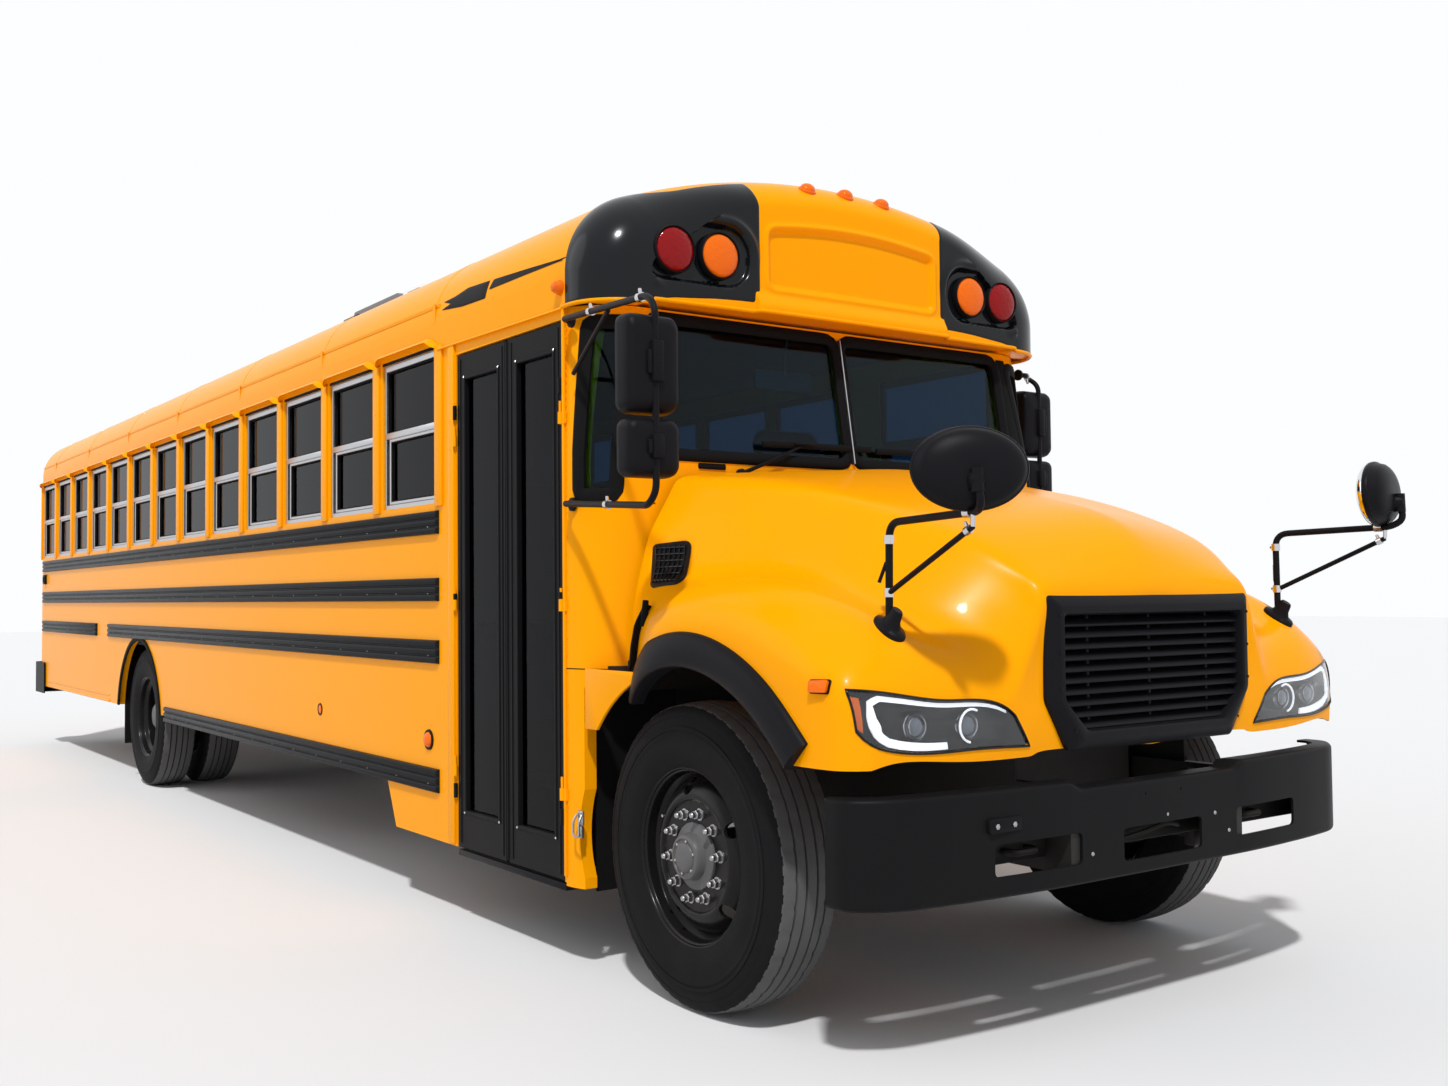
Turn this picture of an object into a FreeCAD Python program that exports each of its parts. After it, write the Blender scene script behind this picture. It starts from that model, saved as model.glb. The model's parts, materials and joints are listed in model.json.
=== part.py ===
"""School bus, conventional type: a tilting hood ahead of a hollow body on a ladder frame.

Millimetres, +X forward, +Y to the bus's left, +Z up. Inside this file X = 0 is the front axle and Z = 0 the
ground; every piece is moved by one shift at the end, so that the origin is at the centre of the whole bus's
box, on the ground. Each node is one STEP file.
"""
import FreeCAD, Part
import math
import os

V = FreeCAD.Vector
X_AXIS, Y_AXIS, Z_AXIS = V(1, 0, 0), V(0, 1, 0), V(0, 0, 1)
SIDES = (("right", -1), ("left", 1))

# ---- driving dimensions -------------------------------------------------------------------------
wheelbase = 7150.0            # front axle to rear axle
half_width = 1200.0           # centre line to the outer skin
wall = 45.0                   # side walls, doors, rear wall and roof
body_rear = -11060.0          # outer face of the rear wall
tyre_radius = 509.0
floor_thick = 40.0
wheel_house_gap = 22.0        # between the tyres' tops and the floor plate
floor_top = 2 * tyre_radius + wheel_house_gap + floor_thick
seat_gap = 0.3                # between curved faces of pieces that seat in each other
panel_gap = 6.0               # round doors and other moving panels

# roof section: side, corner arc, crown arc
corner_radius = 330.0
corner_z = 2575.0             # height of the corner arc's centre
corner_turn = 70.0            # degrees of corner arc before the crown begins
roof_split_z = corner_z       # walls below, roof above
end_radius = 100.0            # rounding of the roof and walls at the rear

# side walls
skirt_z = 565.0               # lower edge of the side skirts
pillar_x = -700.0             # walls behind this plane, cowl ahead of it
door_front, door_rear = -710.0, -1635.0
door_low, door_high = 318.0, 2410.0
entry_skirt_rear = -2410.0    # the deeper skirt round the entrance
entry_skirt_z = 323.0
skirt_slant = 120.0
window_pitch = 708.0
window_length = 630.0
window_first = -1820.0        # front edge of the first passenger window
window_low, window_high = 1787.0, 2470.0
window_count = 13
driver_window_front, driver_window_rear = -790.0, -1560.0
arch_centre_x, arch_centre_z = -wheelbase + 10.0, tyre_radius - 54.0
arch_radius = tyre_radius + 136.0

# rub rails: z of the lower edge, front end, rear end, gap front, gap rear
rail_height = 102.0
rail_proud = 19.0
RAILS = (  # low z, front x, rear x
    (1652.0, -1812.0, -10880.0),
    (1358.0, -1812.0, -10880.0),
    (1086.0, -1812.0, -8122.0),
    (1086.0, -8545.0, -10880.0),
    (527.0, -1812.0, -6380.0),
)

# window frames and glass
frame_bar = 28.0
frame_deep = 30.0
glass_thick = 6.0
glass_set_back = 16.0         # glass behind the outer skin
sash_z = 2135.0

# cowl, windshield and cap
cowl_front = -450.0
cowl_corner_radius = 250.0
cowl_low_z = 310.0
cowl_split_z = 1880.0         # the face leans back above this height
cowl_top_z = 2455.0
windshield_top_x = -545.0
windshield_low, windshield_high = 1905.0, 2415.0
windshield_half = 925.0
post_half = 18.0
quarter_low, quarter_high = 1745.0, 2385.0
cap_front = -420.0
cap_drop = 50.0               # the crown is this much lower at the cap's face than behind it
cap_edge_radius = 95.0
cap_rear = pillar_x
cap_skin = 60.0
sign_half, sign_low, sign_high, sign_deep = 455.0, 2560.0, 2830.0, 12.0
pod_in, pod_out, pod_low, pod_high, pod_deep = 560.0, 990.0, 2550.0, 2775.0, 40.0

# wheels
tyre_half = 131.0
tread_half = 104.0
bead_radius = 286.0
rim_half = 105.0
rim_wall = 16.0
flange_radius = 301.0
flange_thick = 11.0
disc_thick = 12.0
wheel_bolt_circle = 142.9
hub_radius = 108.0
spindle_radius = 45.0
bearing_clearance = 0.05
front_track_half = half_width - 180.0
kingpin_y = front_track_half - 120.0
dual_mid_y = half_width - 330.0
dual_half_spacing = 160.0

# chassis
rail_web_y = 432.0
rail_low = tyre_radius + 111.0
rail_high = rail_low + 254.0
rail_flange = 80.0
rail_gauge = 8.0
rail_front, rail_rear = 800.0, -11148.0
bumper_front_x = 1030.0
bumper_gauge = 12.0
bumper_end_x = 765.0          # rear ends of the wrapped corners
bumper_low, bumper_high = 490.0, 820.0
bumper_half = half_width + 19.0
rear_bumper_x = -11160.0
rear_bumper_low, rear_bumper_high = 500.0, 790.0

# hood: tilts forward about a pin behind the bumper
hood_pin_x, hood_pin_z, hood_pin_radius = 920.0, 720.0, 12.0
hood_rear, hood_front = -430.0, 1000.0
hood_skin = 30.0
hood_low_z = 885.0
HOOD_STATIONS = (  # x, crown z, crease y, crease z, valley y, valley z, fender y, fender z, side y, side z, low z
    (-430.0, 1875.0, 860.0, 1775.0, 1000.0, 1560.0, 1040.0, 1400.0, 1060.0, 1340.0, 1000.0),
    (-100.0, 1845.0, 800.0, 1755.0, 1000.0, 1460.0, 1100.0, 1370.0, 1205.0, 1290.0, 1000.0),
    (250.0, 1775.0, 730.0, 1695.0, 930.0, 1440.0, 1080.0, 1400.0, 1220.0, 1300.0, 885.0),
    (600.0, 1685.0, 665.0, 1585.0, 860.0, 1370.0, 1050.0, 1355.0, 1220.0, 1220.0, 885.0),
    (850.0, 1600.0, 565.0, 1450.0, 750.0, 1230.0, 980.0, 1235.0, 1210.0, 1120.0, 885.0),
    (950.0, 1500.0, 530.0, 1410.0, 660.0, 1170.0, 900.0, 1160.0, 1160.0, 1070.0, 885.0),
    (1000.0, 1410.0, 515.0, 1372.0, 600.0, 1120.0, 850.0, 1100.0, 1100.0, 1030.0, 885.0),
)
NOSE_PLAN = (  # x, y of the nose's outline seen from above, one side
    (700.0, 1225.0), (830.0, 1205.0), (905.0, 1150.0), (950.0, 1050.0), (972.0, 900.0), (985.0, 560.0),
    (990.0, 0.0),
)
FLARE = tuple((x * tyre_radius, z * tyre_radius) for x, z in (  # the wheel opening's edge, rear to front
    (-0.5894, 1.9646), (-0.2554, 2.1415), (0.2358, 2.2593), (0.6483, 2.1807), (1.0216, 1.9843), (1.3202, 1.7132),
))
flare_band = 128.0
flare_thick = 26.0
flare_proud = 14.0
grille_half_top, grille_half_low = 505.0, 405.0
grille_low, grille_bend, grille_high = 890.0, 1044.0, 1362.0
grille_bar = 62.0
grille_front = 1018.0
slat_count = 10
headlamp_rear = 790.0
HEADLAMP = ((1197.0, 1112.0), (640.0, 1022.0), (560.0, 912.0), (1094.0, 932.0), (1180.0, 985.0))  # y, z

# seats
seat_pitch = window_pitch
seat_first = -2250.0
seat_rows = 12
seat_wide = 970.0
seat_wall_gap = 12.0
seat_deep, seat_high, seat_back_high = 400.0, 430.0, 1010.0

# mirrors
MIRROR_POSTS = (  # side, x of the post, how far out from the body, lift of the post and its heads
    (-1.0, 200.0, 200.0, 0.0),
    (1.0, -655.0, 155.0, 72.0),
)
mirror_foot_high, mirror_foot_low = 2400.0, 1700.0
mirror_post_high, mirror_post_low = 2318.0, 1694.0
cross_head_x, cross_head_y, cross_head_z = 1200.0, 1023.0, 1707.0
cross_foot_x, cross_foot_y, cross_foot_z = 822.0, 977.0, 1190.0
cross_head_wide, cross_head_high = 163.0, 115.0   # half sizes of the oval
tube_radius = 11.0
MIRROR_HEADS = (  # middle z, height, width, depth
    (2103.0, 315.0, 205.0, 85.0),
    (1837.0, 185.0, 205.0, 80.0),
)

# upright hinges
hinge_pin_radius = 5.0
hinge_barrel_radius = 9.0
hinge_offset = hinge_barrel_radius + 0.5   # pin ahead of the panel's outer face
hinge_length = 45.0

# rear door and windows
rear_door_half = 470.0
rear_door_low, rear_door_high = floor_top + 8.0, 2440.0
REAR_WINDOWS = ((560.0, 1090.0, 1760.0, 2420.0),)  # inner y, outer y, low z, high z

# floor and steps
CROSS_SILLS = (-760.0, -2500.0, -4150.0, -5800.0, -8400.0, -9700.0, -10900.0)  # x of each cross sill
step_inner = 620.0
step_gap = 8.0                # between the door leaves and the lowest step
step_outer = half_width - wall - step_gap
step_run = (step_outer - step_inner) / 3
step_rise = 235.0
step_split = 2.0              # between one step's riser and the next step's tread
STEPS = tuple((step_outer - i * step_run, step_outer - (i + 1) * step_run, top)
              for i, top in enumerate(floor_top - step_rise * k for k in (3, 2, 1)))  # outer y, inner y, top z
step_sheet = 12.0

# steering wheel
wheel_y = 560.0
wheel_rim_radius, wheel_rim_tube = 225.0, 16.0

# entrance leaves
leaf_gap = 7.0                # half the gap between the two leaves
leaf_rail = 62.0

# frame, springs and tow plates
CROSS_MEMBERS = (-500.0, -2350.0, -4000.0, -8300.0, -9700.0, -10950.0)  # x of each cross member
spring_reach = 650.0
spring_eye_z = rail_low - 30.0
spring_leaf = 14.0
bumper_bracket_wide = 40.0
tow_bore_radius = 22.0
tow_plate_thick = 20.0
tow_x, tow_z = -11090.0, rail_low - 150.0

# engine and shaft
shaft_radius = 50.0
shaft_joint_radius = 58.0
shaft_front, shaft_z = -900.0, rail_low + 135.0
axle_nose = 230.0             # from the rear axle's middle to its input flange
engine_half = 350.0
engine_rear = -340.0

# front bumper's slots and plate holes
SLOTS = ((-750.0, -390.0, 550.0, 645.0), (-197.0, 197.0, 535.0, 637.0), (390.0, 750.0, 550.0, 645.0))
plate_hole_radius = 3.5
plate_hole_spacing = 178.0
plate_hole_z = 735.0

# king pins
king_radius = 22.0
king_half = 75.0
knuckle_gap = 1.0

# crossing mirrors' heads
HEAD_RINGS = ((0.0, 1.0), (12.0, 1.0), (40.0, 0.86), (62.0, 0.55), (70.0, 0.18))  # along the axis, share of size

# roof units and hatch
ROOF_UNITS = (  # front x, rear x, half width, height over the crown
    (-3300.0, -5000.0, 520.0, 190.0),
    (-9450.0, -10500.0, 420.0, 130.0),
)
hatch_x, hatch_half, hatch_high = -7300.0, 300.0, 55.0

# roof lamps and stop arm
LAMP_YS = (671.0, 874.0)
lamp_radius = 86.0
stop_hinge_x, stop_z, stop_radius = -1190.0, 1380.0, 229.0

PARTS = {}


# ---- shape helpers ------------------------------------------------------------------------------
def box(x0, x1, y0, y1, z0, z1):
    """A box between two corners, given in any order."""
    low = V(min(x0, x1), min(y0, y1), min(z0, z1))
    return Part.makeBox(abs(x1 - x0), abs(y1 - y0), abs(z1 - z0), low)


def rod(start, end, radius):
    """A round bar between two points."""
    start, end = V(*start), V(*end)
    return Part.makeCylinder(radius, (end - start).Length, start, end - start)


def bent_tube(points, radius):
    """Straight round bars with a ball at each bend."""
    pieces = [rod(a, b, radius) for a, b in zip(points, points[1:])]
    pieces += [Part.makeSphere(radius, V(*p)) for p in points[1:-1]]
    return join(pieces)


def join(shapes):
    """One solid out of pieces that overlap or share a face."""
    fused = shapes[0].multiFuse(shapes[1:]) if len(shapes) > 1 else shapes[0]
    return fused.removeSplitter()


def apart(shapes):
    """Pieces that don't touch, kept as separate solids of one node."""
    return Part.makeCompound([solid for shape in shapes for solid in shape.Solids])


def mirrored(shape):
    """The same piece on the other side of the bus."""
    return shape.mirror(V(0, 0, 0), Y_AXIS)


def biggest(shape):
    """The largest solid of a cut."""
    return max(shape.Solids, key=lambda solid: solid.Volume)


def both(shape):
    """The right-hand piece and its twin."""
    return [shape, mirrored(shape)]


def polygon(points):
    """A flat face with straight edges."""
    corners = [V(*p) for p in points]
    return Part.Face(Part.makePolygon(corners + corners[:1]))


def prism_x(outline, x0, x1):
    """An outline of (y, z) points, carried from x0 to x1."""
    return polygon([(x0, y, z) for y, z in outline]).extrude(V(x1 - x0, 0, 0))


def prism_y(outline, y0, y1):
    """An outline of (x, z) points, carried from y0 to y1."""
    return polygon([(x, y0, z) for x, z in outline]).extrude(V(0, y1 - y0, 0))


def prism_z(outline, z0, z1):
    """An outline of (x, y) points, carried from z0 to z1."""
    return polygon([(x, y, z0) for x, y in outline]).extrude(V(0, 0, z1 - z0))


def spin_y(outline, x, z):
    """An outline of (radius, y) points turned about a cross-wise axle at x, z."""
    face = polygon([(x + r, y, z) for r, y in outline])
    return face.revolve(V(x, 0, z), Y_AXIS, 360)


def body_section(x, inset, low_z, drop=0.0):
    """Closed section of the body at x: two sides, two corner arcs and the crown arc."""
    side = half_width - inset
    centre_y = half_width - corner_radius
    centre_z = corner_z - drop
    radius = corner_radius - inset
    turn = math.radians(corner_turn)
    crown_half = centre_y + corner_radius * math.cos(turn)
    crown_radius = crown_half / math.cos(turn)
    crown_top = centre_z + corner_radius * math.sin(turn) + crown_radius * (1 - math.sin(turn)) - inset

    def corner(degrees, hand):
        a = math.radians(degrees)
        return V(x, hand * (centre_y + radius * math.cos(a)), centre_z + radius * math.sin(a))

    edges = [
        Part.LineSegment(V(x, side, low_z), corner(0, 1)).toShape(),
        Part.Arc(corner(0, 1), corner(corner_turn / 2, 1), corner(corner_turn, 1)).toShape(),
        Part.Arc(corner(corner_turn, 1), V(x, 0, crown_top), corner(corner_turn, -1)).toShape(),
        Part.Arc(corner(corner_turn, -1), corner(corner_turn / 2, -1), corner(0, -1)).toShape(),
        Part.LineSegment(corner(0, -1), V(x, -side, low_z)).toShape(),
        Part.LineSegment(V(x, -side, low_z), V(x, side, low_z)).toShape(),
    ]
    return Part.Wire(edges)


def body_block(inset, front, low_z):
    """The body's outside (or inside) as a solid, rounded at its rear end."""
    rear = body_rear + inset
    solid = Part.Face(body_section(rear, inset, low_z)).extrude(V(front - rear, 0, 0))
    ends = [e for e in solid.Edges if e.BoundBox.XMax < rear + 1 and e.BoundBox.ZMax > low_z + 1]
    return solid.makeFillet(end_radius - inset, ends)


def hinge_z(low, high, count=3):
    """Heights of the hinges along a door's edge."""
    step = (high - low) / count
    return [low + (i + 0.5) * step for i in range(count)]


def upright_hinges(x, y, leaf, fixed, heights):
    """Butt hinges on an upright pin at x, y. leaf and fixed point from the pin to what each half is on.

    Returns the fixed half, the leaf's half and the bore that the leaf's half turns on.
    """
    fixed_half, leaf_half, bores = [], [], []
    for z in heights:
        for side, solids, low in ((leaf, leaf_half, z + seat_gap), (fixed, fixed_half, z - hinge_length)):
            solids.append(Part.makeCylinder(hinge_barrel_radius, hinge_length, V(x, y, low), Z_AXIS))
            reach = V(*side)
            flap = box(x, x + reach.x, y, y + reach.y, low, low + hinge_length)
            solids.append(flap)
        fixed_half.append(Part.makeCylinder(hinge_pin_radius, 2 * hinge_length - 4, V(x, y, z - hinge_length), Z_AXIS))
        bores.append(Part.makeCylinder(hinge_pin_radius + bearing_clearance, hinge_length + 2, V(x, y, z), Z_AXIS))
    return fixed_half, leaf_half, bores


# ---- body shell ---------------------------------------------------------------------------------
def window_fronts():
    """Front edge of each passenger window."""
    return [window_first - i * window_pitch for i in range(window_count)]


def build_shell():
    """Side walls, rear wall and roof, cut from one rounded shell."""
    bottom = entry_skirt_z
    shell = body_block(0.0, pillar_x, bottom).cut(body_block(wall, pillar_x + 10, bottom - 10))
    rear_split = body_rear + end_radius + 5.0
    far = 3000.0
    PARTS["roof_shell"] = shell.common(box(-12000, far, -far, far, roof_split_z, 4000))
    below = shell.common(box(-12000, far, -far, far, 0, roof_split_z))
    skirt_cut = box(-12000, far, -far, far, 0, skirt_z)
    build_rear_wall(below.common(box(-12000, rear_split, -far, far, 0, 4000)).cut(skirt_cut))
    arch = Part.makeCylinder(arch_radius, 2 * far, V(arch_centre_x, -far, arch_centre_z), Y_AXIS)
    for name, hand in SIDES:
        side = below.common(box(rear_split, far, 0, hand * far, 0, 4000)).cut(arch)
        keep = skirt_outline() if name == "right" else plain_outline()
        side = side.common(prism_y(keep, -far, far))
        cuts = [box(x, x - window_length, 0, hand * far, window_low, window_high) for x in window_fronts()]
        if name == "right":
            cuts.append(box(door_front, door_rear, 0, -far, door_low - 200, door_high))
        else:
            cuts.append(box(driver_window_front, driver_window_rear, 0, far, window_low, window_high))
        PARTS[name + "_wall"] = side.cut(Part.makeCompound(cuts))


def skirt_outline():
    """Right side seen square on: the skirt drops lower round the entrance."""
    rear = body_rear - 100
    return (
        (rear, skirt_z), (entry_skirt_rear, skirt_z), (entry_skirt_rear + skirt_slant, entry_skirt_z),
        (pillar_x, entry_skirt_z), (pillar_x, 4000.0), (rear, 4000.0),
    )


def plain_outline():
    """Left side seen square on: one straight skirt, lower under the driver."""
    rear = body_rear - 100
    return (
        (rear, skirt_z), (driver_window_rear, skirt_z), (driver_window_rear + skirt_slant, entry_skirt_z),
        (pillar_x, entry_skirt_z), (pillar_x, 4000.0), (rear, 4000.0),
    )


def build_rear_wall(block):
    """Rear wall with the emergency door's opening and a window on each side."""
    x0, x1 = body_rear - 50, body_rear + wall + 1
    cuts = [box(x0, x1, -rear_door_half, rear_door_half, rear_door_low, rear_door_high)]
    cuts.append(box(x0, x1, -rail_web_y - panel_gap, rail_web_y + panel_gap, 0, rail_high + panel_gap))
    for y_in, y_out, z_low, z_high in REAR_WINDOWS:
        cuts += both(box(x0, x1, y_in, y_out, z_low, z_high))
    PARTS["rear_wall"] = block.cut(Part.makeCompound(cuts))
    panes = []
    for y_in, y_out, z_low, z_high in REAR_WINDOWS:
        pane = box(body_rear + 15, body_rear + 15 + glass_thick, y_in, y_out, z_low, z_high)
        panes += both(pane)
    PARTS["rear_windows"] = apart(panes)


def build_rear_door():
    """Emergency door: a wall-thick leaf with two windows, hinged on the bus's right side."""
    gap = panel_gap
    leaf = box(body_rear, body_rear + wall, -rear_door_half + gap, rear_door_half - gap,
               rear_door_low + gap, rear_door_high - gap)
    edge, panes = 110.0, []
    for z_low, z_high in ((1250.0, 1620.0), (1760.0, 2340.0)):
        opening = (-rear_door_half + edge, rear_door_half - edge, z_low, z_high)
        leaf = leaf.cut(box(body_rear - 10, body_rear + wall + 10, *opening))
        panes.append(box(body_rear + 15, body_rear + 15 + glass_thick, *opening))
    reach = (hinge_offset, 30.0, 0)
    fixed_reach = (hinge_offset, -30.0, 0)
    fixed, moving, bores = upright_hinges(body_rear - hinge_offset, -rear_door_half + gap / 2, reach, fixed_reach,
                                          hinge_z(rear_door_low, rear_door_high))
    PARTS["rear_wall"] = join([PARTS["rear_wall"]] + fixed)
    PARTS["rear_door"] = join([leaf] + moving).cut(Part.makeCompound(bores))
    PARTS["rear_door_glass"] = apart(panes)


def build_side_windows():
    """Passenger windows: an aluminium frame with a sash bar, and a pane behind each."""
    y_out = -(half_width - 4.0)
    all_frames = []
    for name, hand in SIDES:
        frames, panes = [], []
        spans = [(x, x - window_length) for x in window_fronts()]
        if name == "left":
            spans.insert(0, (driver_window_front, driver_window_rear))
        for front, rear in spans:
            outer = box(front, rear, y_out, y_out + frame_deep, window_low, window_high)
            holes = [
                box(front - frame_bar, rear + frame_bar, -2000, 0, window_low + frame_bar, sash_z - frame_bar / 2),
                box(front - frame_bar, rear + frame_bar, -2000, 0, sash_z + frame_bar / 2, window_high - frame_bar),
            ]
            frames.append(outer.cut(Part.makeCompound(holes)))
            y_pane = y_out + frame_deep
            panes.append(box(front, rear, y_pane, y_pane + glass_thick, window_low, window_high))
        if hand > 0:
            frames = [mirrored(f) for f in frames]
            panes = [mirrored(p) for p in panes]
        all_frames += frames
        PARTS["window_glass_" + name] = apart(panes)
    PARTS["window_frames"] = apart(all_frames)


def build_rub_rails():
    """Black ribbed rails along both sides."""
    rails = []
    for low, front, rear in RAILS:
        rails += both(box(front, rear, -half_width, -half_width - rail_proud, low, low + rail_height))
    PARTS["rub_rails"] = apart(rails)


# ---- cowl, windshield and cap -------------------------------------------------------------------
def plan_wire(front, inset, z, rear):
    """Plan of the body's front end at z: rounded corners into a straight face."""
    side = half_width - inset
    radius = cowl_corner_radius - inset
    face = front - inset
    cy = side - radius
    cx = face - radius
    half = math.sqrt(0.5) * radius
    return Part.Wire([
        Part.LineSegment(V(rear, -side, z), V(cx, -side, z)).toShape(),
        Part.Arc(V(cx, -side, z), V(cx + half, -cy - half, z), V(face, -cy, z)).toShape(),
        Part.LineSegment(V(face, -cy, z), V(face, cy, z)).toShape(),
        Part.Arc(V(face, cy, z), V(cx + half, cy + half, z), V(cx, side, z)).toShape(),
        Part.LineSegment(V(cx, side, z), V(rear, side, z)).toShape(),
        Part.LineSegment(V(rear, side, z), V(rear, -side, z)).toShape(),
    ])


def cowl_block(inset, over):
    """Front end below the cap: upright, then leaning back along the windshield."""
    rear = pillar_x - 200.0 - over
    low = Part.Face(plan_wire(cowl_front, inset, cowl_low_z - over, rear))
    low = low.extrude(V(0, 0, cowl_split_z - cowl_low_z + over))
    top = cowl_top_z + over
    lean = (windshield_top_x - cowl_front) / (cowl_top_z - cowl_split_z)
    upper = Part.makeLoft([
        plan_wire(cowl_front, inset, cowl_split_z, rear),
        plan_wire(cowl_front + lean * (top - cowl_split_z), inset, top, rear),
    ], True, True)
    return join([low, upper])


def build_cowl():
    """Firewall, corner panels and windshield frame in one pressed shell."""
    far = 3000.0
    shell = cowl_block(0.0, 0.0).cut(cowl_block(wall, 20.0))
    shell = shell.common(box(pillar_x, far, -far, far, 0, 4000))
    arch = Part.makeCylinder(tyre_radius + 112.0, 2 * far, V(0, -far, tyre_radius), Y_AXIS)
    under = box(-600.0, 0, -far, far, 0, floor_top - floor_thick)
    glass_holes = both(box(-900, 0, -windshield_half, -post_half, windshield_low, windshield_high))
    quarter_front = cowl_front - 60.0
    quarters = both(box(quarter_front, pillar_x + 85.0, -far, -(windshield_half + 85.0), quarter_low, quarter_high))
    holes = glass_holes + quarters
    PARTS["cowl"] = shell.cut(arch).cut(under).cut(Part.makeCompound(holes))
    skin = cowl_block(glass_set_back, 0.0).cut(cowl_block(glass_set_back + glass_thick, 20.0))
    PARTS["windshield"] = apart([skin.common(hole) for hole in holes])


def build_cap():
    """Domed cap over the windshield, with a flat sign face and a lamp pod on each side."""
    def block(inset, rear, front):
        back = body_section(rear, inset, cowl_top_z)
        nose = body_section(front, inset, cowl_top_z, cap_drop)
        return Part.makeLoft([back, nose], True, True)

    outer = block(0.0, cap_rear, cap_front)
    rim = [e for e in outer.Edges if e.BoundBox.XMin > cap_front - 1 and e.BoundBox.ZMax > cowl_top_z + 1]
    outer = outer.makeFillet(cap_edge_radius, rim)
    hollow = block(wall, cap_rear - 20.0, cap_front - cap_skin)
    hollow = hollow.fuse(box(cap_rear - 20, cap_front - cap_skin, -half_width + wall, half_width - wall,
                             cowl_top_z - 5.0, cowl_top_z + 20.0))
    cap = outer.cut(hollow)
    sign = box(cap_front - sign_deep, 0, -sign_half, sign_half, sign_low, sign_high)
    pods = both(box(cap_front - pod_deep, 0, -pod_out, -pod_in, pod_low, pod_high))
    PARTS["front_cap"] = cap.cut(Part.makeCompound([sign] + pods))


# ---- floor, steps and seats ---------------------------------------------------------------------


def build_floor():
    """Floor plate cut away over the entrance, cross sills under it, and the steps between two end plates."""
    side = half_width - wall
    low = floor_top - floor_thick
    plate = box(body_rear + wall, pillar_x, -side, side, low, floor_top).common(body_block(wall, pillar_x, 0.0))
    nose = Part.Face(plan_wire(cowl_front, wall, low, pillar_x - 30.0)).extrude(V(0, 0, floor_thick))
    well = box(door_front, door_rear, -side, -step_inner, 0, floor_top + 10)
    PARTS["body_floor"] = join([plate, nose]).cut(well)
    PARTS["floor_sills"] = apart([box(x - 30, x + 30, -side, side, rail_high, low).cut(well) for x in CROSS_SILLS])
    treads, front, rear = [], door_front - step_sheet, door_rear + step_sheet
    for y_out, y_in, top in STEPS:
        riser_top = min(top + step_rise - step_sheet - step_split, floor_top)
        treads.append(join([box(front, rear, -y_out, -y_in, top - step_sheet, top),
                            box(front, rear, -y_in - step_sheet, -y_in, top - step_sheet, riser_top)]))
    PARTS["entrance_treads"] = apart(treads)
    end_outline = [(-STEPS[0][0], STEPS[0][2] - step_sheet), (-STEPS[0][0], floor_top),
                   (-step_inner, floor_top), (-step_inner, STEPS[2][2] - step_sheet),
                   (-STEPS[1][1], STEPS[1][2] - step_sheet), (-STEPS[0][1], STEPS[0][2] - step_sheet)]
    ends = [prism_x(end_outline, x, x + d * step_sheet) for x, d in ((door_front, -1), (door_rear, 1))]
    PARTS["step_ends"] = apart([end.cut(PARTS["body_floor"]) for end in ends])


def bench(front, y_in, y_out):
    """One bench seat: cushion, padded back and a frame down to the floor."""
    rear = front - seat_deep
    base = floor_top + seat_high
    cushion = box(front, rear, y_in, y_out, base - 110, base)
    back = prism_y(((rear + 70, base - 110), (rear - 20, floor_top + seat_back_high),
                    (rear - 95, floor_top + seat_back_high), (rear - 30, base - 110)), y_in, y_out)
    legs = []
    for y in (y_in + 120.0, y_out - 160.0):
        legs.append(box(front - 60, front - 100, y, y + 40.0, floor_top, base - 110))
        legs.append(box(rear + 20, rear + 60, y, y + 40.0, floor_top, base - 110))
    return join([cushion, back] + legs)


def build_seats():
    """Rows of benches on both sides of the aisle, and the driver's seat."""
    wall_y = half_width - wall - seat_wall_gap
    rows = [bench(seat_first - i * seat_pitch, -wall_y, -wall_y + seat_wide) for i in range(seat_rows)]
    driver = join([
        box(-1500, -1080, 330, 800, floor_top + 330, floor_top + 440),
        prism_y(((-1480, floor_top + 380), (-1560, floor_top + 1130), (-1650, floor_top + 1130),
                 (-1590, floor_top + 380)), 330, 800),
        box(-1400, -1180, 450, 680, floor_top, floor_top + 330),
    ])
    PARTS["seats"] = apart(rows + [mirrored(r) for r in rows] + [driver])


def build_dash():
    """Instrument panel across the cowl, with the steering column and wheel."""
    face = cowl_front - wall
    top = cowl_split_z - 80.0
    panel = prism_y(((face, top - 400), (face, top), (face - 180, top - 10), (face - 300, top - 200),
                     (face - 280, top - 350)), 60.0, 930.0)
    lean = math.radians(32)
    centre = V(-1010.0, wheel_y, top - 10.0)
    axis = V(-math.sin(lean), 0, math.cos(lean))
    foot = centre - axis * 330.0
    rim = Part.makeTorus(wheel_rim_radius, wheel_rim_tube, centre, axis)
    column = Part.makeCylinder(38.0, 330.0, foot, axis)
    down = rod(tuple(foot), (face - 100, wheel_y, floor_top + 14.0), 24.0)
    hanger = rod(tuple(foot), (face - 150, wheel_y, top - 260.0), 24.0)
    spoke = rod((centre.x, wheel_y - wheel_rim_radius, centre.z), (centre.x, wheel_y + wheel_rim_radius, centre.z), 14.0)
    PARTS["dashboard"] = join([panel, rim, column, down, hanger, spoke])


# ---- entrance doors -----------------------------------------------------------------------------


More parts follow.
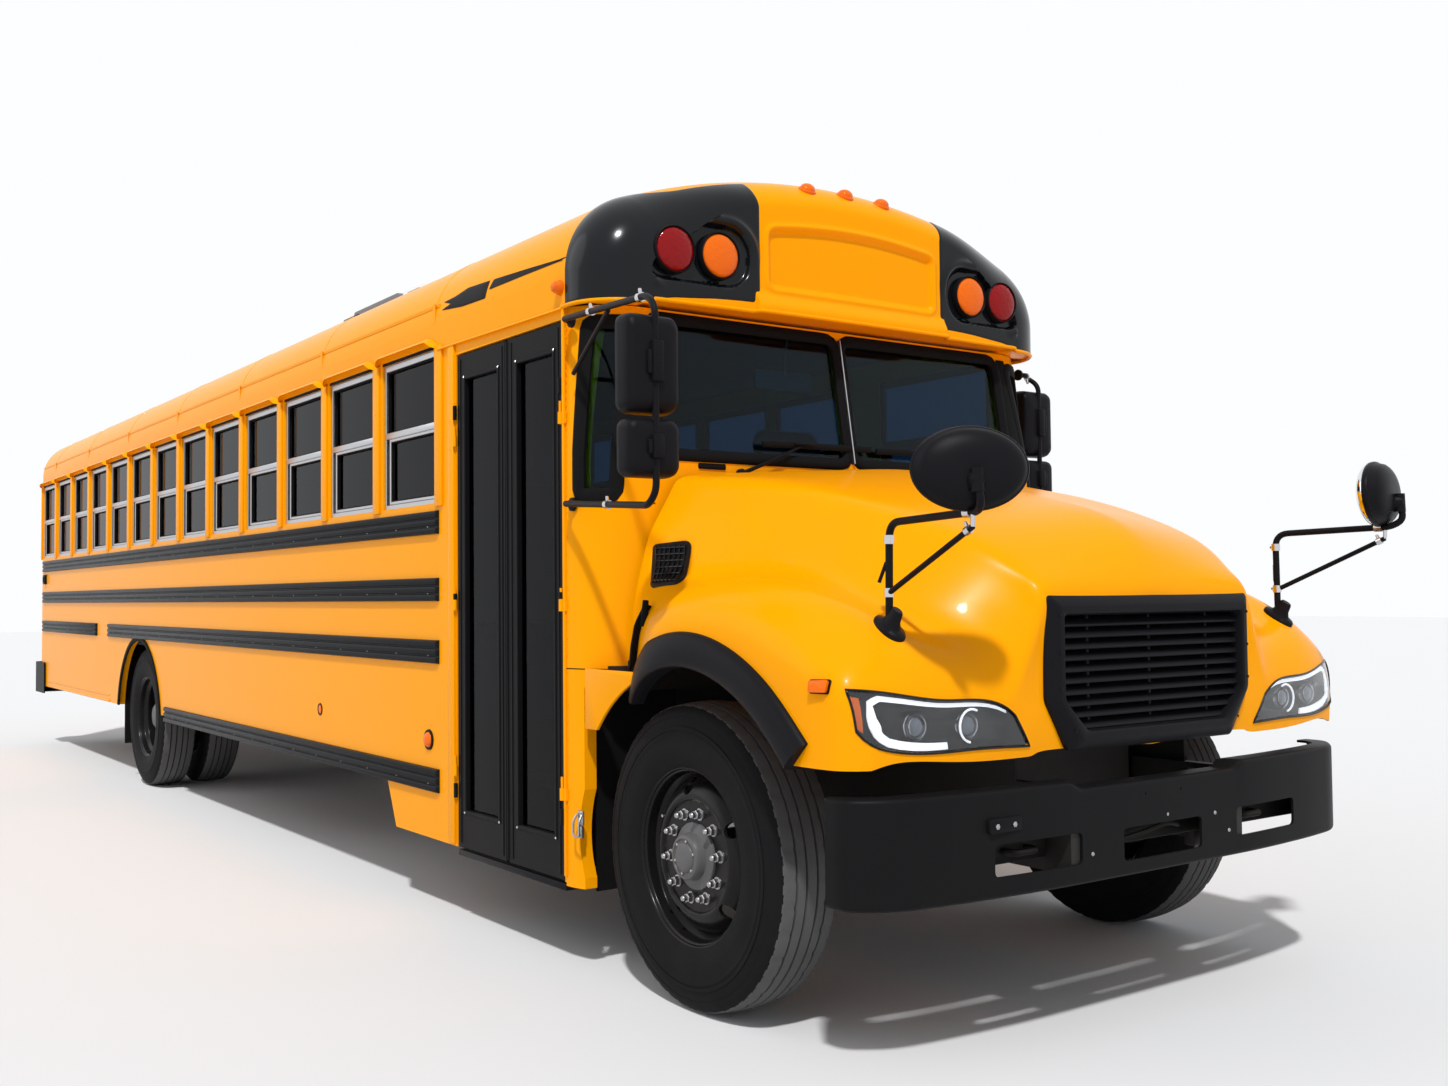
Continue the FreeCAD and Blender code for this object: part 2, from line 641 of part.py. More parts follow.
def build_doors():
    """Two leaves that swing outward, each a frame with one tall pane."""
    middle = (door_front + door_rear) / 2
    y_out = -half_width
    for name, x_out, x_in in (("front", door_front - panel_gap, middle + leaf_gap),
                              ("rear", door_rear + panel_gap, middle - leaf_gap)):
        hand = 1 if x_in > x_out else -1
        z0, z1 = door_low + panel_gap, door_high - panel_gap
        frame = box(x_out, x_in, y_out, y_out + wall, z0, z1)
        hole = (x_out + hand * leaf_rail, x_in - hand * leaf_rail)
        frame = frame.cut(box(hole[0], hole[1], -2000, 0, z0 + leaf_rail, z1 - leaf_rail))
        pin_x = x_out - hand * panel_gap / 2
        fixed, moving, bores = upright_hinges(pin_x, y_out - hinge_offset, (hand * 30.0, hinge_offset, 0),
                                              (-hand * 30.0, hinge_offset, 0), hinge_z(door_low, door_high))
        PARTS["right_wall"] = join([PARTS["right_wall"]] + fixed)
        PARTS["door_leaf_" + name] = join([frame] + moving).cut(Part.makeCompound(bores))
        PARTS["door_glass_" + name] = box(hole[0], hole[1], y_out + 18, y_out + 18 + glass_thick,
                                          z0 + leaf_rail, z1 - leaf_rail)


# ---- chassis ------------------------------------------------------------------------------------


def channel(hand):
    """One frame rail: a C section, open towards the middle."""
    web = box(rail_rear, rail_front, hand * (rail_web_y - rail_gauge), hand * rail_web_y, rail_low, rail_high)
    flanges = [
        box(rail_rear, rail_front, hand * (rail_web_y - rail_flange), hand * rail_web_y, z, z + rail_gauge)
        for z in (rail_low, rail_high - rail_gauge)
    ]
    return [web] + flanges


def spring_hangers(hand, axle_x, reach):
    """Brackets that hang a leaf spring's two ends below the rail."""
    y0, y1 = hand * (rail_web_y - rail_flange), hand * rail_web_y
    return [box(x - 30, x + 30, y0, y1, spring_eye_z - 28, rail_low) for x in (axle_x - reach, axle_x + reach)]


def build_frame():
    """Ladder frame: two rails with spring hangers, bumper brackets and hood pins, and the cross members."""
    rails = []
    for _, hand in SIDES:
        pieces = channel(hand)
        pieces += spring_hangers(hand, 0.0, spring_reach - 100.0)
        pieces += spring_hangers(hand, -wheelbase, spring_reach)
        plate_in = hand * (rail_web_y - bumper_bracket_wide)
        pieces.append(box(600.0, bumper_front_x - bumper_gauge, plate_in, hand * rail_web_y, 520.0, 780.0))
        pin_end = hand * (rail_web_y + 34.0)
        pieces.append(rod((hood_pin_x, hand * rail_web_y, hood_pin_z), (hood_pin_x, pin_end, hood_pin_z),
                          hood_pin_radius))
        pieces.append(tow_plate(hand))
        rails.append(join(pieces))
    PARTS["frame_rails"] = apart(rails)
    inner = rail_web_y - rail_gauge
    members = [box(x - 35, x + 35, -inner, inner, rail_low + rail_gauge, rail_low + 60.0) for x in CROSS_MEMBERS]
    pedestal = box(CROSS_MEMBERS[2] - 30, CROSS_MEMBERS[2] + 30, -45, 45, rail_low + 60.0,
                   shaft_z - shaft_joint_radius - seat_gap)
    members[2] = join([members[2], pedestal])
    PARTS["cross_members"] = apart(members)


def tow_plate(hand):
    """Tow plate below the rail's rear end, with a bore for a shackle pin."""
    y0, y1 = hand * (rail_web_y - tow_plate_thick), hand * rail_web_y
    plate = box(tow_x - 55, tow_x + 55, y0, y1, tow_z, rail_low + 20)
    nose = rod((tow_x, y0, tow_z), (tow_x, y1, tow_z), 55.0)
    hole = rod((tow_x, y0 - 1 * hand, tow_z), (tow_x, y1 + 1 * hand, tow_z), tow_bore_radius)
    return plate.fuse(nose).cut(hole)


def build_drive():
    """Engine with its gearbox as one block, the radiator, and the shaft to the rear axle."""
    engine = box(engine_rear, 620.0, -engine_half, engine_half, rail_low + 20.0, 1400.0)
    gearbox = box(shaft_front, engine_rear, -200.0, 200.0, rail_low + 80.0, rail_high - panel_gap)
    feet = [box(80.0, 180.0, hand * engine_half, hand * (rail_web_y - rail_gauge), rail_low + 40.0, rail_low + 100.0)
            for _, hand in SIDES]
    radiator = box(700.0, 785.0, -rail_web_y, rail_web_y, rail_high, 1360.0)
    PARTS["engine_block"] = apart([join([engine, gearbox] + feet), radiator])
    mid_x = CROSS_MEMBERS[2]
    front = rod((shaft_front, 0, shaft_z), (mid_x, 0, shaft_z), shaft_radius)
    rear = rod((mid_x, 0, shaft_z), tuple(nose_end()), shaft_radius)
    joint = Part.makeSphere(shaft_joint_radius, V(mid_x, 0, shaft_z))
    PARTS["drive_shaft"] = join([front, rear, joint])


def nose_end():
    """Input flange of the rear axle, on the line from its middle to the shaft's middle joint."""
    middle = V(-wheelbase, 0, tyre_radius)
    aim = V(CROSS_MEMBERS[2], 0, shaft_z) - middle
    return middle + aim.normalize() * axle_nose


def build_tanks():
    """Fuel tank on the right rail and the exhaust inside the left rail."""
    tank_top = floor_top - floor_thick - 60.0
    tank = box(-3950.0, -2700.0, -rail_web_y, -1040.0, tank_top - 420.0, tank_top)
    long_edges = [e for e in tank.Edges if abs(e.BoundBox.XLength) > 1000]
    PARTS["fuel_tank"] = tank.makeFillet(70.0, [e for e in long_edges if e.BoundBox.YMax < -rail_web_y - 1])
    pipe_y, pipe_z = 270.0, rail_low + 155.0
    tail_y, tail_z = 560.0, tow_z - tow_bore_radius - 68.0
    pipe = bent_tube(((engine_rear - seat_gap, pipe_y, pipe_z), (-10150.0, pipe_y, pipe_z),
                      (-10400.0, pipe_y, tail_z + 100.0), (-10750.0, tail_y, tail_z), (-11130.0, tail_y, tail_z)), 48.0)
    muffler = rod((-4300.0, pipe_y, pipe_z), (-5500.0, pipe_y, pipe_z), 90.0)
    PARTS["exhaust"] = join([pipe, muffler])


def bumper_plan(front, half, end_x, inset):
    """Plan of the front bumper, one gauge inside the last when inset."""
    f, h = front - inset, half - inset
    side = [(f, 480.0), (f - 32.0, 900.0), (f - 70.0, half - 109.0 - inset * 0.5), (f - 160.0, h), (end_x, h)]
    return [(x, -y) for x, y in reversed(side)] + side


def build_bumpers():
    """Front bumper: a wrapped channel with three slots. Rear bumper: a flat plate with wrapped ends."""
    outer = prism_z(bumper_plan(bumper_front_x, bumper_half, bumper_end_x, 0.0), bumper_low, bumper_high)
    inner = prism_z(bumper_plan(bumper_front_x, bumper_half, bumper_end_x - 10.0, bumper_gauge), bumper_low - 10, bumper_high + 10)
    skin = outer.cut(inner)
    lips = []
    back = prism_z(bumper_plan(bumper_front_x, bumper_half, bumper_end_x - 10.0, 28.0), 0, 2000)
    for z in (bumper_low, bumper_high - bumper_gauge):
        ring = prism_z(bumper_plan(bumper_front_x, bumper_half, bumper_end_x, 0.0), z, z + bumper_gauge)
        lips.append(ring.cut(back))
    cuts = [box(900, 1100, y0, y1, z0, z1) for y0, y1, z0, z1 in SLOTS]
    for y in (-plate_hole_spacing / 2, plate_hole_spacing / 2):
        cuts.append(rod((900, y, plate_hole_z), (1100, y, plate_hole_z), plate_hole_radius))
    PARTS["front_bumper"] = join([skin] + lips).cut(Part.makeCompound(cuts))
    face = box(rear_bumper_x, rail_rear, -bumper_half, bumper_half, rear_bumper_low, rear_bumper_high)
    ends = both(box(rear_bumper_x, -10750.0, -bumper_half, -bumper_half + bumper_gauge,
                    rear_bumper_low, rear_bumper_high))
    sill = both(box(rear_bumper_x, -10990.0, -bumper_half, -rail_web_y - 100.0,
                    rear_bumper_low, rear_bumper_low + 8.0))
    PARTS["rear_bumper"] = join([face] + ends + sill)


# ---- axles, knuckles and wheels -----------------------------------------------------------------
def leaf_spring(hand, axle_x, reach, base_z):
    """A leaf pack from hanger to hanger over the axle, thickest in the middle."""
    y0, y1 = hand * (rail_web_y - rail_flange + 2), hand * (rail_web_y - 2)
    eye = spring_eye_z - 28.0
    main = prism_y(((axle_x - reach, eye), (axle_x - reach * 0.5, eye - 10), (axle_x, base_z + 2 * spring_leaf),
                    (axle_x + reach * 0.5, eye - 10), (axle_x + reach, eye),
                    (axle_x + reach, eye - spring_leaf), (axle_x + 120, base_z), (axle_x - 120, base_z),
                    (axle_x - reach, eye - spring_leaf)), y0, y1)
    return main


def build_front_axle():
    """Dropped beam with spring pads, leaf springs and the two king pins."""
    z = tyre_radius
    pad_z = tyre_radius - 54.0
    beam = box(-45, 45, -kingpin_y + 150, kingpin_y - 150, pad_z - 95, pad_z)
    rises = both(prism_x(((-kingpin_y + 150, pad_z - 95), (-kingpin_y + 150, pad_z), (-kingpin_y + 60, z + 40),
                          (-kingpin_y, z + 40), (-kingpin_y, z - 40), (-kingpin_y + 70, z - 40)), -40, 40))
    ends = both(Part.makeCylinder(42.0, 80.0, V(0, -kingpin_y, z - 40), Z_AXIS))
    pins = both(Part.makeCylinder(king_radius, 2 * king_half, V(0, -kingpin_y, z - king_half), Z_AXIS))
    PARTS["front_axle"] = join([beam] + rises + ends + pins)
    front = [leaf_spring(hand, 0.0, spring_reach - 100.0, pad_z) for _, hand in SIDES]
    rear_pad = tyre_radius + 62.0
    rear = [rear_spring(hand, rear_pad) for _, hand in SIDES]
    PARTS["leaf_springs"] = apart(front + rear)


def rear_spring(hand, pad_z):
    """Rear leaf pack: it sits on the axle and its ends meet the hangers' lower faces."""
    y0, y1 = hand * (rail_web_y - rail_flange + 2), hand * (rail_web_y - 2)
    eye = spring_eye_z - 28.0
    x, r = -wheelbase, spring_reach
    return prism_y(((x - r - 20, eye), (x - r + 32, eye), (x - 120, pad_z + 34), (x + 120, pad_z + 34),
                    (x + r - 32, eye), (x + r + 20, eye), (x + r + 20, eye - 20), (x + r * 0.5, eye - 22),
                    (x + 90, pad_z), (x - 90, pad_z), (x - r * 0.5, eye - 22), (x - r - 20, eye - 20)), y0, y1)


def build_knuckles():
    """Steering knuckle: a fork round the beam's end, the spindle and the steering arm."""
    z = tyre_radius
    bore = king_radius + bearing_clearance
    ear = 30.0
    inner = 40.0 + knuckle_gap
    ears = []
    for low in (z - inner - ear, z + inner):
        plate = box(-42, 42, -kingpin_y - 70, -kingpin_y, low, low + ear)
        plate = plate.fuse(Part.makeCylinder(42.0, ear, V(0, -kingpin_y, low), Z_AXIS))
        ears.append(plate)
    web = box(-42, 42, -kingpin_y - 70, -kingpin_y - 46, z - inner - ear, z + inner + ear)
    spindle = rod((0, -kingpin_y - 60, z), (0, -front_track_half - 120, z), spindle_radius)
    arm = join([box(-220, -20, -kingpin_y - 18, -kingpin_y + 18, z - inner - ear, z - inner - 6),
                Part.makeCylinder(26.0, 24.0, V(-220, -kingpin_y, z - inner - ear), Z_AXIS)])
    knuckle = join(ears + [web, spindle, arm])
    knuckle = knuckle.cut(Part.makeCylinder(bore, 400.0, V(0, -kingpin_y, z - 200), Z_AXIS))
    PARTS["knuckle_right"] = knuckle
    PARTS["knuckle_left"] = mirrored(knuckle)


def build_rear_axle():
    """Drive axle: a tube through the final-drive casing, with a spindle at each end."""
    x, z = -wheelbase, tyre_radius
    tube = rod((x, -dual_mid_y + 190, z), (x, dual_mid_y - 190, z), 62.0)
    casing = Part.makeSphere(200.0, V(x, 0, z))
    nose = rod((x, 0, z), tuple(nose_end()), 85.0)
    spindle = rod((x, -dual_mid_y - 190, z), (x, dual_mid_y + 190, z), spindle_radius)
    PARTS["rear_axle"] = join([tube, casing, nose, spindle])


def tyre(x, y):
    """One tyre about a cross-wise axle, its section a closed outline."""
    bead = bead_radius + seat_gap
    half_bead = rim_half - seat_gap
    shoulder = tyre_radius - 22.0
    one_side = ((bead, half_bead), (flange_radius + 6.0, half_bead), (bead_radius + 90.0, tyre_half),
                (tyre_radius - 75.0, tyre_half - 2.0), (shoulder, tread_half + 14.0), (tyre_radius, tread_half))
    other = tuple((r, -a) for r, a in reversed(one_side))
    return spin_y([(r, y + a) for r, a in one_side + other], x, tyre_radius)


def rim(x, y, outward, disc_rim, disc_face):
    """One disc wheel: barrel, two flanges and a dished disc with ten stud holes left plain.

    disc_rim and disc_face are the disc's place across the wheel, at the barrel and at the hub.
    """
    barrel_in = bead_radius - rim_wall
    ring = [(barrel_in, -rim_half - flange_thick), (flange_radius, -rim_half - flange_thick),
            (flange_radius, -rim_half), (bead_radius, -rim_half), (bead_radius, rim_half),
            (flange_radius, rim_half), (flange_radius, rim_half + flange_thick),
            (barrel_in, rim_half + flange_thick)]
    bore = spindle_radius + bearing_clearance
    flat = wheel_bolt_circle + 45.0
    disc = [(barrel_in + 2, disc_rim), (flat, disc_face), (bore, disc_face), (bore, disc_face - disc_thick),
            (flat - 4, disc_face - disc_thick), (barrel_in + 2, disc_rim - disc_thick * 1.6)]
    solids = []
    for outline in (ring, disc):
        solids.append(spin_y([(r, y + outward * a) for r, a in outline], x, tyre_radius))
    return solids


def build_wheels():
    """Front wheels on the knuckles; twin rear wheels as one set each side."""
    z = tyre_radius
    for name, hand in SIDES:
        y = hand * front_track_half
        PARTS["front_tyre_" + name] = tyre(0.0, y)
        solids = rim(0.0, y, hand, 30.0, 86.0)
        y_hub = hand * (kingpin_y + 76.0)
        y_nose = hand * (front_track_half + 128.0)
        barrel = rod((0, y_hub, z), (0, hand * (front_track_half + 60.0), z), hub_radius)
        nose = rod((0, hand * (front_track_half + 60.0), z), (0, y_nose, z), 78.0)
        hollow = rod((0, y_hub - hand, z), (0, hand * (front_track_half + 122.0), z),
                     spindle_radius + bearing_clearance)
        PARTS["front_wheel_" + name] = join(solids + [barrel, nose]).cut(hollow)
        outer_y = hand * (dual_mid_y + dual_half_spacing)
        inner_y = hand * (dual_mid_y - dual_half_spacing)
        PARTS["rear_tyres_" + name] = apart([tyre(-wheelbase, outer_y), tyre(-wheelbase, inner_y)])
        face = -dual_half_spacing + disc_thick
        solids = rim(-wheelbase, outer_y, hand, -70.0, face)
        solids += rim(-wheelbase, inner_y, -hand, -70.0, face)
        y_in = hand * (dual_mid_y - 178.0)
        y_out = hand * (dual_mid_y + 225.0)
        barrel = rod((-wheelbase, y_in, z), (-wheelbase, hand * (dual_mid_y + 60), z), hub_radius)
        nose = rod((-wheelbase, hand * (dual_mid_y + 60), z), (-wheelbase, y_out, z), 92.0)
        hollow = rod((-wheelbase, y_in - hand, z), (-wheelbase, hand * (dual_mid_y + 192.0), z),
                     spindle_radius + bearing_clearance)
        PARTS["rear_wheels_" + name] = join(solids + [barrel, nose]).cut(hollow)


# ---- hood ---------------------------------------------------------------------------------------
def hood_wire(row, inset, x_shift=0.0, drop=0.0):
    """One section of the hood at its station, from the right-hand lower edge over the crown to the left."""
    x, zc, y1, z1, y2, z2, y3, z3, y4, z4, low = row
    x += x_shift
    t = inset
    half = [(y4 - t, low - drop), (y4 - t, z4 - t * 0.6), (y3 - t * 0.6, z3 - t), (y2 - t, z2 - t),
            (y1 - t * 0.8, z1 - t)]
    points = [V(x, -y, z) for y, z in half]
    crown = V(x, 0, zc - t)
    left = [V(x, y, z) for y, z in reversed(half)]
    edges = [Part.LineSegment(a, b).toShape() for a, b in zip(points, points[1:])]
    edges.append(Part.Arc(points[-1], crown, left[0]).toShape())
    edges += [Part.LineSegment(a, b).toShape() for a, b in zip(left, left[1:])]
    edges.append(Part.LineSegment(left[-1], points[0]).toShape())
    return Part.Wire(edges)


def nose_plan(grow, z0, z1):
    """Prism over the hood's plan outline, grown forward and outward."""
    right = [(hood_rear - 400.0, -1400.0), (NOSE_PLAN[0][0], -1400.0)]
    right += [(x + grow, -y - (grow if y else 0.0)) for x, y in NOSE_PLAN]
    left = [(x, -y) for x, y in reversed(right[:-1])]
    return prism_z(right + left, z0, z1)


def build_hood():
    """Hood and fenders: one hollow shell, open below and behind, with the wheel openings and flares."""
    outer = Part.makeLoft([hood_wire(row, 0.0) for row in HOOD_STATIONS], True, True)
    outer = outer.common(nose_plan(0.0, 0, 4000))
    first = (HOOD_STATIONS[0][0] - 60.0,) + HOOD_STATIONS[0][1:]
    inner_rows = [first] + list(HOOD_STATIONS[1:])
    inner = Part.makeLoft([hood_wire(row, hood_skin, 0.0, 300.0) for row in inner_rows], True, True)
    inner = inner.common(nose_plan(-hood_skin, 0, 4000))
    shell = outer.cut(inner)
    opening = [(FLARE[0][0] - 400.0, FLARE[0][1]), *FLARE, (FLARE[-1][0], 0.0), (FLARE[0][0] - 400.0, 0.0)]
    shell = shell.cut(prism_y(opening, -1400, 1400))
    shell = shell.cut(prism_x(grille_outline(0.0), 700, 1200))
    lamps = prism_x(HEADLAMP, 700, 1200)
    shell = shell.cut(Part.makeCompound(both(lamps)))
    pieces = [shell]
    for _, hand in SIDES:
        pieces.append(flare(hand))
        pieces.append(hinge_arm(hand))
    hood = join(pieces)
    for _, hand in SIDES:
        y0, y1 = hand * rail_web_y, hand * (rail_web_y + 60.0)
        hood = hood.cut(rod((hood_pin_x, y0, hood_pin_z), (hood_pin_x, y1, hood_pin_z),
                            hood_pin_radius + bearing_clearance))
    PARTS["hood_shell"] = hood


def flare(hand):
    """Black band round a front wheel opening, standing proud of the fender."""
    rows = FLARE[1:]
    band = []
    for i, (x, z) in enumerate(rows):
        ahead, behind = rows[min(i + 1, len(rows) - 1)], rows[max(i - 1, 0)]
        along = V(ahead[0] - behind[0], 0, ahead[1] - behind[1]).normalize()
        band.append((x - along.z * flare_band, z + along.x * flare_band))
    outline = list(rows) + list(reversed(band))
    y0 = hand * (HOOD_STATIONS[3][8] - flare_thick + flare_proud)
    y1 = hand * (HOOD_STATIONS[3][8] + flare_proud)
    return prism_y(outline, y0, y1)


def hinge_arm(hand):
    """Gooseneck from the pin up behind the bumper to the hood's front wall."""
    y0, y1 = hand * (rail_web_y + seat_gap), hand * (rail_web_y + 20.0)
    wide = 20.0
    joints = ((hood_pin_x, hood_pin_z), (820.0, 858.0), (972.0, 925.0))
    pieces = [rod((hood_pin_x, y0, hood_pin_z), (hood_pin_x, y1, hood_pin_z), 24.0)]
    for (xa, za), (xb, zb) in zip(joints, joints[1:]):
        along = V(xb - xa, 0, zb - za).normalize() * (wide / 2)
        outline = ((xa - along.z, za + along.x), (xb - along.z, zb + along.x),
                   (xb + along.z, zb - along.x), (xa + along.z, za - along.x))
        pieces.append(prism_y(outline, y0, y1))
    pieces.append(rod((820.0, y0, 858.0), (820.0, y1, 858.0), wide / 2))
    return join(pieces)


def grille_outline(inset):
    """Grille opening: straight sides that taper in below the bend (y, z)."""
    t = inset
    right = [(-grille_half_low + t, grille_low + t), (-grille_half_top + t, grille_bend),
             (-grille_half_top + t, grille_high - t)]
    return right + [(-y, z) for y, z in reversed(right)]


def build_grille():
    """Black surround with slats, standing a little ahead of the hood."""
    back = hood_front - 45.0
    ring = prism_x(grille_outline(1.0), back, grille_front).cut(prism_x(grille_outline(grille_bar), 700, 1200))
    low, high = grille_low + grille_bar, grille_high - grille_bar
    step = (high - low) / slat_count
    slats = []
    field = prism_x(grille_outline(grille_bar - 8.0), 700, 1200)
    for i in range(slat_count):
        z = low + (i + 0.5) * step
        blade = prism_y(((back + 8, z + 8), (grille_front - 14, z - 14), (grille_front - 14, z - 6), (back + 8, z + 16)),
                        -grille_half_top, grille_half_top)
        slats.append(blade.common(field))
    posts = [box(back + 4, back + 20, y - 8, y + 8, grille_low + 8, grille_high - 8) for y in (-170.0, 170.0)]
    PARTS["grille"] = join([ring] + slats + posts)


def build_headlamps():
    """Headlamps that fill their pockets, and a side marker lamp behind each."""
    shape = nose_plan(4.0, 0, 4000).cut(nose_plan(-hood_skin, 0, 4000))
    inset = [(y * 0.9985 if y > 900 else y + 1.5, z - 1.0 if z > 1000 else z + 1.0) for y, z in HEADLAMP]
    lamp = shape.common(prism_x([(-y, z) for y, z in inset], headlamp_rear, 1200))
    marker = box(765.0, 850.0, -1232.0, -1180.0, 1080.0, 1145.0)
    PARTS["headlamps"] = apart(both(lamp) + both(biggest(marker.cut(PARTS["hood_shell"]))))


def oval(x, y, z, half_wide, half_high, axis):
    """Upright ellipse as a wire, facing along axis."""
    centre = V(x, y, z)
    across = Z_AXIS.cross(axis).normalize()
    ellipse = Part.Ellipse(centre + across * half_wide, centre + Z_AXIS * half_high, centre)
    return Part.Wire(ellipse.toShape())


def build_cross_mirrors():
    """Oval crossing mirrors on bent tubes, on the fenders' fronts."""
    nodes = []
    for _, hand in SIDES:
        yaw = math.radians(22.0) * hand
        axis = V(math.cos(yaw), math.sin(yaw), 0)
        x, y, z = cross_head_x, hand * cross_head_y, cross_head_z
        rings = [oval(x + axis.x * a, y + axis.y * a, z, cross_head_wide * s, cross_head_high * s, axis) for a, s in HEAD_RINGS]
        head = Part.makeLoft(rings, True, True)
        foot_x, foot_y, arm_z = cross_foot_x, hand * cross_foot_y, cross_head_z - 130.0
        tube = bent_tube(((foot_x, foot_y, cross_foot_z + 15.0), (foot_x + 13.0, foot_y - hand * 8.0, arm_z),
                          (x + 25.0, y + hand * 27.0, arm_z), (x + 40.0, y + hand * 22.0, z - 39.0)), tube_radius)
        brace = rod((foot_x - 1.0, foot_y + hand * 1.0, cross_foot_z + 110.0),
                    (x + 15.0, y + hand * 25.0, arm_z - 7.0), 7.0)
        base = Part.makeCylinder(46.0, 60.0, V(foot_x, foot_y, cross_foot_z), V(0.25, 0.0, 1.0))
        knob = rod((x + 32.0, y + hand * 17.0, z - 67.0), (x + 40.0, y + hand * 19.0, z - 7.0), 20.0)
        nodes.append(biggest(join([head, tube, brace, base, knob]).cut(PARTS["hood_shell"])))
    PARTS["crossing_mirrors"] = apart(nodes)


def build_side_mirrors():
    """Rear-view mirrors: a C of tube ahead of each corner post, with two heads."""
    nodes = []
    for hand, post_x, reach, lift in MIRROR_POSTS:
        y_body = hand * half_width
        y_post = y_body + hand * reach
        high, low = mirror_post_high + lift, mirror_post_low + lift
        tube = bent_tube(((-590.0, y_body - hand * 25.0, mirror_foot_high), (-590.0, y_body + hand * 40.0, mirror_foot_high),
                          (post_x - 40.0, y_post, high), (post_x, y_post, high - 50.0),
                          (post_x, y_post, low), (post_x - 40.0, y_post, low - 40.0),
                          (-600.0, y_body + hand * 40.0, mirror_foot_low), (-600.0, y_body - hand * 25.0, mirror_foot_low)),
                         tube_radius)
        pieces = [tube]
        for z, tall, wide, deep in MIRROR_HEADS:
            head = box(post_x - deep + 20, post_x + 20, y_post - wide / 2, y_post + wide / 2,
                       z + lift - tall / 2, z + lift + tall / 2)
            pieces.append(head.makeFillet(28.0, head.Edges))
        nodes.append(biggest(join(pieces).cut(PARTS["cowl"])))
    PARTS["side_mirrors"] = apart(nodes)


# ---- roof units, lamps, stop arm, flaps ---------------------------------------------------------
def crown_height(y, drop=0.0):
    """Height of the roof's outer skin over a point on the crown arc."""
    turn = math.radians(corner_turn)
    crown_half = half_width - corner_radius + corner_radius * math.cos(turn)
    radius = crown_half / math.cos(turn)
    top = corner_z - drop + corner_radius * math.sin(turn) + radius * (1 - math.sin(turn))
    return top - radius + math.sqrt(radius * radius - y * y)


def build_roof_units():
    """Low domed air units on the roof."""
    units = []
    for front, rear, half, high in ROOF_UNITS:
        low = crown_height(half) - 40.0
        top = crown_height(0) + high
        long_section = ((rear, low), (rear + 60, top - 0.45 * high), (rear + 350, top), (front - 650, top),
                        (front - 150, top - 0.5 * high), (front, low))
        body = prism_y(long_section, -half, half)
        across = prism_x(((-half, low), (-half, top - 0.6 * high), (-half + 150, top), (half - 150, top),
                          (half, top - 0.6 * high), (half, low)), rear - 10, front + 10)
        cap = body.common(across)
        units.append(cap.cut(body_block(0.0, pillar_x, 0.0)))
    PARTS["roof_units"] = apart(units)


def build_hatch():
    """Roof hatch: a lid over an opening in the crown, on a raised collar."""
    top = crown_height(hatch_half)
    crown = crown_height(0)
    hole = box(hatch_x - hatch_half, hatch_x + hatch_half, -hatch_half, hatch_half, top - 200, crown + 200)
    collar = box(hatch_x - hatch_half - 25, hatch_x + hatch_half + 25, -hatch_half - 25, hatch_half + 25,
                 top - 30, crown + 25)
    PARTS["roof_shell"] = join([PARTS["roof_shell"], collar.cut(body_block(wall, pillar_x, 0.0))]).cut(hole)
    z0 = crown + 25 + 0.5
    lid = box(hatch_x - hatch_half - 45, hatch_x + hatch_half + 45, -hatch_half - 45, hatch_half + 45, z0, z0 + hatch_high)
    rim_edges = [e for e in lid.Edges if e.BoundBox.ZMin > z0 + hatch_high - 1]
    PARTS["roof_hatch"] = lid.makeFillet(30.0, rim_edges)


def disc_lamp(x, y, z, radius, deep, forward):
    """Round lamp facing along X."""
    return rod((x, y, z), (x + forward * deep, y, z), radius)


def build_lamps():
    """Warning lamps front and rear, tail lamps, and marker lamps."""
    lamps = []
    recess = cap_front - pod_deep
    for y in LAMP_YS:
        lamps += both(disc_lamp(recess, -y, (pod_low + pod_high) / 2, lamp_radius, pod_deep - 8.0, 1))
    rear_lamps = (  # y, z, radius
        (720.0, 2620.0, 70.0), (930.0, 2560.0, 70.0), (1000.0, 1560.0, 88.0), (1000.0, 1300.0, 88.0),
        (790.0, 1560.0, 60.0),
    )
    for y, z, radius in rear_lamps:
        lamps += both(disc_lamp(body_rear, -y, z, radius, 34.0, -1))
    side_x = -1920.0
    lamps += both(rod((side_x, -half_width, 750.0), (side_x, -half_width - 22.0, 750.0), 38.0))
    PARTS["signal_lamps"] = apart(lamps)


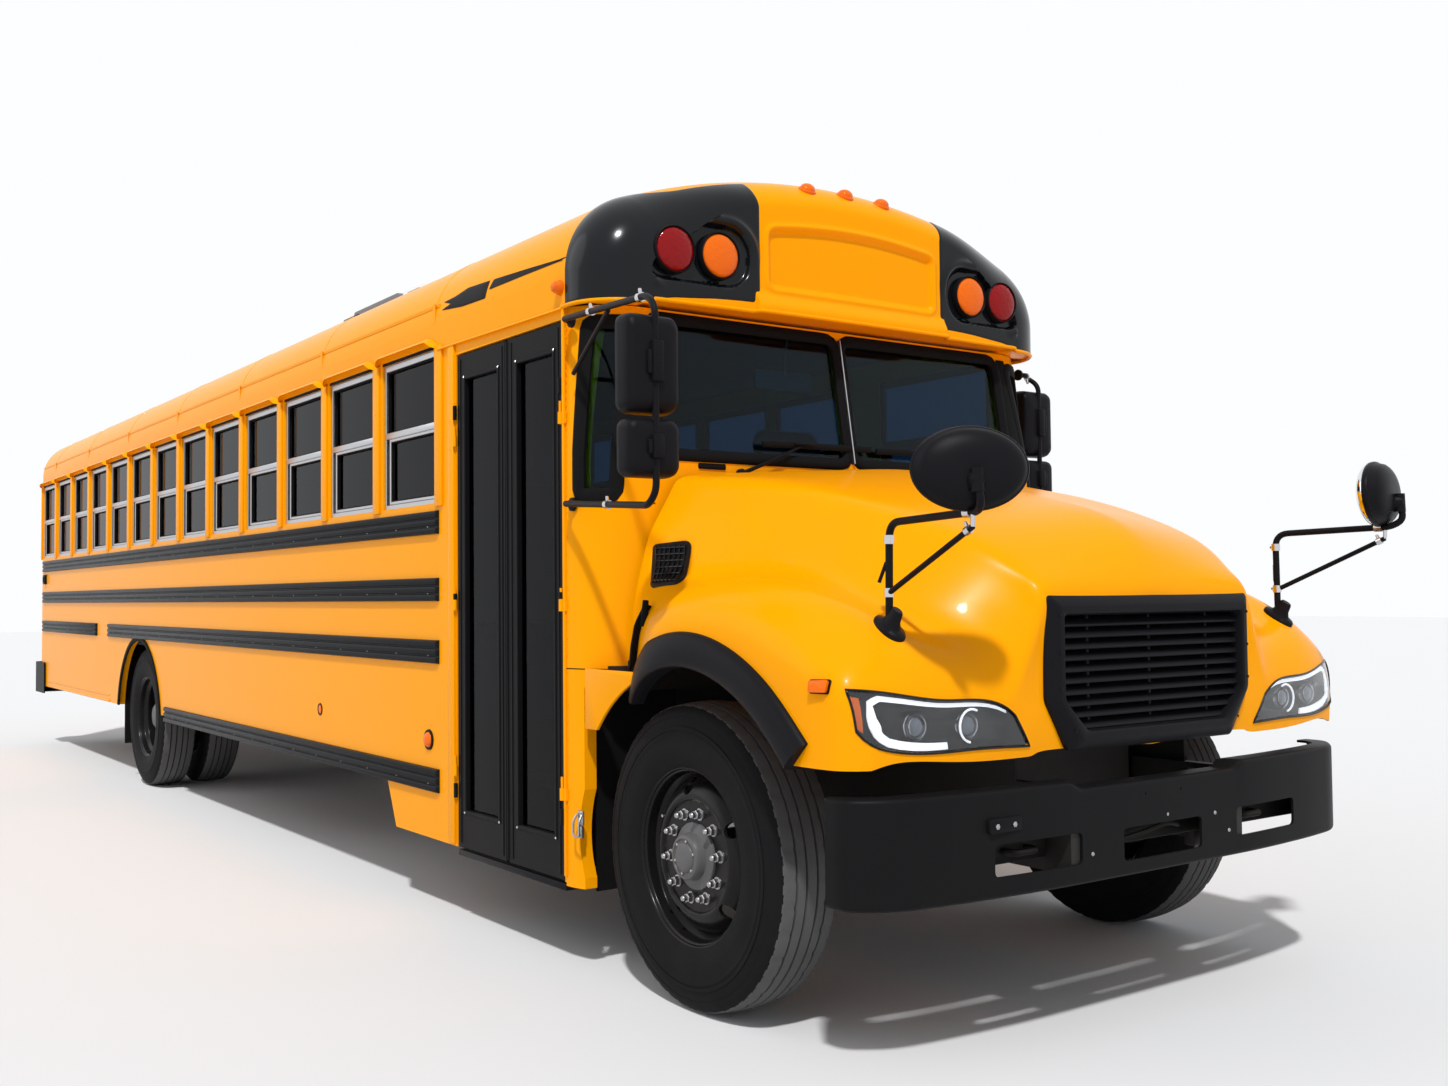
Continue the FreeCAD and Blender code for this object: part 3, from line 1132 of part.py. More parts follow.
def build_stop_arm():
    """Octagonal arm folded back along the left side, on a hinge bracket."""
    y = half_width + 30.0
    side = stop_radius / math.cos(math.pi / 8)
    centre_x = stop_hinge_x - 60.0 - stop_radius
    outline = [(centre_x + side * math.cos(math.pi / 8 + k * math.pi / 4),
                stop_z + side * math.sin(math.pi / 8 + k * math.pi / 4)) for k in range(8)]
    plate = prism_y(outline, y, y + 12.0)
    arm = box(stop_hinge_x - 80.0, stop_hinge_x - 14.0, y, y + 12.0, stop_z - 90.0, stop_z + 90.0)
    knuckle = Part.makeCylinder(14.0, 180.0, V(stop_hinge_x, y + 6.0, stop_z - 90.0), Z_AXIS)
    tab = box(stop_hinge_x - 30.0, stop_hinge_x, y, y + 12.0, stop_z - 90.0, stop_z + 90.0)
    bore = Part.makeCylinder(7.05, 400.0, V(stop_hinge_x, y + 6.0, stop_z - 200.0), Z_AXIS)
    PARTS["stop_arm"] = join([plate, arm, knuckle, tab]).cut(bore)
    base = box(stop_hinge_x - 40.0, stop_hinge_x + 60.0, half_width, y - 10.0, stop_z - 130.0, stop_z + 130.0)
    ears = [box(stop_hinge_x - 14, stop_hinge_x + 40, y - 10.0, y + 20.0, z, z + 30.0)
            for z in (stop_z - 130.0, stop_z + 100.0)]
    pin = Part.makeCylinder(7.0, 240.0, V(stop_hinge_x, y + 6.0, stop_z - 120.0), Z_AXIS)
    PARTS["left_wall"] = join([PARTS["left_wall"], base, pin] + ears)


def build_flaps():
    """Rubber flaps behind the four wheel positions."""
    rear_x = -wheelbase - tyre_radius - 130.0
    flaps = both(box(rear_x, rear_x + 10.0, -half_width + wall + 2, -560.0, 260.0, floor_top - floor_thick))
    front_x = -tyre_radius - 116.0
    flaps += both(box(front_x, front_x - 8.0, -half_width + wall + 40, -760.0, 290.0, floor_top - floor_thick))
    PARTS["mud_flaps"] = apart(flaps)


# ---- assembly -----------------------------------------------------------------------------------
def build_all():
    """Every node, in the order in which pieces rely on each other."""
    build_shell()
    build_rear_door()
    build_side_windows()
    build_rub_rails()
    build_cowl()
    build_cap()
    build_floor()
    build_seats()
    build_dash()
    build_doors()
    build_frame()
    build_drive()
    build_tanks()
    build_bumpers()
    build_front_axle()
    build_knuckles()
    build_rear_axle()
    build_wheels()
    build_hood()
    build_grille()
    build_headlamps()
    build_cross_mirrors()
    build_side_mirrors()
    build_roof_units()
    build_hatch()
    build_lamps()
    build_stop_arm()
    build_flaps()


def write_all():
    """Move every node so that the origin is under the middle of the whole bus, and write the files."""
    whole = Part.makeCompound(list(PARTS.values())).optimalBoundingBox(False, False)
    shift = -(whole.XMin + whole.XMax) / 2
    print("shift along X: %.4f  box: %s" % (shift, whole))
    os.makedirs("parts", exist_ok=True)
    for name, shape in PARTS.items():
        moved = shape.copy()
        moved.translate(V(shift, 0, 0))
        if not moved.isValid() or not moved.Solids:
            print("check", name, len(moved.Solids), moved.isValid())
        moved.exportStep("parts/%s.step" % name)
    print(len(PARTS), "nodes")


build_all()
write_all()
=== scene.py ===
"""The visible pieces of a yellow school bus with a tilting hood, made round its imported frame.

Lengths are metres. Inside this file x is counted from the front axle, forward; y from the middle line,
to the left; z from the ground. Every mesh is moved once, by AXLE, to the frame's own place.
"""

import json
import math

import bmesh
import bpy
import numpy as np
from mathutils import Matrix, Vector
from mathutils.bvhtree import BVHTree


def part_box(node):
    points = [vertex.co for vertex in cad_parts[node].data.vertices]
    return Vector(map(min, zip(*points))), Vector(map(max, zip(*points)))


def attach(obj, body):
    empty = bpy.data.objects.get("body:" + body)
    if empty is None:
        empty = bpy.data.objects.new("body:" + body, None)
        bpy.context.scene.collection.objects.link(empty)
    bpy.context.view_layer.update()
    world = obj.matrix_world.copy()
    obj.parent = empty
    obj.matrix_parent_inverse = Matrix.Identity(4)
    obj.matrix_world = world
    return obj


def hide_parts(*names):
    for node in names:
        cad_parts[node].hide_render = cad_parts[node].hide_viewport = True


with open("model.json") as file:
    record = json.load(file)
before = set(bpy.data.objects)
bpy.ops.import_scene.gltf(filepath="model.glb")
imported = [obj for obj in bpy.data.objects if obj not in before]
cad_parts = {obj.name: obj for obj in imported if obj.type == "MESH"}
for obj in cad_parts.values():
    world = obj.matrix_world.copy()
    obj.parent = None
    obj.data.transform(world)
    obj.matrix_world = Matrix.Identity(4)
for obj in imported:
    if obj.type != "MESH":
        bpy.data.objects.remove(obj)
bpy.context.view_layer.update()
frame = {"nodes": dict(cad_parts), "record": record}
NODES = frame["nodes"]
tyre_low, tyre_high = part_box("front_tyre_right")
AXLE = np.array([(tyre_low.x + tyre_high.x) / 2, 0.0, 0.0])
SIDES = (("right", -1.0), ("left", 1.0))

WHEELBASE = 7.150
HALF_WIDTH = 1.200
BODY_REAR = -11.060
TYRE_RADIUS = 0.509
FRONT_TRACK = 1.020
DUAL_MID, DUAL_HALF = 0.870, 0.160


# ---- curves and grids -----------------------------------------------------------------------------
def unit(vectors):
    """The same directions with length one: a vector, or rows of vectors."""
    v = np.asarray(vectors, float)
    return v / (np.linalg.norm(v, axis=-1, keepdims=True) + 1e-12)


def run_length(line):
    """How far along a line each of its points lies."""
    return np.concatenate([[0], np.cumsum(np.linalg.norm(np.diff(line, axis=0), axis=1))])


def natural_spline(knots, rows, at):
    """Natural cubics through the rows at their knots: in each span the bend runs straight from knot to knot."""
    k, r = np.asarray(knots, float), np.asarray(rows, float)
    n, flat = len(k), np.asarray(rows, float).reshape(len(knots), -1)
    h = np.diff(k)
    system = np.eye(n)
    i = np.arange(1, n - 1)
    system[i, i - 1], system[i, i], system[i, i + 1] = h[:-1], 2 * (h[:-1] + h[1:]), h[1:]
    right = np.zeros_like(flat)
    right[1:-1] = 6 * np.diff(np.diff(flat, axis=0) / h[:, None], axis=0)
    bend = np.linalg.solve(system, right)
    at = np.clip(np.asarray(at, float), k[0], k[-1])
    j = np.clip(np.searchsorted(k, at) - 1, 0, n - 2)
    a, b, w = (k[j + 1] - at)[:, None], (at - k[j])[:, None], h[j][:, None]
    out = (bend[j] * a ** 3 + bend[j + 1] * b ** 3) / (6 * w)
    out += (flat[j] / w - bend[j] * w / 6) * a + (flat[j + 1] / w - bend[j + 1] * w / 6) * b
    return out.reshape((len(at),) + r.shape[1:])


def blend_weights(count, at):
    """Weights of a clamped cubic B-spline's control rows at the places in `at`, each from 0 to 1."""
    knots = np.concatenate([np.zeros(3), np.arange(count - 2), np.full(3, count - 3)]).astype(float)
    t = np.clip(np.asarray(at, float) * (count - 3), 0, count - 3 - 1e-9)[:, None]
    weight = ((knots[:-1] <= t) & (t < knots[1:])).astype(float)
    for degree in (1, 2, 3):
        rise = knots[degree:-1] - knots[:-degree - 1]
        fall = knots[degree + 1:] - knots[1:-degree]
        up = np.divide(t - knots[:-degree - 1], rise, out=np.zeros((len(t), len(rise))), where=rise > 0)
        down = np.divide(knots[degree + 1:] - t, fall, out=np.zeros((len(t), len(fall))), where=fall > 0)
        weight = up * weight[:, :-1] + down * weight[:, 1:]
    return weight


def even_steps(count):
    """Numbers from 0 to 1, evenly spaced."""
    return np.linspace(0.0, 1.0, count)


def smooth_line(points, count):
    """Cubic B-spline near the points, as `count` places along it."""
    p = np.asarray(points, float)
    return blend_weights(len(p), even_steps(count)) @ p


def corner_arc(before, corner, after, radius, steps, even):
    """The quadratic between two places, `radius` away from the corner but less than half of each side.

    With even, both places are as far away as the nearer one.
    """
    sides = [before - corner, after - corner]
    cuts = [min(radius, np.linalg.norm(side) * 0.49) for side in sides]
    if even:
        cuts = [min(cuts)] * 2
    a, b = (corner + side / np.linalg.norm(side) * cut for side, cut in zip(sides, cuts))
    t = even_steps(steps)[:, None]
    return (1 - t) ** 2 * a + 2 * t * (1 - t) * corner + t ** 2 * b


def bent_line(points, radius, steps=6):
    """Straight runs with a corner arc at each inner point."""
    p = np.asarray(points, float)
    arcs = [corner_arc(*three, radius, steps, True) for three in zip(p, p[1:], p[2:])]
    return np.concatenate([p[:1], *arcs, p[-1:]])


def round_rect(half_wide, half_high, radius, steps=5):
    """Closed outline of a rectangle with quarter-circle corners, anticlockwise."""
    turn = np.linspace(0, math.pi / 2, steps)
    out = []
    for k, (sx, sy) in enumerate(((1, 1), (-1, 1), (-1, -1), (1, -1))):
        angle = turn + k * math.pi / 2
        out.append(np.stack([sx * (half_wide - radius) + radius * np.cos(angle),
                             sy * (half_high - radius) + radius * np.sin(angle)], 1))
    return np.concatenate(out)


def round_corners(outline, radius, steps=5):
    """Closed outline with each corner replaced by a quadratic arc."""
    p = np.asarray(outline, float)
    corners = zip(np.roll(p, 1, 0), p, np.roll(p, -1, 0))
    return np.concatenate([corner_arc(*three, radius, steps, False) for three in corners])


def resample(line, count, closed=False):
    """The same line with its points evenly spaced along it."""
    p = np.asarray(line, float)
    if closed:
        p = np.concatenate([p, p[:1]])
    run = run_length(p)
    at = np.linspace(0, run[-1], count, endpoint=not closed)
    return np.stack([np.interp(at, run, p[:, i]) for i in range(p.shape[1])], 1)


# ---- surfaces, as (vertices, faces) ----------------------------------------------------------------
def grid(points, close_rows=False, close_columns=False):
    """Quads over a rows x columns array of points, joined up where a direction closes on itself."""
    rows, columns = points.shape[:2]
    ids = np.arange(rows * columns).reshape(rows, columns)
    if close_rows:
        ids = np.concatenate([ids, ids[:1]])
    if close_columns:
        ids = np.concatenate([ids, ids[:, :1]], 1)
    quads = np.stack([ids[:-1, :-1], ids[1:, :-1], ids[1:, 1:], ids[:-1, 1:]], -1).reshape(-1, 4)
    return points.reshape(-1, 3), quads.tolist()


def lidded(points):
    """A closed tube of rings with a flat face over its first and its last ring."""
    verts, faces = grid(points, close_columns=True)
    rows, columns = points.shape[:2]
    first = list(range(columns))
    last = [(rows - 1) * columns + i for i in range(columns)]
    return verts, faces + [first[::-1], last]


def merged(shapes):
    """Several surfaces as one list of vertices and faces."""
    verts, faces, base = [], [], 0
    for v, f in shapes:
        verts.append(v)
        faces += [[base + i for i in face] for face in f]
        base += len(v)
    return np.concatenate(verts), faces


def mirrored(shape):
    """The same surface on the other side of the bus."""
    return shape[0] * (1, -1, 1), [face[::-1] for face in shape[1]]


def both(shape):
    """A surface and the same one on the other side of the bus."""
    return [shape, mirrored(shape)]


def lift(outline, axis, at):
    """A flat outline placed square to an axis: (y, z) for x, (x, z) for y, (x, y) for z."""
    o = np.asarray(outline, float)
    fixed = np.full(len(o), float(at))
    order = {"x": (fixed, o[:, 0], o[:, 1]), "y": (o[:, 0], fixed, o[:, 1]), "z": (o[:, 0], o[:, 1], fixed)}
    return np.stack(order[axis], 1)


def edge_normals(outline):
    """Outward normals of a closed outline, square to the line between each point's neighbours."""
    o = np.asarray(outline, float)
    along = np.roll(o, -1, 0) - np.roll(o, 1, 0)
    area = np.sum(o[:, 0] * np.roll(o[:, 1], -1) - np.roll(o[:, 0], -1) * o[:, 1])
    return unit(np.stack([along[:, 1], -along[:, 0]], 1)) * (1 if area > 0 else -1)


def slab(outline, axis, start, end, edge=0.0, steps=3):
    """Outline carried from start to end. edge rounds both rims: each ring draws in as a quarter circle."""
    o = np.asarray(outline, float)
    if not edge:
        return lidded(np.stack([lift(o, axis, start), lift(o, axis, end)]))
    normal, sign = edge_normals(o), 1 if end > start else -1
    turn = np.linspace(0, math.pi / 2, steps)
    places = [(t, start, sign) for t in turn] + [(t, end, -sign) for t in turn[::-1]]
    return lidded(np.stack([lift(o - normal * edge * (1 - math.sin(t)), axis, at + way * edge * (1 - math.cos(t)))
                            for t, at, way in places]))


def block(x0, x1, y0, y1, z0, z1, edge=0.004):
    """A box with rounded edges."""
    long, wide, high = abs(x1 - x0), abs(y1 - y0), abs(z1 - z0)
    outline = round_rect(long / 2, wide / 2, min(edge, long / 2.2, wide / 2.2), 3) + ((x0 + x1) / 2, (y0 + y1) / 2)
    return slab(outline, "z", min(z0, z1), max(z0, z1), min(edge, high / 2.2))


def sweep(profile, line, up=(0, 0, 1), closed=False):
    """Profile (across, upright) carried along a line, lidded at both ends unless the line is closed."""
    p = np.asarray(line, float)
    along = unit(np.roll(p, -1, 0) - np.roll(p, 1, 0) if closed else np.gradient(p, axis=0))
    across = unit(np.cross(np.broadcast_to(np.asarray(up, float), p.shape), along))
    rise = np.cross(along, across)
    f = np.asarray(profile, float)
    rings = p[:, None] + across[:, None] * f[None, :, :1] + rise[:, None] * f[None, :, 1:]
    return grid(rings, close_rows=True, close_columns=True) if closed else lidded(rings)


def circle(radius, count=12, start=0.0):
    """Points evenly spaced round the origin."""
    turn = np.arange(count) * 2 * math.pi / count + start
    return np.stack([radius * np.cos(turn), radius * np.sin(turn)], 1)


def square_to(axis):
    """A unit direction square to an axis."""
    return unit(np.cross(axis, (0, 0, 1.0) if abs(axis[2]) < 0.9 else (1.0, 0, 0)))


def spokes(axis, count):
    """The unit axis, and unit directions square to it, evenly spaced round it."""
    axis = unit(axis)
    side, c = square_to(axis), circle(1.0, count)
    return axis, c[:, :1] * side + c[:, 1:] * np.cross(axis, side)


def pipe(line, radius, count=12):
    """Round tube along a line; its rings turn with the line and never twist."""
    p = np.asarray(line, float)
    along = unit(np.gradient(p, axis=0))
    sides = [square_to(along[0])]
    for way in along[1:]:
        sides.append(unit(sides[-1] - way * np.dot(sides[-1], way)))
    side, rise = np.array(sides), np.cross(along, sides)
    radius, c = np.broadcast_to(radius, len(p))[:, None, None], circle(1.0, count)
    return lidded(p[:, None] + radius * (side[:, None] * c[None, :, :1] + rise[:, None] * c[None, :, 1:]))


def turned(section, centre, axis, count=48):
    """Closed section (distance along the axis, radius) turned round the axis."""
    s = np.asarray(section, float)
    axis, ring = spokes(axis, count)
    points = np.asarray(centre, float) + s[None, :, :1] * axis + s[None, :, 1:] * ring[:, None]
    return grid(points, close_rows=True, close_columns=True)


def knob(centre, axis, section, count=16):
    """Solid of revolution: the section runs from the axis (radius 0) and back to it."""
    s, centre = np.asarray(section, float), np.asarray(centre, float)
    axis, ring = spokes(axis, count)
    verts, faces = grid(centre + s[1:-1, None, :1] * axis + s[1:-1, None, 1:] * ring[None], close_columns=True)
    n = len(verts)
    last = n - count
    faces += [[n, (i + 1) % count, i] for i in range(count)]
    faces += [[n + 1, last + i, last + (i + 1) % count] for i in range(count)]
    return np.concatenate([verts, centre + s[[0, -1], :1] * axis]), faces


RIVET = 0.0042, 0.0022  # radius and height of a body rivet's head


def round_head(centre, axis, radius, height, count=8):
    """Rivet or bolt head: a low dome."""
    section = (0, 0), (0, radius), (height * 0.6, radius * 0.82), (height, radius * 0.3), (height, 0)
    return knob(centre, axis, section, count)


# ---- pieces -----------------------------------------------------------------------------------------
def mend(mesh, join=0.0, outward=True):
    """Joins vertices closer than `join` and turns the faces outward."""
    work = bmesh.new()
    work.from_mesh(mesh)
    if join:
        bmesh.ops.remove_doubles(work, verts=work.verts, dist=join)
    if outward:
        bmesh.ops.recalc_face_normals(work, faces=work.faces)
    work.to_mesh(mesh)
    work.free()


def placed(name, data):
    """A new object in the scene."""
    made = bpy.data.objects.new(name, data)
    bpy.context.scene.collection.objects.link(made)
    return made


def piece(name, shapes, body, slot, *materials, replaces=(), sharp=35.0, closed=True, parts=None):
    """One object out of surfaces, on its body; slot is not used; parts gives each surface's material number."""
    verts, faces = merged(shapes)
    mesh = bpy.data.meshes.new(name)
    mesh.from_pydata((verts + AXLE).tolist(), [], faces)
    for material in materials:
        mesh.materials.append(material)
    if parts is not None:
        index = np.concatenate([np.full(len(f), m) for (_, f), m in zip(shapes, parts)])
        mesh.polygons.foreach_set("material_index", index.astype(np.int32))
    mend(mesh, 1e-5, closed)
    mesh.shade_smooth()
    mesh.set_sharp_from_angle(angle=math.radians(sharp))
    made = placed(name, mesh)
    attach(made, body)
    if replaces:
        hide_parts(*replaces)
    return made


def once(node_name, hand):
    """The node that a pair of pieces replaces, named by the right one alone."""
    return (node_name,) if hand < 0 else ()


# ---- finishes ----------------------------------------------------------------------------------------
def socketed(name, inputs, outputs):
    """An empty node group with the given sockets: (name, kind, value)."""
    tree = bpy.data.node_groups.new(name, "ShaderNodeTree")
    for label, kind, value in inputs:
        made = tree.interface.new_socket(label, in_out="INPUT", socket_type="NodeSocket" + kind)
        made.default_value = value
    for label, kind in outputs:
        tree.interface.new_socket(label, in_out="OUTPUT", socket_type="NodeSocket" + kind)
    return tree, tree.nodes.new("NodeGroupInput"), tree.nodes.new("NodeGroupOutput")


def node(tree, kind, **settings):
    """A new shader node with its sockets or properties set by name."""
    made = tree.nodes.new("ShaderNode" + kind)
    for key, value in settings.items():
        if key in made.inputs:
            made.inputs[key].default_value = value
        else:
            setattr(made, key, value)
    return made


def math_node(tree, operation, a, b=None, clamp=False):
    """One operation on two values or sockets; gives its output."""
    made = tree.nodes.new("ShaderNodeMath")
    made.operation, made.use_clamp = operation, clamp
    for socket, value in zip(made.inputs, (a, b)):
        if hasattr(value, "links"):
            tree.links.new(value, socket)
        elif value is not None:
            socket.default_value = value
    return made.outputs[0]


def build_uneven():
    """Colour that drifts a little over a surface, with a darker film low down and in blotches."""
    tree, into, out = socketed("Uneven", [("Color", "Color", (1, 1, 1, 1)), ("Film", "Color", (0.2, 0.15, 0.1, 1)),
                                          ("Drift", "Float", 0.05), ("Film Share", "Float", 0.1),
                                          ("Size", "Float", 3.0)],
                               [("Color", "Color"), ("Mask", "Float")])
    place = node(tree, "TexCoord")
    broad = node(tree, "TexNoise", Scale=0.6, Detail=3.0)
    fine = node(tree, "TexNoise", Detail=6.0)
    tree.links.new(place.outputs["Object"], broad.inputs["Vector"])
    tree.links.new(place.outputs["Object"], fine.inputs["Vector"])
    tree.links.new(into.outputs["Size"], fine.inputs["Scale"])
    split = node(tree, "SeparateXYZ")
    tree.links.new(place.outputs["Object"], split.inputs[0])
    low = node(tree, "MapRange")
    low.inputs["From Min"].default_value, low.inputs["From Max"].default_value = 0.3, 1.3
    low.inputs["To Min"].default_value, low.inputs["To Max"].default_value = 1.0, 0.25
    tree.links.new(split.outputs["Z"], low.inputs["Value"])
    both_noise = math_node(tree, "MULTIPLY", fine.outputs["Fac"], low.outputs["Result"])
    mask = math_node(tree, "MULTIPLY", both_noise, into.outputs["Film Share"], True)
    shift = math_node(tree, "MULTIPLY", math_node(tree, "SUBTRACT", broad.outputs["Fac"], 0.5), into.outputs["Drift"])
    bright = math_node(tree, "ADD", shift, 1.0)
    tinted = node(tree, "HueSaturation")
    tree.links.new(into.outputs["Color"], tinted.inputs["Color"])
    tree.links.new(bright, tinted.inputs["Value"])
    mix = node(tree, "MixRGB")
    tree.links.new(mask, mix.inputs[0])
    tree.links.new(tinted.outputs[0], mix.inputs[1])
    tree.links.new(into.outputs["Film"], mix.inputs[2])
    tree.links.new(mix.outputs[0], out.inputs["Color"])
    tree.links.new(mask, out.inputs["Mask"])
    return tree


def build_grain():
    """Fine surface relief: noise of the given size, as a normal, and the same noise as a value."""
    tree, into, out = socketed("Grain", [("Size", "Float", 60.0), ("Depth", "Float", 0.1), ("Detail", "Float", 2.0)],
                               [("Normal", "Vector"), ("Value", "Float")])
    place = node(tree, "TexCoord")
    noise = node(tree, "TexNoise")
    bump = node(tree, "Bump", Distance=0.002)
    tree.links.new(place.outputs["Object"], noise.inputs["Vector"])
    tree.links.new(into.outputs["Size"], noise.inputs["Scale"])
    tree.links.new(into.outputs["Detail"], noise.inputs["Detail"])
    tree.links.new(noise.outputs["Fac"], bump.inputs["Height"])
    tree.links.new(into.outputs["Depth"], bump.inputs["Strength"])
    tree.links.new(bump.outputs[0], out.inputs["Normal"])
    tree.links.new(noise.outputs["Fac"], out.inputs["Value"])
    return tree


UNEVEN, GRAIN = build_uneven(), build_grain()


def shaded(name, shader):
    """A new material with its Principled shader's sockets set by name."""
    made = bpy.data.materials.new(name)
    made.use_nodes = True
    bsdf = made.node_tree.nodes["Principled BSDF"]
    for key, value in shader.items():
        bsdf.inputs[key.replace("_", " ")].default_value = value
    return made, made.node_tree, bsdf


def grouped(tree, group, **values):
    """A node group in a material's tree, with its sockets set by name."""
    made = tree.nodes.new("ShaderNodeGroup")
    made.node_tree = group
    for key, value in values.items():
        made.inputs[key.replace("_", " ")].default_value = value
    return made


def coat(name, color, rough=0.4, metal=0.0, drift=0.06, film=0.12, film_color=(0.10, 0.08, 0.06), film_size=3.0,
         grain=60.0, depth=0.08, detail=2.0, rough_spread=0.08, **shader):
    """A finish: Principled shader over an uneven colour, with grain and a roughness that varies with it."""
    made, tree, bsdf = shaded(name, dict(shader, Metallic=metal))
    uneven = grouped(tree, UNEVEN, Color=(*color, 1), Film=(*film_color, 1), Drift=drift, Film_Share=film,
            Size=film_size)
    relief = grouped(tree, GRAIN, Size=grain, Depth=depth, Detail=detail)
    tree.links.new(uneven.outputs["Color"], bsdf.inputs["Base Color"])
    tree.links.new(relief.outputs["Normal"], bsdf.inputs["Normal"])
    spread = node(tree, "MapRange")
    spread.inputs["To Min"].default_value = max(0.0, rough - rough_spread)
    spread.inputs["To Max"].default_value = min(1.0, rough + rough_spread)
    tree.links.new(relief.outputs["Value"], spread.inputs["Value"])
    tree.links.new(spread.outputs["Result"], bsdf.inputs["Roughness"])
    return made


YELLOW = coat("bus yellow", (1.0, 0.37, 0.0), 0.24, grain=7.0, depth=0.05, film=0.03, rough_spread=0.03,
              Specular_IOR_Level=0.045, Coat_Weight=0.022, Coat_Roughness=0.05)
BLACK_GLOSS = coat("black gloss", (0.004, 0.005, 0.007), 0.16, grain=9.0, depth=0.05, film=0.04, rough_spread=0.03,
                   Specular_IOR_Level=0.2, Coat_Weight=0.06, Coat_Roughness=0.05)
BLACK_SATIN = coat("black satin", (0.007, 0.007, 0.008), 0.42, grain=220.0, depth=0.12, film=0.15,
        film_color=(0.04, 0.037, 0.033),
                   Specular_IOR_Level=0.05)
BLACK_MOULDED = coat("black moulded", (0.008, 0.008, 0.010), 0.36, grain=500.0, depth=0.25, film=0.08,
        film_color=(0.04, 0.037, 0.033),
                      Specular_IOR_Level=0.06)
RAIL_BLACK = coat("rail black", (0.010, 0.011, 0.013), 0.36, grain=40.0, depth=0.10, film=0.12,
        film_color=(0.03, 0.025, 0.02), Specular_IOR_Level=0.06)
GASKET = coat("gasket", (0.008, 0.008, 0.009), 0.6, grain=300.0, depth=0.2, film=0.05, Specular_IOR_Level=0.03)
TYRE = coat("tyre rubber", (0.007, 0.007, 0.008), 0.62, grain=160.0, depth=0.25, film=0.3,
        film_color=(0.028, 0.026, 0.025), film_size=9.0, rough_spread=0.15,
            Specular_IOR_Level=0.05)
WHEEL = coat("wheel black", (0.004, 0.004, 0.005), 0.26, grain=14.0, depth=0.06, film=0.12,
        film_color=(0.07, 0.06, 0.05), Specular_IOR_Level=0.14, Coat_Weight=0.03, Coat_Roughness=0.12)
STEEL = coat("plain steel", (0.42, 0.42, 0.43), 0.34, metal=1.0, grain=260.0, depth=0.15, film=0.3,
        film_color=(0.10, 0.07, 0.05))
CHROME = coat("bright steel", (0.62, 0.62, 0.64), 0.16, metal=1.0, grain=90.0, depth=0.05, film=0.12)
ALUMINIUM = coat("window aluminium", (0.52, 0.53, 0.55), 0.34, metal=1.0, grain=120.0, depth=0.12, film=0.2)
CHASSIS = coat("chassis black", (0.012, 0.012, 0.012), 0.5, grain=60.0, depth=0.2, film=0.5,
        film_color=(0.06, 0.05, 0.04), Specular_IOR_Level=0.2)
CAST = coat("cast iron", (0.035, 0.035, 0.036), 0.6, grain=180.0, depth=0.5, film=0.5, film_color=(0.08, 0.06, 0.04),
        Specular_IOR_Level=0.2)
FLOOR_RUBBER = coat("floor rubber", (0.03, 0.03, 0.032), 0.7, grain=200.0, depth=0.3, film=0.4, Specular_IOR_Level=0.2)
VINYL = coat("seat vinyl", (0.012, 0.022, 0.045), 0.42, grain=420.0, depth=0.5, detail=6.0, film=0.08)
DASH = coat("dash plastic", (0.02, 0.02, 0.022), 0.5, grain=520.0, depth=0.4, film=0.1)
WHITE = coat("roof unit white", (0.80, 0.80, 0.79), 0.32, grain=40.0, depth=0.1, film=0.25,
        film_color=(0.45, 0.42, 0.36))
GREY_SLOT = coat("slot grey", (0.16, 0.16, 0.17), 0.6, grain=80.0, depth=0.2)
RED_SIGN = coat("sign red", (0.55, 0.012, 0.015), 0.35, grain=90.0, depth=0.1, film=0.1)
WHITE_SIGN = coat("sign white", (0.80, 0.80, 0.80), 0.35, grain=90.0, depth=0.1, film=0.1)
MIRROR = coat("mirror glass", (0.75, 0.77, 0.79), 0.03, metal=1.0, grain=4.0, depth=0.02, film=0.03, rough_spread=0.01)
HEADLINER = coat("headliner", (0.20, 0.21, 0.22), 0.6, grain=90.0, depth=0.2, film=0.05)


def lens(name, color, rough=0.12, depth=0.5, size=60.0, **shader):
    """Moulded lens: clear plastic of one colour with a pattern of small facets."""
    made = coat(name, color, rough, grain=size, depth=depth, film=0.03, drift=0.25, rough_spread=0.04, **shader)
    tree = made.node_tree
    cells = node(tree, "TexVoronoi", Scale=size)
    place = node(tree, "TexCoord")
    bump = node(tree, "Bump", Strength=depth, Distance=0.004)
    tree.links.new(place.outputs["Object"], cells.inputs["Vector"])
    tree.links.new(cells.outputs["Distance"], bump.inputs["Height"])
    tree.links.new(bump.outputs[0], tree.nodes["Principled BSDF"].inputs["Normal"])
    return made


HUB_GREY = coat("hub grey", (0.10, 0.10, 0.105), 0.45, grain=60.0, depth=0.15, film=0.25,
        film_color=(0.12, 0.10, 0.08), Specular_IOR_Level=0.3)
# tread colour: grey dust, made lighter still as painted light for the sunlit tread
TREAD_DUST_AND_LIGHT = coat("tread dust and painted light", (0.095, 0.094, 0.095), 0.8, grain=160.0, depth=0.3, film=0.5,
        film_color=(0.13, 0.125, 0.12), film_size=9.0, Specular_IOR_Level=0.05)
RED_LENS = lens("red lens", (0.26, 0.002, 0.004), Coat_Weight=0.14, Coat_Roughness=0.04, Specular_IOR_Level=0.12)
AMBER_LENS = lens("amber lens", (0.86, 0.15, 0.0), Coat_Weight=0.14, Coat_Roughness=0.04, Specular_IOR_Level=0.12)
CLEAR_LENS = lens("clear lens", (0.62, 0.64, 0.68), 0.10, 0.3, 90.0, Coat_Weight=0.6)


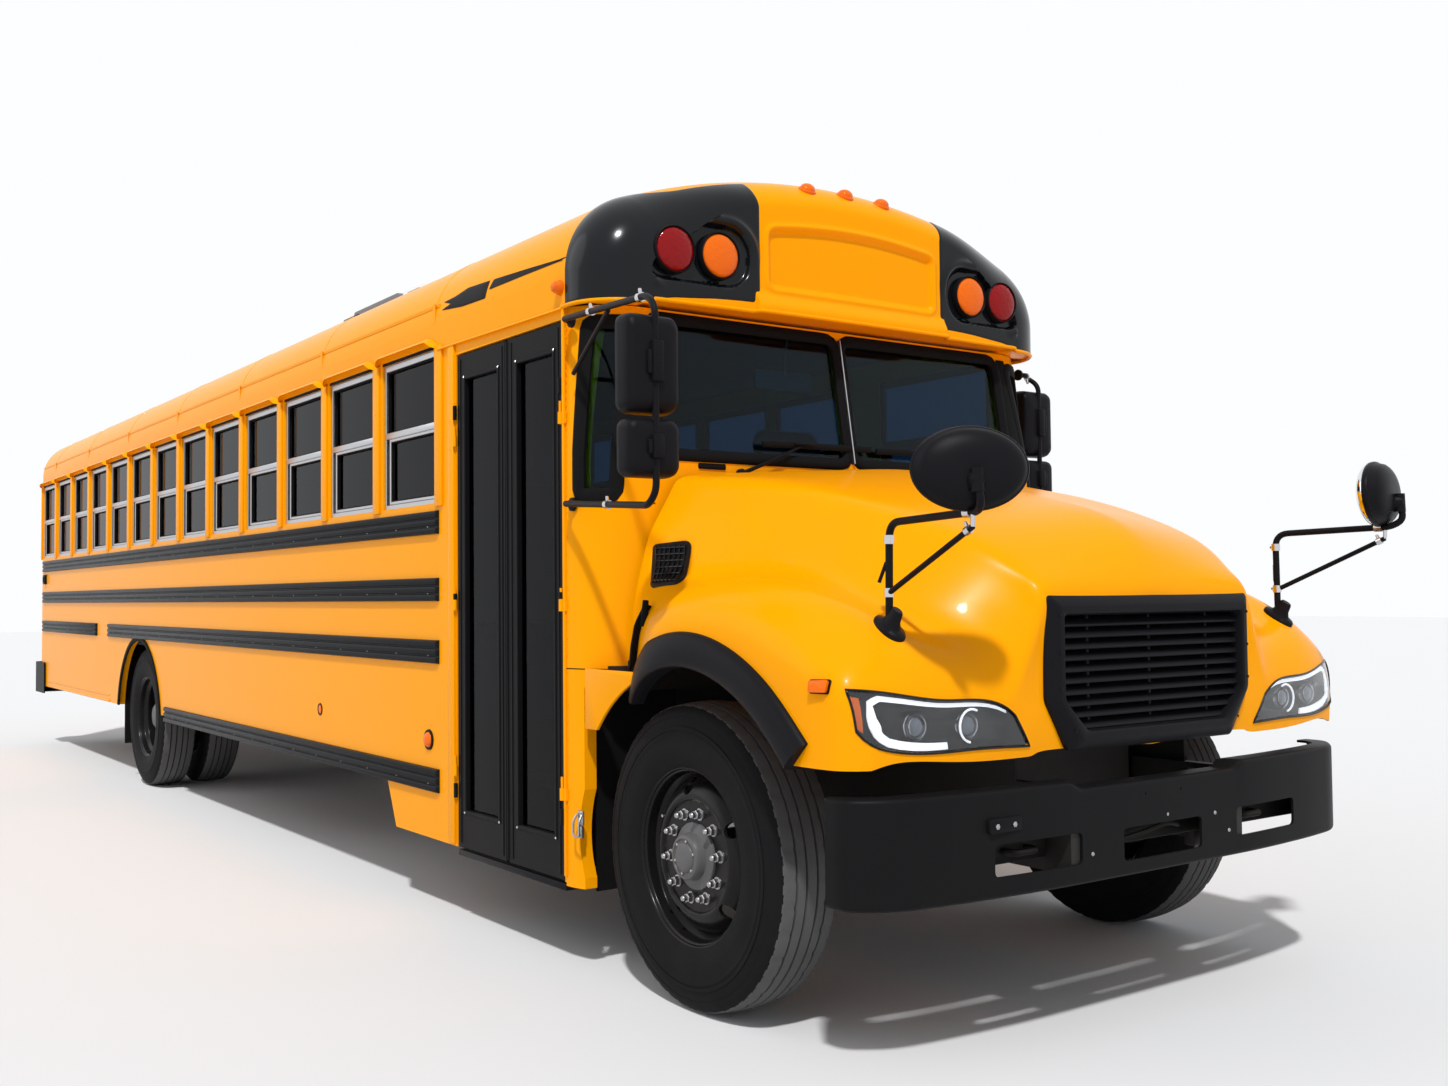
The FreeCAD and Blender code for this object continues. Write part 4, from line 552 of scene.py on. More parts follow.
def glazing(name, color, ior=1.45):
    """Tinted glass: light passes through and takes the tint."""
    made, tree, bsdf = shaded(name, dict(Base_Color=(*color, 1), Roughness=0.02, Transmission_Weight=1.0, IOR=ior))
    tree.links.new(grouped(tree, GRAIN, Size=0.9, Depth=0.02).outputs["Normal"], bsdf.inputs["Normal"])
    return made


# dark tint of the side windows, made blue as painted reflection of the sky
TINT_AND_REFLECTION = glazing("tinted glass with painted reflection", (0.012, 0.028, 0.055), ior=1.14)
WINDSHIELD = glazing("windshield glass", (0.13, 0.36, 0.52), ior=1.22)
LAMP_COVER = glazing("lamp cover", (0.92, 0.94, 0.97))


def glow(name, color, strength):
    """Light guide: pale plastic that gives off a little light of its own."""
    made = coat(name, color, 0.3, grain=90.0, depth=0.02, film=0.0, Emission_Strength=strength)
    made.node_tree.nodes["Principled BSDF"].inputs["Emission Color"].default_value = (*color, 1)
    return made


PROJECTOR = coat("projector glass", (0.10, 0.12, 0.15), 0.03, grain=4.0, depth=0.01, film=0.0, Coat_Weight=1.0,
        Coat_Roughness=0.02)
DARK_MESH = coat("radiator", (0.004, 0.004, 0.004), 0.8, grain=300.0, depth=0.6, film=0.1)
LIGHT_GUIDE = glow("light guide", (0.95, 0.97, 1.0), 0.55)


# ---- frame nodes that stay, with their finishes ---------------------------------------------------------
FINISH = {
    "body_yellow": YELLOW, "black_paint": BLACK_SATIN, "cap_black": YELLOW, "dark_glass": TINT_AND_REFLECTION,
    "aluminium_frame": ALUMINIUM, "floor_rubber": FLOOR_RUBBER, "seat_vinyl": VINYL, "dash_plastic": DASH,
    "chassis_paint": CHASSIS, "cast_block": CAST, "plain_steel": STEEL, "tyre_rubber": TYRE, "wheel_black": WHEEL,
    "lamp_clear": CLEAR_LENS, "lamp_red": RED_LENS, "white_plastic": WHITE, "sign_red": RED_SIGN,
    "flap_rubber": GASKET,
}
OWN_FINISH = {"windshield": WINDSHIELD}
for part in frame["record"]["subparts"]:
    mesh = NODES[part["node"]].data
    mesh.materials.clear()
    mesh.materials.append(OWN_FINISH.get(part["node"], FINISH[part["material_slot"]]))


# ---- tyres ---------------------------------------------------------------------------------------------
# half of the tyre's section as (across, radius), from the bead over the sidewall to the tread's middle
TYRE_HALF = np.array([
    (0.100, 0.288), (0.112, 0.292), (0.118, 0.302), (0.121, 0.315), (0.1275, 0.335), (0.1300, 0.355), (0.1310, 0.385),
    (0.1305, 0.405), (0.1310, 0.4065), (0.1310, 0.4105), (0.1300, 0.412), (0.1275, 0.435), (0.1215, 0.460),
    (0.1200, 0.463), (0.1215, 0.4645), (0.1210, 0.470), (0.1150, 0.483), (0.1085, 0.4935), (0.1060, 0.4965),
    (0.1035, 0.4990), (0.0980, 0.5010), (0.0630, 0.5055), (0.0620, 0.4930), (0.0550, 0.4930), (0.0540, 0.5065),
    (0.0260, 0.5085), (0.0250, 0.4955), (0.0175, 0.4955), (0.0165, 0.5090), (0.0, 0.5090)])
TREAD_BLOCKS, RIB_NOTCH, SHOULDER_NOTCH = 216, 0.0035, 0.0025


def build_tyre(centre_x, centre_y):
    """Ribbed tread with four grooves, a notched shoulder rib and raised rings round the sidewall."""
    section = np.concatenate([TYRE_HALF, (TYRE_HALF * (-1, 1))[-2::-1]])
    across, edge, step = section[:, 0], np.abs(section[:, 0]), np.arange(TREAD_BLOCKS)
    turn = step * 2 * math.pi / TREAD_BLOCKS
    radius = np.broadcast_to(section[:, 1], (TREAD_BLOCKS, len(section))).copy()
    rib = (section[:, 1] > 0.50) & (edge < 0.0985) & (edge > 0.053)
    radius[np.ix_(step % 6 == 0, rib)] -= RIB_NOTCH
    shoulder = (section[:, 1] > 0.482) & (section[:, 1] < 0.4995)
    radius[np.ix_(step % 4 == 0, shoulder)] -= SHOULDER_NOTCH
    points = np.stack([centre_x + radius * np.cos(turn)[:, None], np.broadcast_to(centre_y + across, radius.shape),
                       TYRE_RADIUS + radius * np.sin(turn)[:, None]], -1)
    ring = turned([(0.1312, 0.418), (0.1312, 0.430), (0.1285, 0.4305), (0.1290, 0.4175)],
                  (centre_x, centre_y, TYRE_RADIUS), (0, 1, 0), 120)
    back = (ring[0] * (1, -1, 1) + (0, 2 * centre_y, 0), [f[::-1] for f in ring[1]])
    return [grid(points, close_rows=True, close_columns=True), ring, back]


# ---- wheels --------------------------------------------------------------------------------------------
NUT_RADIUS, NUT_TALL, STUD_CIRCLE, DISC_THICK = 0.0165, 0.024, 0.1429, 0.011
HOLE_CIRCLE, HOLE_RADIUS, HOLE_COUNT = 0.228, 0.026, 5


def wheel_place(x, y, outward):
    """Centre of a wheel and its axle's outward direction."""
    return (x, y, TYRE_RADIUS), (0.0, outward, 0.0)


def round_axle(x, y, radius, count, start=0.0):
    """Places evenly spaced round an axle."""
    ring = circle(radius, count, start)
    return [(x + a, y, TYRE_RADIUS + b) for a, b in ring]


def nut(centre, outward):
    """Hexagon nut with a washer flange, and the stud's end standing out of it."""
    c, axis = np.asarray(centre, float), (0, outward, 0)
    hexagon = circle(NUT_RADIUS, 6, 0.3)

    def ring(share, out):
        return lift(hexagon * share + c[[0, 2]], "y", c[1] + outward * out)
    body = lidded(np.stack([ring(1, 0.004), ring(1, NUT_TALL * 0.9), ring(0.86, NUT_TALL)]))
    washer = knob(c, axis, [(0, 0), (0, NUT_RADIUS * 1.28), (0.005, NUT_RADIUS * 1.24), (0.006, 0)], 14)
    wide, tip = NUT_RADIUS * 0.62, NUT_TALL + 0.017
    stud = knob(c, axis, [(0, 0), (NUT_TALL * 0.8, wide), (tip - 0.004, wide), (tip, NUT_RADIUS * 0.45), (tip, 0)], 10)
    return [body, washer, stud]


def rim_shell(x, y, outward):
    """Rolled steel rim: flange lips, bead seats and the dropped well, in one thin section."""
    section = [(0.100, 0.3015), (0.112, 0.3005), (0.1135, 0.293), (0.108, 0.287), (0.096, 0.2845), (0.060, 0.2835),
               (0.040, 0.262), (-0.020, 0.262), (-0.050, 0.2835), (-0.096, 0.2845), (-0.108, 0.287), (-0.1135, 0.293),
               (-0.112, 0.3005), (-0.100, 0.3015), (-0.100, 0.296), (-0.104, 0.2955), (-0.106, 0.291), (-0.098, 0.279),
               (-0.053, 0.277), (-0.024, 0.2545), (0.044, 0.2545), (0.063, 0.277), (0.098, 0.279), (0.106, 0.291),
               (0.104, 0.2955), (0.100, 0.296)]
    return turned(round_corners(section, 0.004, 3), *wheel_place(x, y, outward), 96)


def disc_shell(x, y, outward, section):
    """Pressed wheel disc: a dished section of one thickness."""
    line = smooth_line(section, 44)
    run = unit(np.gradient(line, axis=0))
    side = np.stack([-run[:, 1], run[:, 0]], 1) * DISC_THICK * 0.5
    return turned(np.concatenate([line + side, (line - side)[::-1]]), *wheel_place(x, y, outward), 120)


def front_wheel(hand):
    """Rim, deep disc, nuts with the valve, and the hub with its oil cap."""
    y = hand * FRONT_TRACK
    centre, axis = wheel_place(0.0, y, hand)
    dish = [(0.016, 0.2585), (0.030, 0.2580), (0.048, 0.2490), (0.070, 0.2310), (0.085, 0.2110), (0.0890, 0.1990),
            (0.0880, 0.1890),
            (0.0790, 0.1860), (0.0770, 0.1800), (0.0770, 0.1400), (0.0770, 0.1140)]
    rims, discs = [rim_shell(0.0, y, hand)], [disc_shell(0.0, y, hand, dish)]
    hub = knob(centre, axis, [
        (0.040, 0), (0.040, 0.1120), (0.086, 0.1120), (0.090, 0.1100), (0.092, 0.0960), (0.098, 0.0800),
        (0.112, 0.0765), (0.128, 0.0735), (0.132, 0.0700), (0.133, 0.0620), (0.129, 0.0600), (0.129, 0.0500),
        (0.134, 0.0480), (0.139, 0.0380), (0.141, 0.0180), (0.141, 0)], 48)
    bolts = [shape for place in round_axle(0.0, y + hand * 0.082, STUD_CIRCLE, 10, 0.12) for shape in nut(place, hand)]
    bolts += [round_head(place, axis, 0.0065, 0.006) for place in round_axle(0.0, y + hand * 0.129, 0.055, 6, 0.3)]
    valve = pipe(round_axle(0.0, y + hand * 0.045, 0.225, 1, 2.6) + round_axle(0.0, y + hand * 0.095, 0.215, 1, 2.6),
            0.005, 8)
    return rims, discs, bolts + [valve], [hub]


def rear_wheel(hand):
    """Both rims and discs of a twin wheel, set back to back, with the nuts and the long hub."""
    rims, discs = [], []
    for y, out in ((hand * (DUAL_MID + DUAL_HALF), hand), (hand * (DUAL_MID - DUAL_HALF), -hand)):
        dish = [(-0.066, 0.2585), (-0.075, 0.2580), (-0.092, 0.2500), (-0.112, 0.2360), (-0.132, 0.2150),
                (-0.142, 0.1990),
                (-0.1440, 0.1890), (-0.1450, 0.1800), (-0.1450, 0.1400), (-0.1450, 0.1140)]
        rims.append(rim_shell(-WHEELBASE, y, out))
        discs.append(disc_shell(-WHEELBASE, y, out, dish))
    y = hand * (DUAL_MID + DUAL_HALF)
    centre, axis = wheel_place(-WHEELBASE, y, hand)
    hub = [knob(centre, axis, [
        (-0.300, 0), (-0.300, 0.1120), (-0.125, 0.1120), (-0.118, 0.1060), (-0.060, 0.0980), (0.010, 0.0935),
        (0.018, 0.0920), (0.022, 0.0980), (0.040, 0.0980), (0.044, 0.0900), (0.058, 0.0700), (0.064, 0.0300),
        (0.065, 0)], 48)]
    bolts = [shape for place in round_axle(-WHEELBASE, y - hand * 0.139, STUD_CIRCLE, 10)
            for shape in nut(place, hand)]
    bolts += [round_head(place, axis, 0.0075, 0.008, 6)
            for place in round_axle(-WHEELBASE, y + hand * 0.042, 0.078, 8)]
    return rims, discs, bolts, hub


def drill(made, centre, axis, radius, length, count):
    """Cuts a straight hole through a piece."""
    c, reach = np.asarray(centre, float) + AXLE, unit(axis) * length / 2
    carve(made, pipe([c - reach, c + reach], radius, count))


def carve(made, shape):
    """Cuts a closed surface (already at the frame's place) out of a piece, once, exactly."""
    mesh = bpy.data.meshes.new("cutter")
    mesh.from_pydata(shape[0].tolist(), [], shape[1])
    mend(mesh, 1e-6)
    cut = made.modifiers.new("cut", "BOOLEAN")
    tool = placed("cutter", mesh)
    cut.operation, cut.object, cut.solver = "DIFFERENCE", tool, "EXACT"
    settle(made)
    bpy.data.objects.remove(tool)


def settle(made):
    """Puts a piece's modifiers into its mesh."""
    view = bpy.context.evaluated_depsgraph_get()
    view.update()
    flat = bpy.data.meshes.new_from_object(made.evaluated_get(view), preserve_all_data_layers=True, depsgraph=view)
    mend(flat)
    made.modifiers.clear()
    made.data = flat


def dust_and_light(made):
    """Puts the tread's running faces in a lighter finish: dust, and painted light that stands in for the sunlit tread.
    """
    made.data.materials.append(TREAD_DUST_AND_LIGHT)
    for face in made.data.polygons:
        x = face.center.x - AXLE[0]
        x = x if x > -3 else x + WHEELBASE
        if math.hypot(x, face.center.z - TYRE_RADIUS) > 0.4975:
            face.material_index = 1


def hand_holes(made, axle_x, faces, across):
    """Cuts the round holes through the sloping part of each disc."""
    for y in faces:
        for place in round_axle(axle_x, y, HOLE_CIRCLE, HOLE_COUNT, 0.5):
            drill(made, place, (0, 1, 0), HOLE_RADIUS, across, 20)
    made.data.set_sharp_from_angle(angle=math.radians(45))


for name, hand in SIDES:
    outer, inner = hand * (DUAL_MID + DUAL_HALF), hand * (DUAL_MID - DUAL_HALF)
    for end, axle_x, body, tyre, mids, holes, build in (
            ("front", 0.0, "front_wheel_", "front_tyre_", [hand * FRONT_TRACK], [hand * (FRONT_TRACK + 0.070)],
            front_wheel),
            ("rear", -WHEELBASE, "rear_wheels_", "rear_tyres_", [outer, inner],
            [outer - hand * 0.115, inner + hand * 0.115], rear_wheel)):
        body += name
        tyres = [shape for y in mids for shape in build_tyre(axle_x, y)]
        dust_and_light(piece(end + "_tread_" + name, tyres, body, "tyre_rubber", TYRE, replaces=(tyre + name,), sharp=40))
        rims, discs, bolts, hub = build(hand)
        piece(end + "_rim_" + name, rims, body, "wheel_black", WHEEL, replaces=(body,), sharp=45)
        hand_holes(piece(end + "_disc_" + name, discs, body, "wheel_black", WHEEL, sharp=45), axle_x, holes, 0.060)
        piece(end + "_hub_" + name, hub, body, "wheel_black", HUB_GREY, sharp=45)
        piece(end + "_nuts_" + name, bolts, body, "plain_steel", STEEL, sharp=30)


# ---- hood ----------------------------------------------------------------------------------------------
# one row per station, from the windshield to the nose's lower edge; columns from the crown out and down:
# crown, crease, valley, fender, side, low edge
HOOD_ROWS = np.array([
    [(-0.425, 0.0, 1.876), (-0.425, 0.880, 1.800), (-0.425, 1.010, 1.590),
     (-0.425, 1.052, 1.420), (-0.425, 1.075, 1.300), (-0.425, 1.085, 0.880)],
    [(-0.100, 0.0, 1.848), (-0.100, 0.805, 1.772), (-0.100, 1.000, 1.480),
     (-0.100, 1.125, 1.385), (-0.100, 1.218, 1.270), (-0.100, 1.222, 0.880)],
    [(0.250, 0.0, 1.780), (0.250, 0.735, 1.706), (0.250, 0.935, 1.450),
     (0.250, 1.105, 1.418), (0.250, 1.228, 1.300), (0.250, 1.226, 0.880)],
    [(0.600, 0.0, 1.692), (0.600, 0.665, 1.600), (0.600, 0.870, 1.370),
     (0.600, 1.075, 1.372), (0.600, 1.232, 1.220), (0.600, 1.226, 0.880)],
    [(0.850, 0.0, 1.606), (0.845, 0.575, 1.492), (0.850, 0.755, 1.235),
     (0.850, 1.000, 1.250), (0.850, 1.215, 1.120), (0.838, 1.216, 0.880)],
    [(0.955, 0.0, 1.510), (0.940, 0.535, 1.425), (0.950, 0.665, 1.165),
     (0.935, 0.955, 1.145), (0.905, 1.170, 1.060), (0.878, 1.192, 0.880)],
    [(1.000, 0.0, 1.415), (0.996, 0.518, 1.372), (0.978, 0.645, 1.080),
     (0.965, 0.935, 1.045), (0.928, 1.135, 0.995), (0.893, 1.176, 0.880)],
    [(1.003, 0.0, 1.345), (0.994, 0.525, 1.220), (0.985, 0.642, 1.010),
     (0.968, 0.930, 0.985), (0.928, 1.133, 0.955), (0.900, 1.166, 0.880)],
    [(1.000, 0.0, 1.120), (0.986, 0.530, 1.010), (0.984, 0.640, 0.945),
     (0.966, 0.930, 0.935), (0.925, 1.133, 0.918), (0.906, 1.156, 0.880)],
    [(0.990, 0.0, 0.882), (0.976, 0.530, 0.882), (0.976, 0.640, 0.882),
     (0.962, 0.930, 0.882), (0.921, 1.135, 0.881), (0.911, 1.149, 0.880)],
])


HOOD_STEPS, HOOD_COLUMNS = 150, 200


def hood_surface():
    """Natural cubics from station to station, cubic B-splines from the crown to the low edge."""
    c = HOOD_ROWS

    def between(a, b, share, raised=0.0):
        return c[:, a] * (1 - share) + c[:, b] * share + (0, 0, raised)
    net = np.stack([
        c[:, 0], between(0, 1, 0.45, 0.012), between(0, 1, 0.86, 0.016), between(1, 1, 0, 0.012), between(1, 2, 0.16),
        between(1, 2, 0.55), c[:, 2], between(2, 3, 0.5), between(3, 3, 0, 0.012), between(3, 4, 0.62, 0.022),
        c[:, 4] + (0, 0.004, 0.0), between(4, 5, 0.35), between(4, 5, 0.7), c[:, 5]], 1)
    knots = np.concatenate([[0.0], np.cumsum(np.linalg.norm(np.diff(net, axis=0), axis=2).max(1))])
    at = np.interp(even_steps(HOOD_STEPS), even_steps(len(knots)), knots)
    weights = blend_weights(net.shape[1], even_steps(HOOD_COLUMNS // 2 + 1))
    half = np.einsum("uv,svk->suk", weights, natural_spline(knots, net, at))
    half[:, 0, 1] = 0.0
    return np.concatenate([half[:, :0:-1] * (1, -1, 1), half], 1)


HOOD = hood_surface()
HOOD_TREE = BVHTree.FromPolygons(HOOD.reshape(-1, 3).tolist(), grid(HOOD)[1])


def on_hood(start, toward, proud=0.0):
    """Where a line from start meets the hood's skin, and the skin's outward direction there."""
    place, normal, _, _ = HOOD_TREE.ray_cast(Vector(start), Vector(toward))
    if place is None:
        place, normal, _, _ = HOOD_TREE.find_nearest(Vector(start))
    place, normal = np.array(place), np.array(normal)
    if np.dot(normal, toward) > 0:
        normal = -normal
    return place + normal * proud, normal


def hood_side(x, z, hand, proud=0.0):
    """A place on the hood's side, seen square from that side."""
    return on_hood((x, hand * 2.0, z), (0, -hand, 0), proud)


def patch(outline, place, proud):
    """A closed outline of (u, v) places as a thin raised pad lying on the skin: place gives (point, normal)."""
    o = np.asarray(outline, float)
    middle = o.mean(0)
    rings = []
    for share, out in ((1.0, -0.004), (1.0, proud * 0.6), (0.975, proud), (0.66, proud), (0.33, proud)):
        spots = (place(u, v) for u, v in middle + (o - middle) * share)
        rings.append([p + n * out for p, n in spots])
    p, n = place(*middle)
    verts, faces = grid(np.array(rings), close_columns=True)
    count, base = len(o), len(verts)
    last = base - count
    faces += [[base, last + i, last + (i + 1) % count] for i in range(count)]
    return np.concatenate([verts, [p + n * proud]]), faces + [list(range(count))[::-1]]


WHEEL_ARCH = np.array([(-0.300, 1.000), (-0.130, 1.090), (0.120, 1.150), (0.330, 1.110), (0.520, 1.010),
        (0.672, 0.872)])
GRILLE_HALF_TOP, GRILLE_HALF_LOW, GRILLE_LOW, GRILLE_BEND, GRILLE_HIGH = 0.505, 0.405, 0.890, 1.044, 1.362


def grille_ring(inset):
    """The grille opening's outline as (y, z), drawn in by `inset`."""
    low, high = (inset - GRILLE_HALF_LOW, GRILLE_LOW + inset), (inset - GRILLE_HALF_TOP, GRILLE_HIGH - inset)
    right = [low, (high[0], GRILLE_BEND), high]
    return np.array(right + [(-y, z) for y, z in reversed(right)])


LAMP_TOP = np.array([(1.192, 1.106), (1.120, 1.099), (0.900, 1.066), (0.650, 1.024), (0.632, 1.010)])
LAMP_LOW = np.array([(1.176, 0.990), (1.150, 0.958), (1.092, 0.934), (0.800, 0.920), (0.566, 0.914)])


def lamp_edge(points):
    """A headlamp's upper or lower edge, as natural cubics."""
    knots = run_length(points)
    return natural_spline(knots, points, np.linspace(0, knots[-1], 28))


LAMP_EDGES = lamp_edge(LAMP_TOP), lamp_edge(LAMP_LOW)


def lamp_face(s, t, hand, inset=0.0, back=0.0):
    """A place on the headlamp: s from its outer end inward, t from its lower edge up; back is behind the skin."""
    s = inset + s * (1 - 2 * inset)
    t = inset * 2.5 + t * (1 - 5 * inset)
    a, b = (np.array([np.interp(s, even_steps(len(edge)), edge[:, i]) for i in (0, 1)]) for edge in LAMP_EDGES)
    y, z = b + (a - b) * t
    return on_hood((2.0, hand * y, z), (-1, 0, 0))[0] - (back, 0, 0)


def lamp_grid(hand, s0, s1, t0, t1, inset=0.0, back=0.0, rows=22, columns=8):
    """Evenly spaced places over part of a headlamp."""
    return np.array([[lamp_face(s, t, hand, inset, back) for t in np.linspace(t0, t1, columns)]
                     for s in np.linspace(s0, s1, rows)])


def thick_patch(points, toward, depth):
    """A grid of places as a closed plate: the same grid again, depth away, joined round the rim."""
    rows, columns = points.shape[:2]
    verts, front = grid(points)
    n = len(verts)
    faces = front + [[n + i for i in reversed(f)] for f in front]
    ids = np.arange(n).reshape(rows, columns)
    rim = list(ids[0, :]) + list(ids[1:, -1]) + list(ids[-1, -2::-1]) + list(ids[-2:0:-1, 0])
    faces += [[rim[i], rim[(i + 1) % len(rim)], n + rim[(i + 1) % len(rim)], n + rim[i]] for i in range(len(rim))]
    return np.concatenate([verts, verts + np.asarray(toward, float) * depth]), faces


def inside(outline, places):
    """Which (u, v) places lie within a closed outline."""
    o, p = np.asarray(outline, float), np.asarray(places, float)
    hit = np.zeros(len(p), bool)
    for (u0, v0), (u1, v1) in zip(o, np.roll(o, -1, 0)):
        crosses = (v0 > p[:, 1]) != (v1 > p[:, 1])
        at = u0 + (p[:, 1] - v0) * (u1 - u0) / (v1 - v0 if v1 != v0 else 1e-9)
        hit ^= crosses & (p[:, 0] < at)
    return hit


def nearest_on(outline, place):
    """The place on a closed outline nearest to a given one."""
    o = np.asarray(outline, float)
    run = np.roll(o, -1, 0) - o
    share = np.clip(np.sum((place - o) * run, 1) / (np.sum(run * run, 1) + 1e-12), 0, 1)
    foot = o + run * share[:, None]
    return foot[np.argmin(np.sum((foot - place) ** 2, 1))]


def opened(points, openings):
    """The skin's quads without those inside the openings; the rim is drawn out to each opening's outline.

    An opening is (outline, the two axes it is drawn in, which vertices it may cut).
    """
    verts, faces = grid(points)
    verts, faces = verts.copy(), np.array(faces)
    keep = np.ones(len(faces), bool)
    for outline, axes, near in openings:
        within = inside(outline, verts[:, axes]) & near(verts)
        gone = within[faces].all(1) & keep
        rim = np.intersect1d(faces[gone], faces[keep & ~gone])
        keep &= ~gone
        for i in rim:
            spot = nearest_on(outline, verts[i, axes])
            start, toward = np.zeros(3), np.zeros(3)
            other = 3 - sum(axes)
            start[axes[0]], start[axes[1]] = spot
            start[other] = 2.0 if other == 0 else math.copysign(2.0, verts[i, 1])
            toward[other] = -math.copysign(1.0, start[other])
            place = HOOD_TREE.ray_cast(Vector(start), Vector(toward))[0]
            if place is not None and np.linalg.norm(np.array(place) - verts[i]) < 0.08:
                verts[i] = place
    return verts, faces[keep].tolist()


def build_hood():
    """Skin of the hood with its wheel openings, grille opening and headlamp pockets."""
    arch = np.concatenate([[(-0.90, 0.70), (-0.90, 1.000)], smooth_arch(0.0, 60), [(0.690, 0.70)]])
    openings = [(arch, [0, 2], lambda v: np.abs(v[:, 1]) > 0.70),
                (grille_ring(0.006), [1, 2], lambda v: v[:, 0] > 0.80)]
    for hand in (-1, 1):
        edge = np.concatenate([LAMP_EDGES[0], LAMP_EDGES[1][::-1]]) * (hand, 1)
        openings.append((edge, [1, 2], lambda v: v[:, 0] > 0.45))
    made = piece("hood_skin", [opened(HOOD, openings)], "hood", "body_yellow", YELLOW, replaces=("hood_shell",),
            closed=False, sharp=60)
    facing_up = made.data.polygons[len(made.data.polygons) // 4].normal.z > 0
    shell = made.modifiers.new("thickness", "SOLIDIFY")
    shell.thickness, shell.offset = 0.009, -1.0 if facing_up else 1.0
    settle(made)
    made.data.set_sharp_from_angle(angle=math.radians(50))


def smooth_arch(out, count):
    """The wheel opening's edge, moved outward by `out`."""
    knots = run_length(WHEEL_ARCH)
    line = natural_spline(knots, WHEEL_ARCH, np.linspace(0, knots[-1], count))
    along = unit(np.gradient(line, axis=0))
    return line + np.stack([-along[:, 1], along[:, 0]], 1) * out


def build_flare(hand):
    """Moulded black lip round the front wheel opening, standing proud of the fender."""
    profile = [(-0.006, -0.045), (-0.006, 0.020), (0.000, 0.030), (0.018, 0.035), (0.050, 0.034), (0.086, 0.027),
            (0.104, 0.014),
               (0.108, 0.002), (0.108, -0.012), (0.006, -0.012)]
    rings, line = [], smooth_arch(0.0, 48)
    for i, (place, way) in enumerate(zip(line, smooth_arch(1.0, 48) - line)):
        wide = min(1.0, 0.42 + 0.58 * i / (0.24 * len(line)))
        ring = []
        for radial, proud in profile:
            x, z = place + way * radial * (wide if radial > 0 else 1)
            base, _ = hood_side(x, max(z, 0.95), hand)
            ring.append((x, base[1] + hand * proud * (0.6 + 0.4 * wide), z))
        rings.append(ring)
    return lidded(np.array(rings))


def build_strap(hand):
    """Rubber hood strap with its hook and bracket behind the wheel opening."""
    places = [hood_side(x, z, hand, 0.012)[0]
            for x, z in ((-0.165, 1.335), (-0.195, 1.270), (-0.235, 1.200), (-0.290, 1.110))]
    strap = sweep(round_rect(0.016, 0.006, 0.004, 3), resample(np.array(places), 14), up=(1, 0, 0))
    top, foot = hood_side(-0.165, 1.335, hand, 0.010)[0], hood_side(-0.285, 1.120, hand, 0.012)[0]
    grip = pipe([top + (0, hand * 0.012, 0.018), top + (0, hand * 0.016, -0.03), top + (-0.01, hand * 0.018, -0.07)],
            [0.010, 0.013, 0.009], 10)
    hook = block(foot[0] - 0.018, foot[0] + 0.018, foot[1] - 0.010, foot[1] + 0.012, foot[2] - 0.035,
            foot[2] + 0.03, 0.005)
    return [strap, grip, hook]


def build_vent(hand):
    """Louvred vent behind the fender: a moulded frame and its mesh."""
    corners = np.array([(-0.272, 1.398), (-0.385, 1.556), (-0.205, 1.566), (-0.088, 1.412)])

    def left(z):
        return -0.272 - 0.715 * (z - 1.398)
    frame_pad = patch(round_corners(corners, 0.030, 5), lambda x, z: hood_side(x, z, hand), 0.007)
    bars = []
    for i in range(6):
        z = 1.420 + i * 0.0235
        line = np.array([hood_side(x, z, hand, 0.009)[0] for x in np.linspace(left(z) + 0.020, left(z) + 0.164, 8)])
        bars.append(pipe(line, 0.0035, 6))
    for i in range(7):
        line = np.array([hood_side(left(z) + 0.025 + i * 0.0235, z, hand, 0.0105)[0]
                for z in np.linspace(1.414, 1.546, 7)])
        bars.append(pipe(line, 0.003, 6))
    return [frame_pad], bars


build_hood()
for name, hand in SIDES:
    piece("hood_flare_" + name, [build_flare(hand)], "hood", "flap_rubber", BLACK_MOULDED, sharp=50)
    pad, bars = build_vent(hand)
    piece("hood_vent_" + name, pad + bars, "hood", "flap_rubber", BLACK_MOULDED, BLACK_GLOSS,
          parts=[0] + [1] * len(bars))
    piece("hood_strap_" + name, build_strap(hand), "hood", "flap_rubber", GASKET)


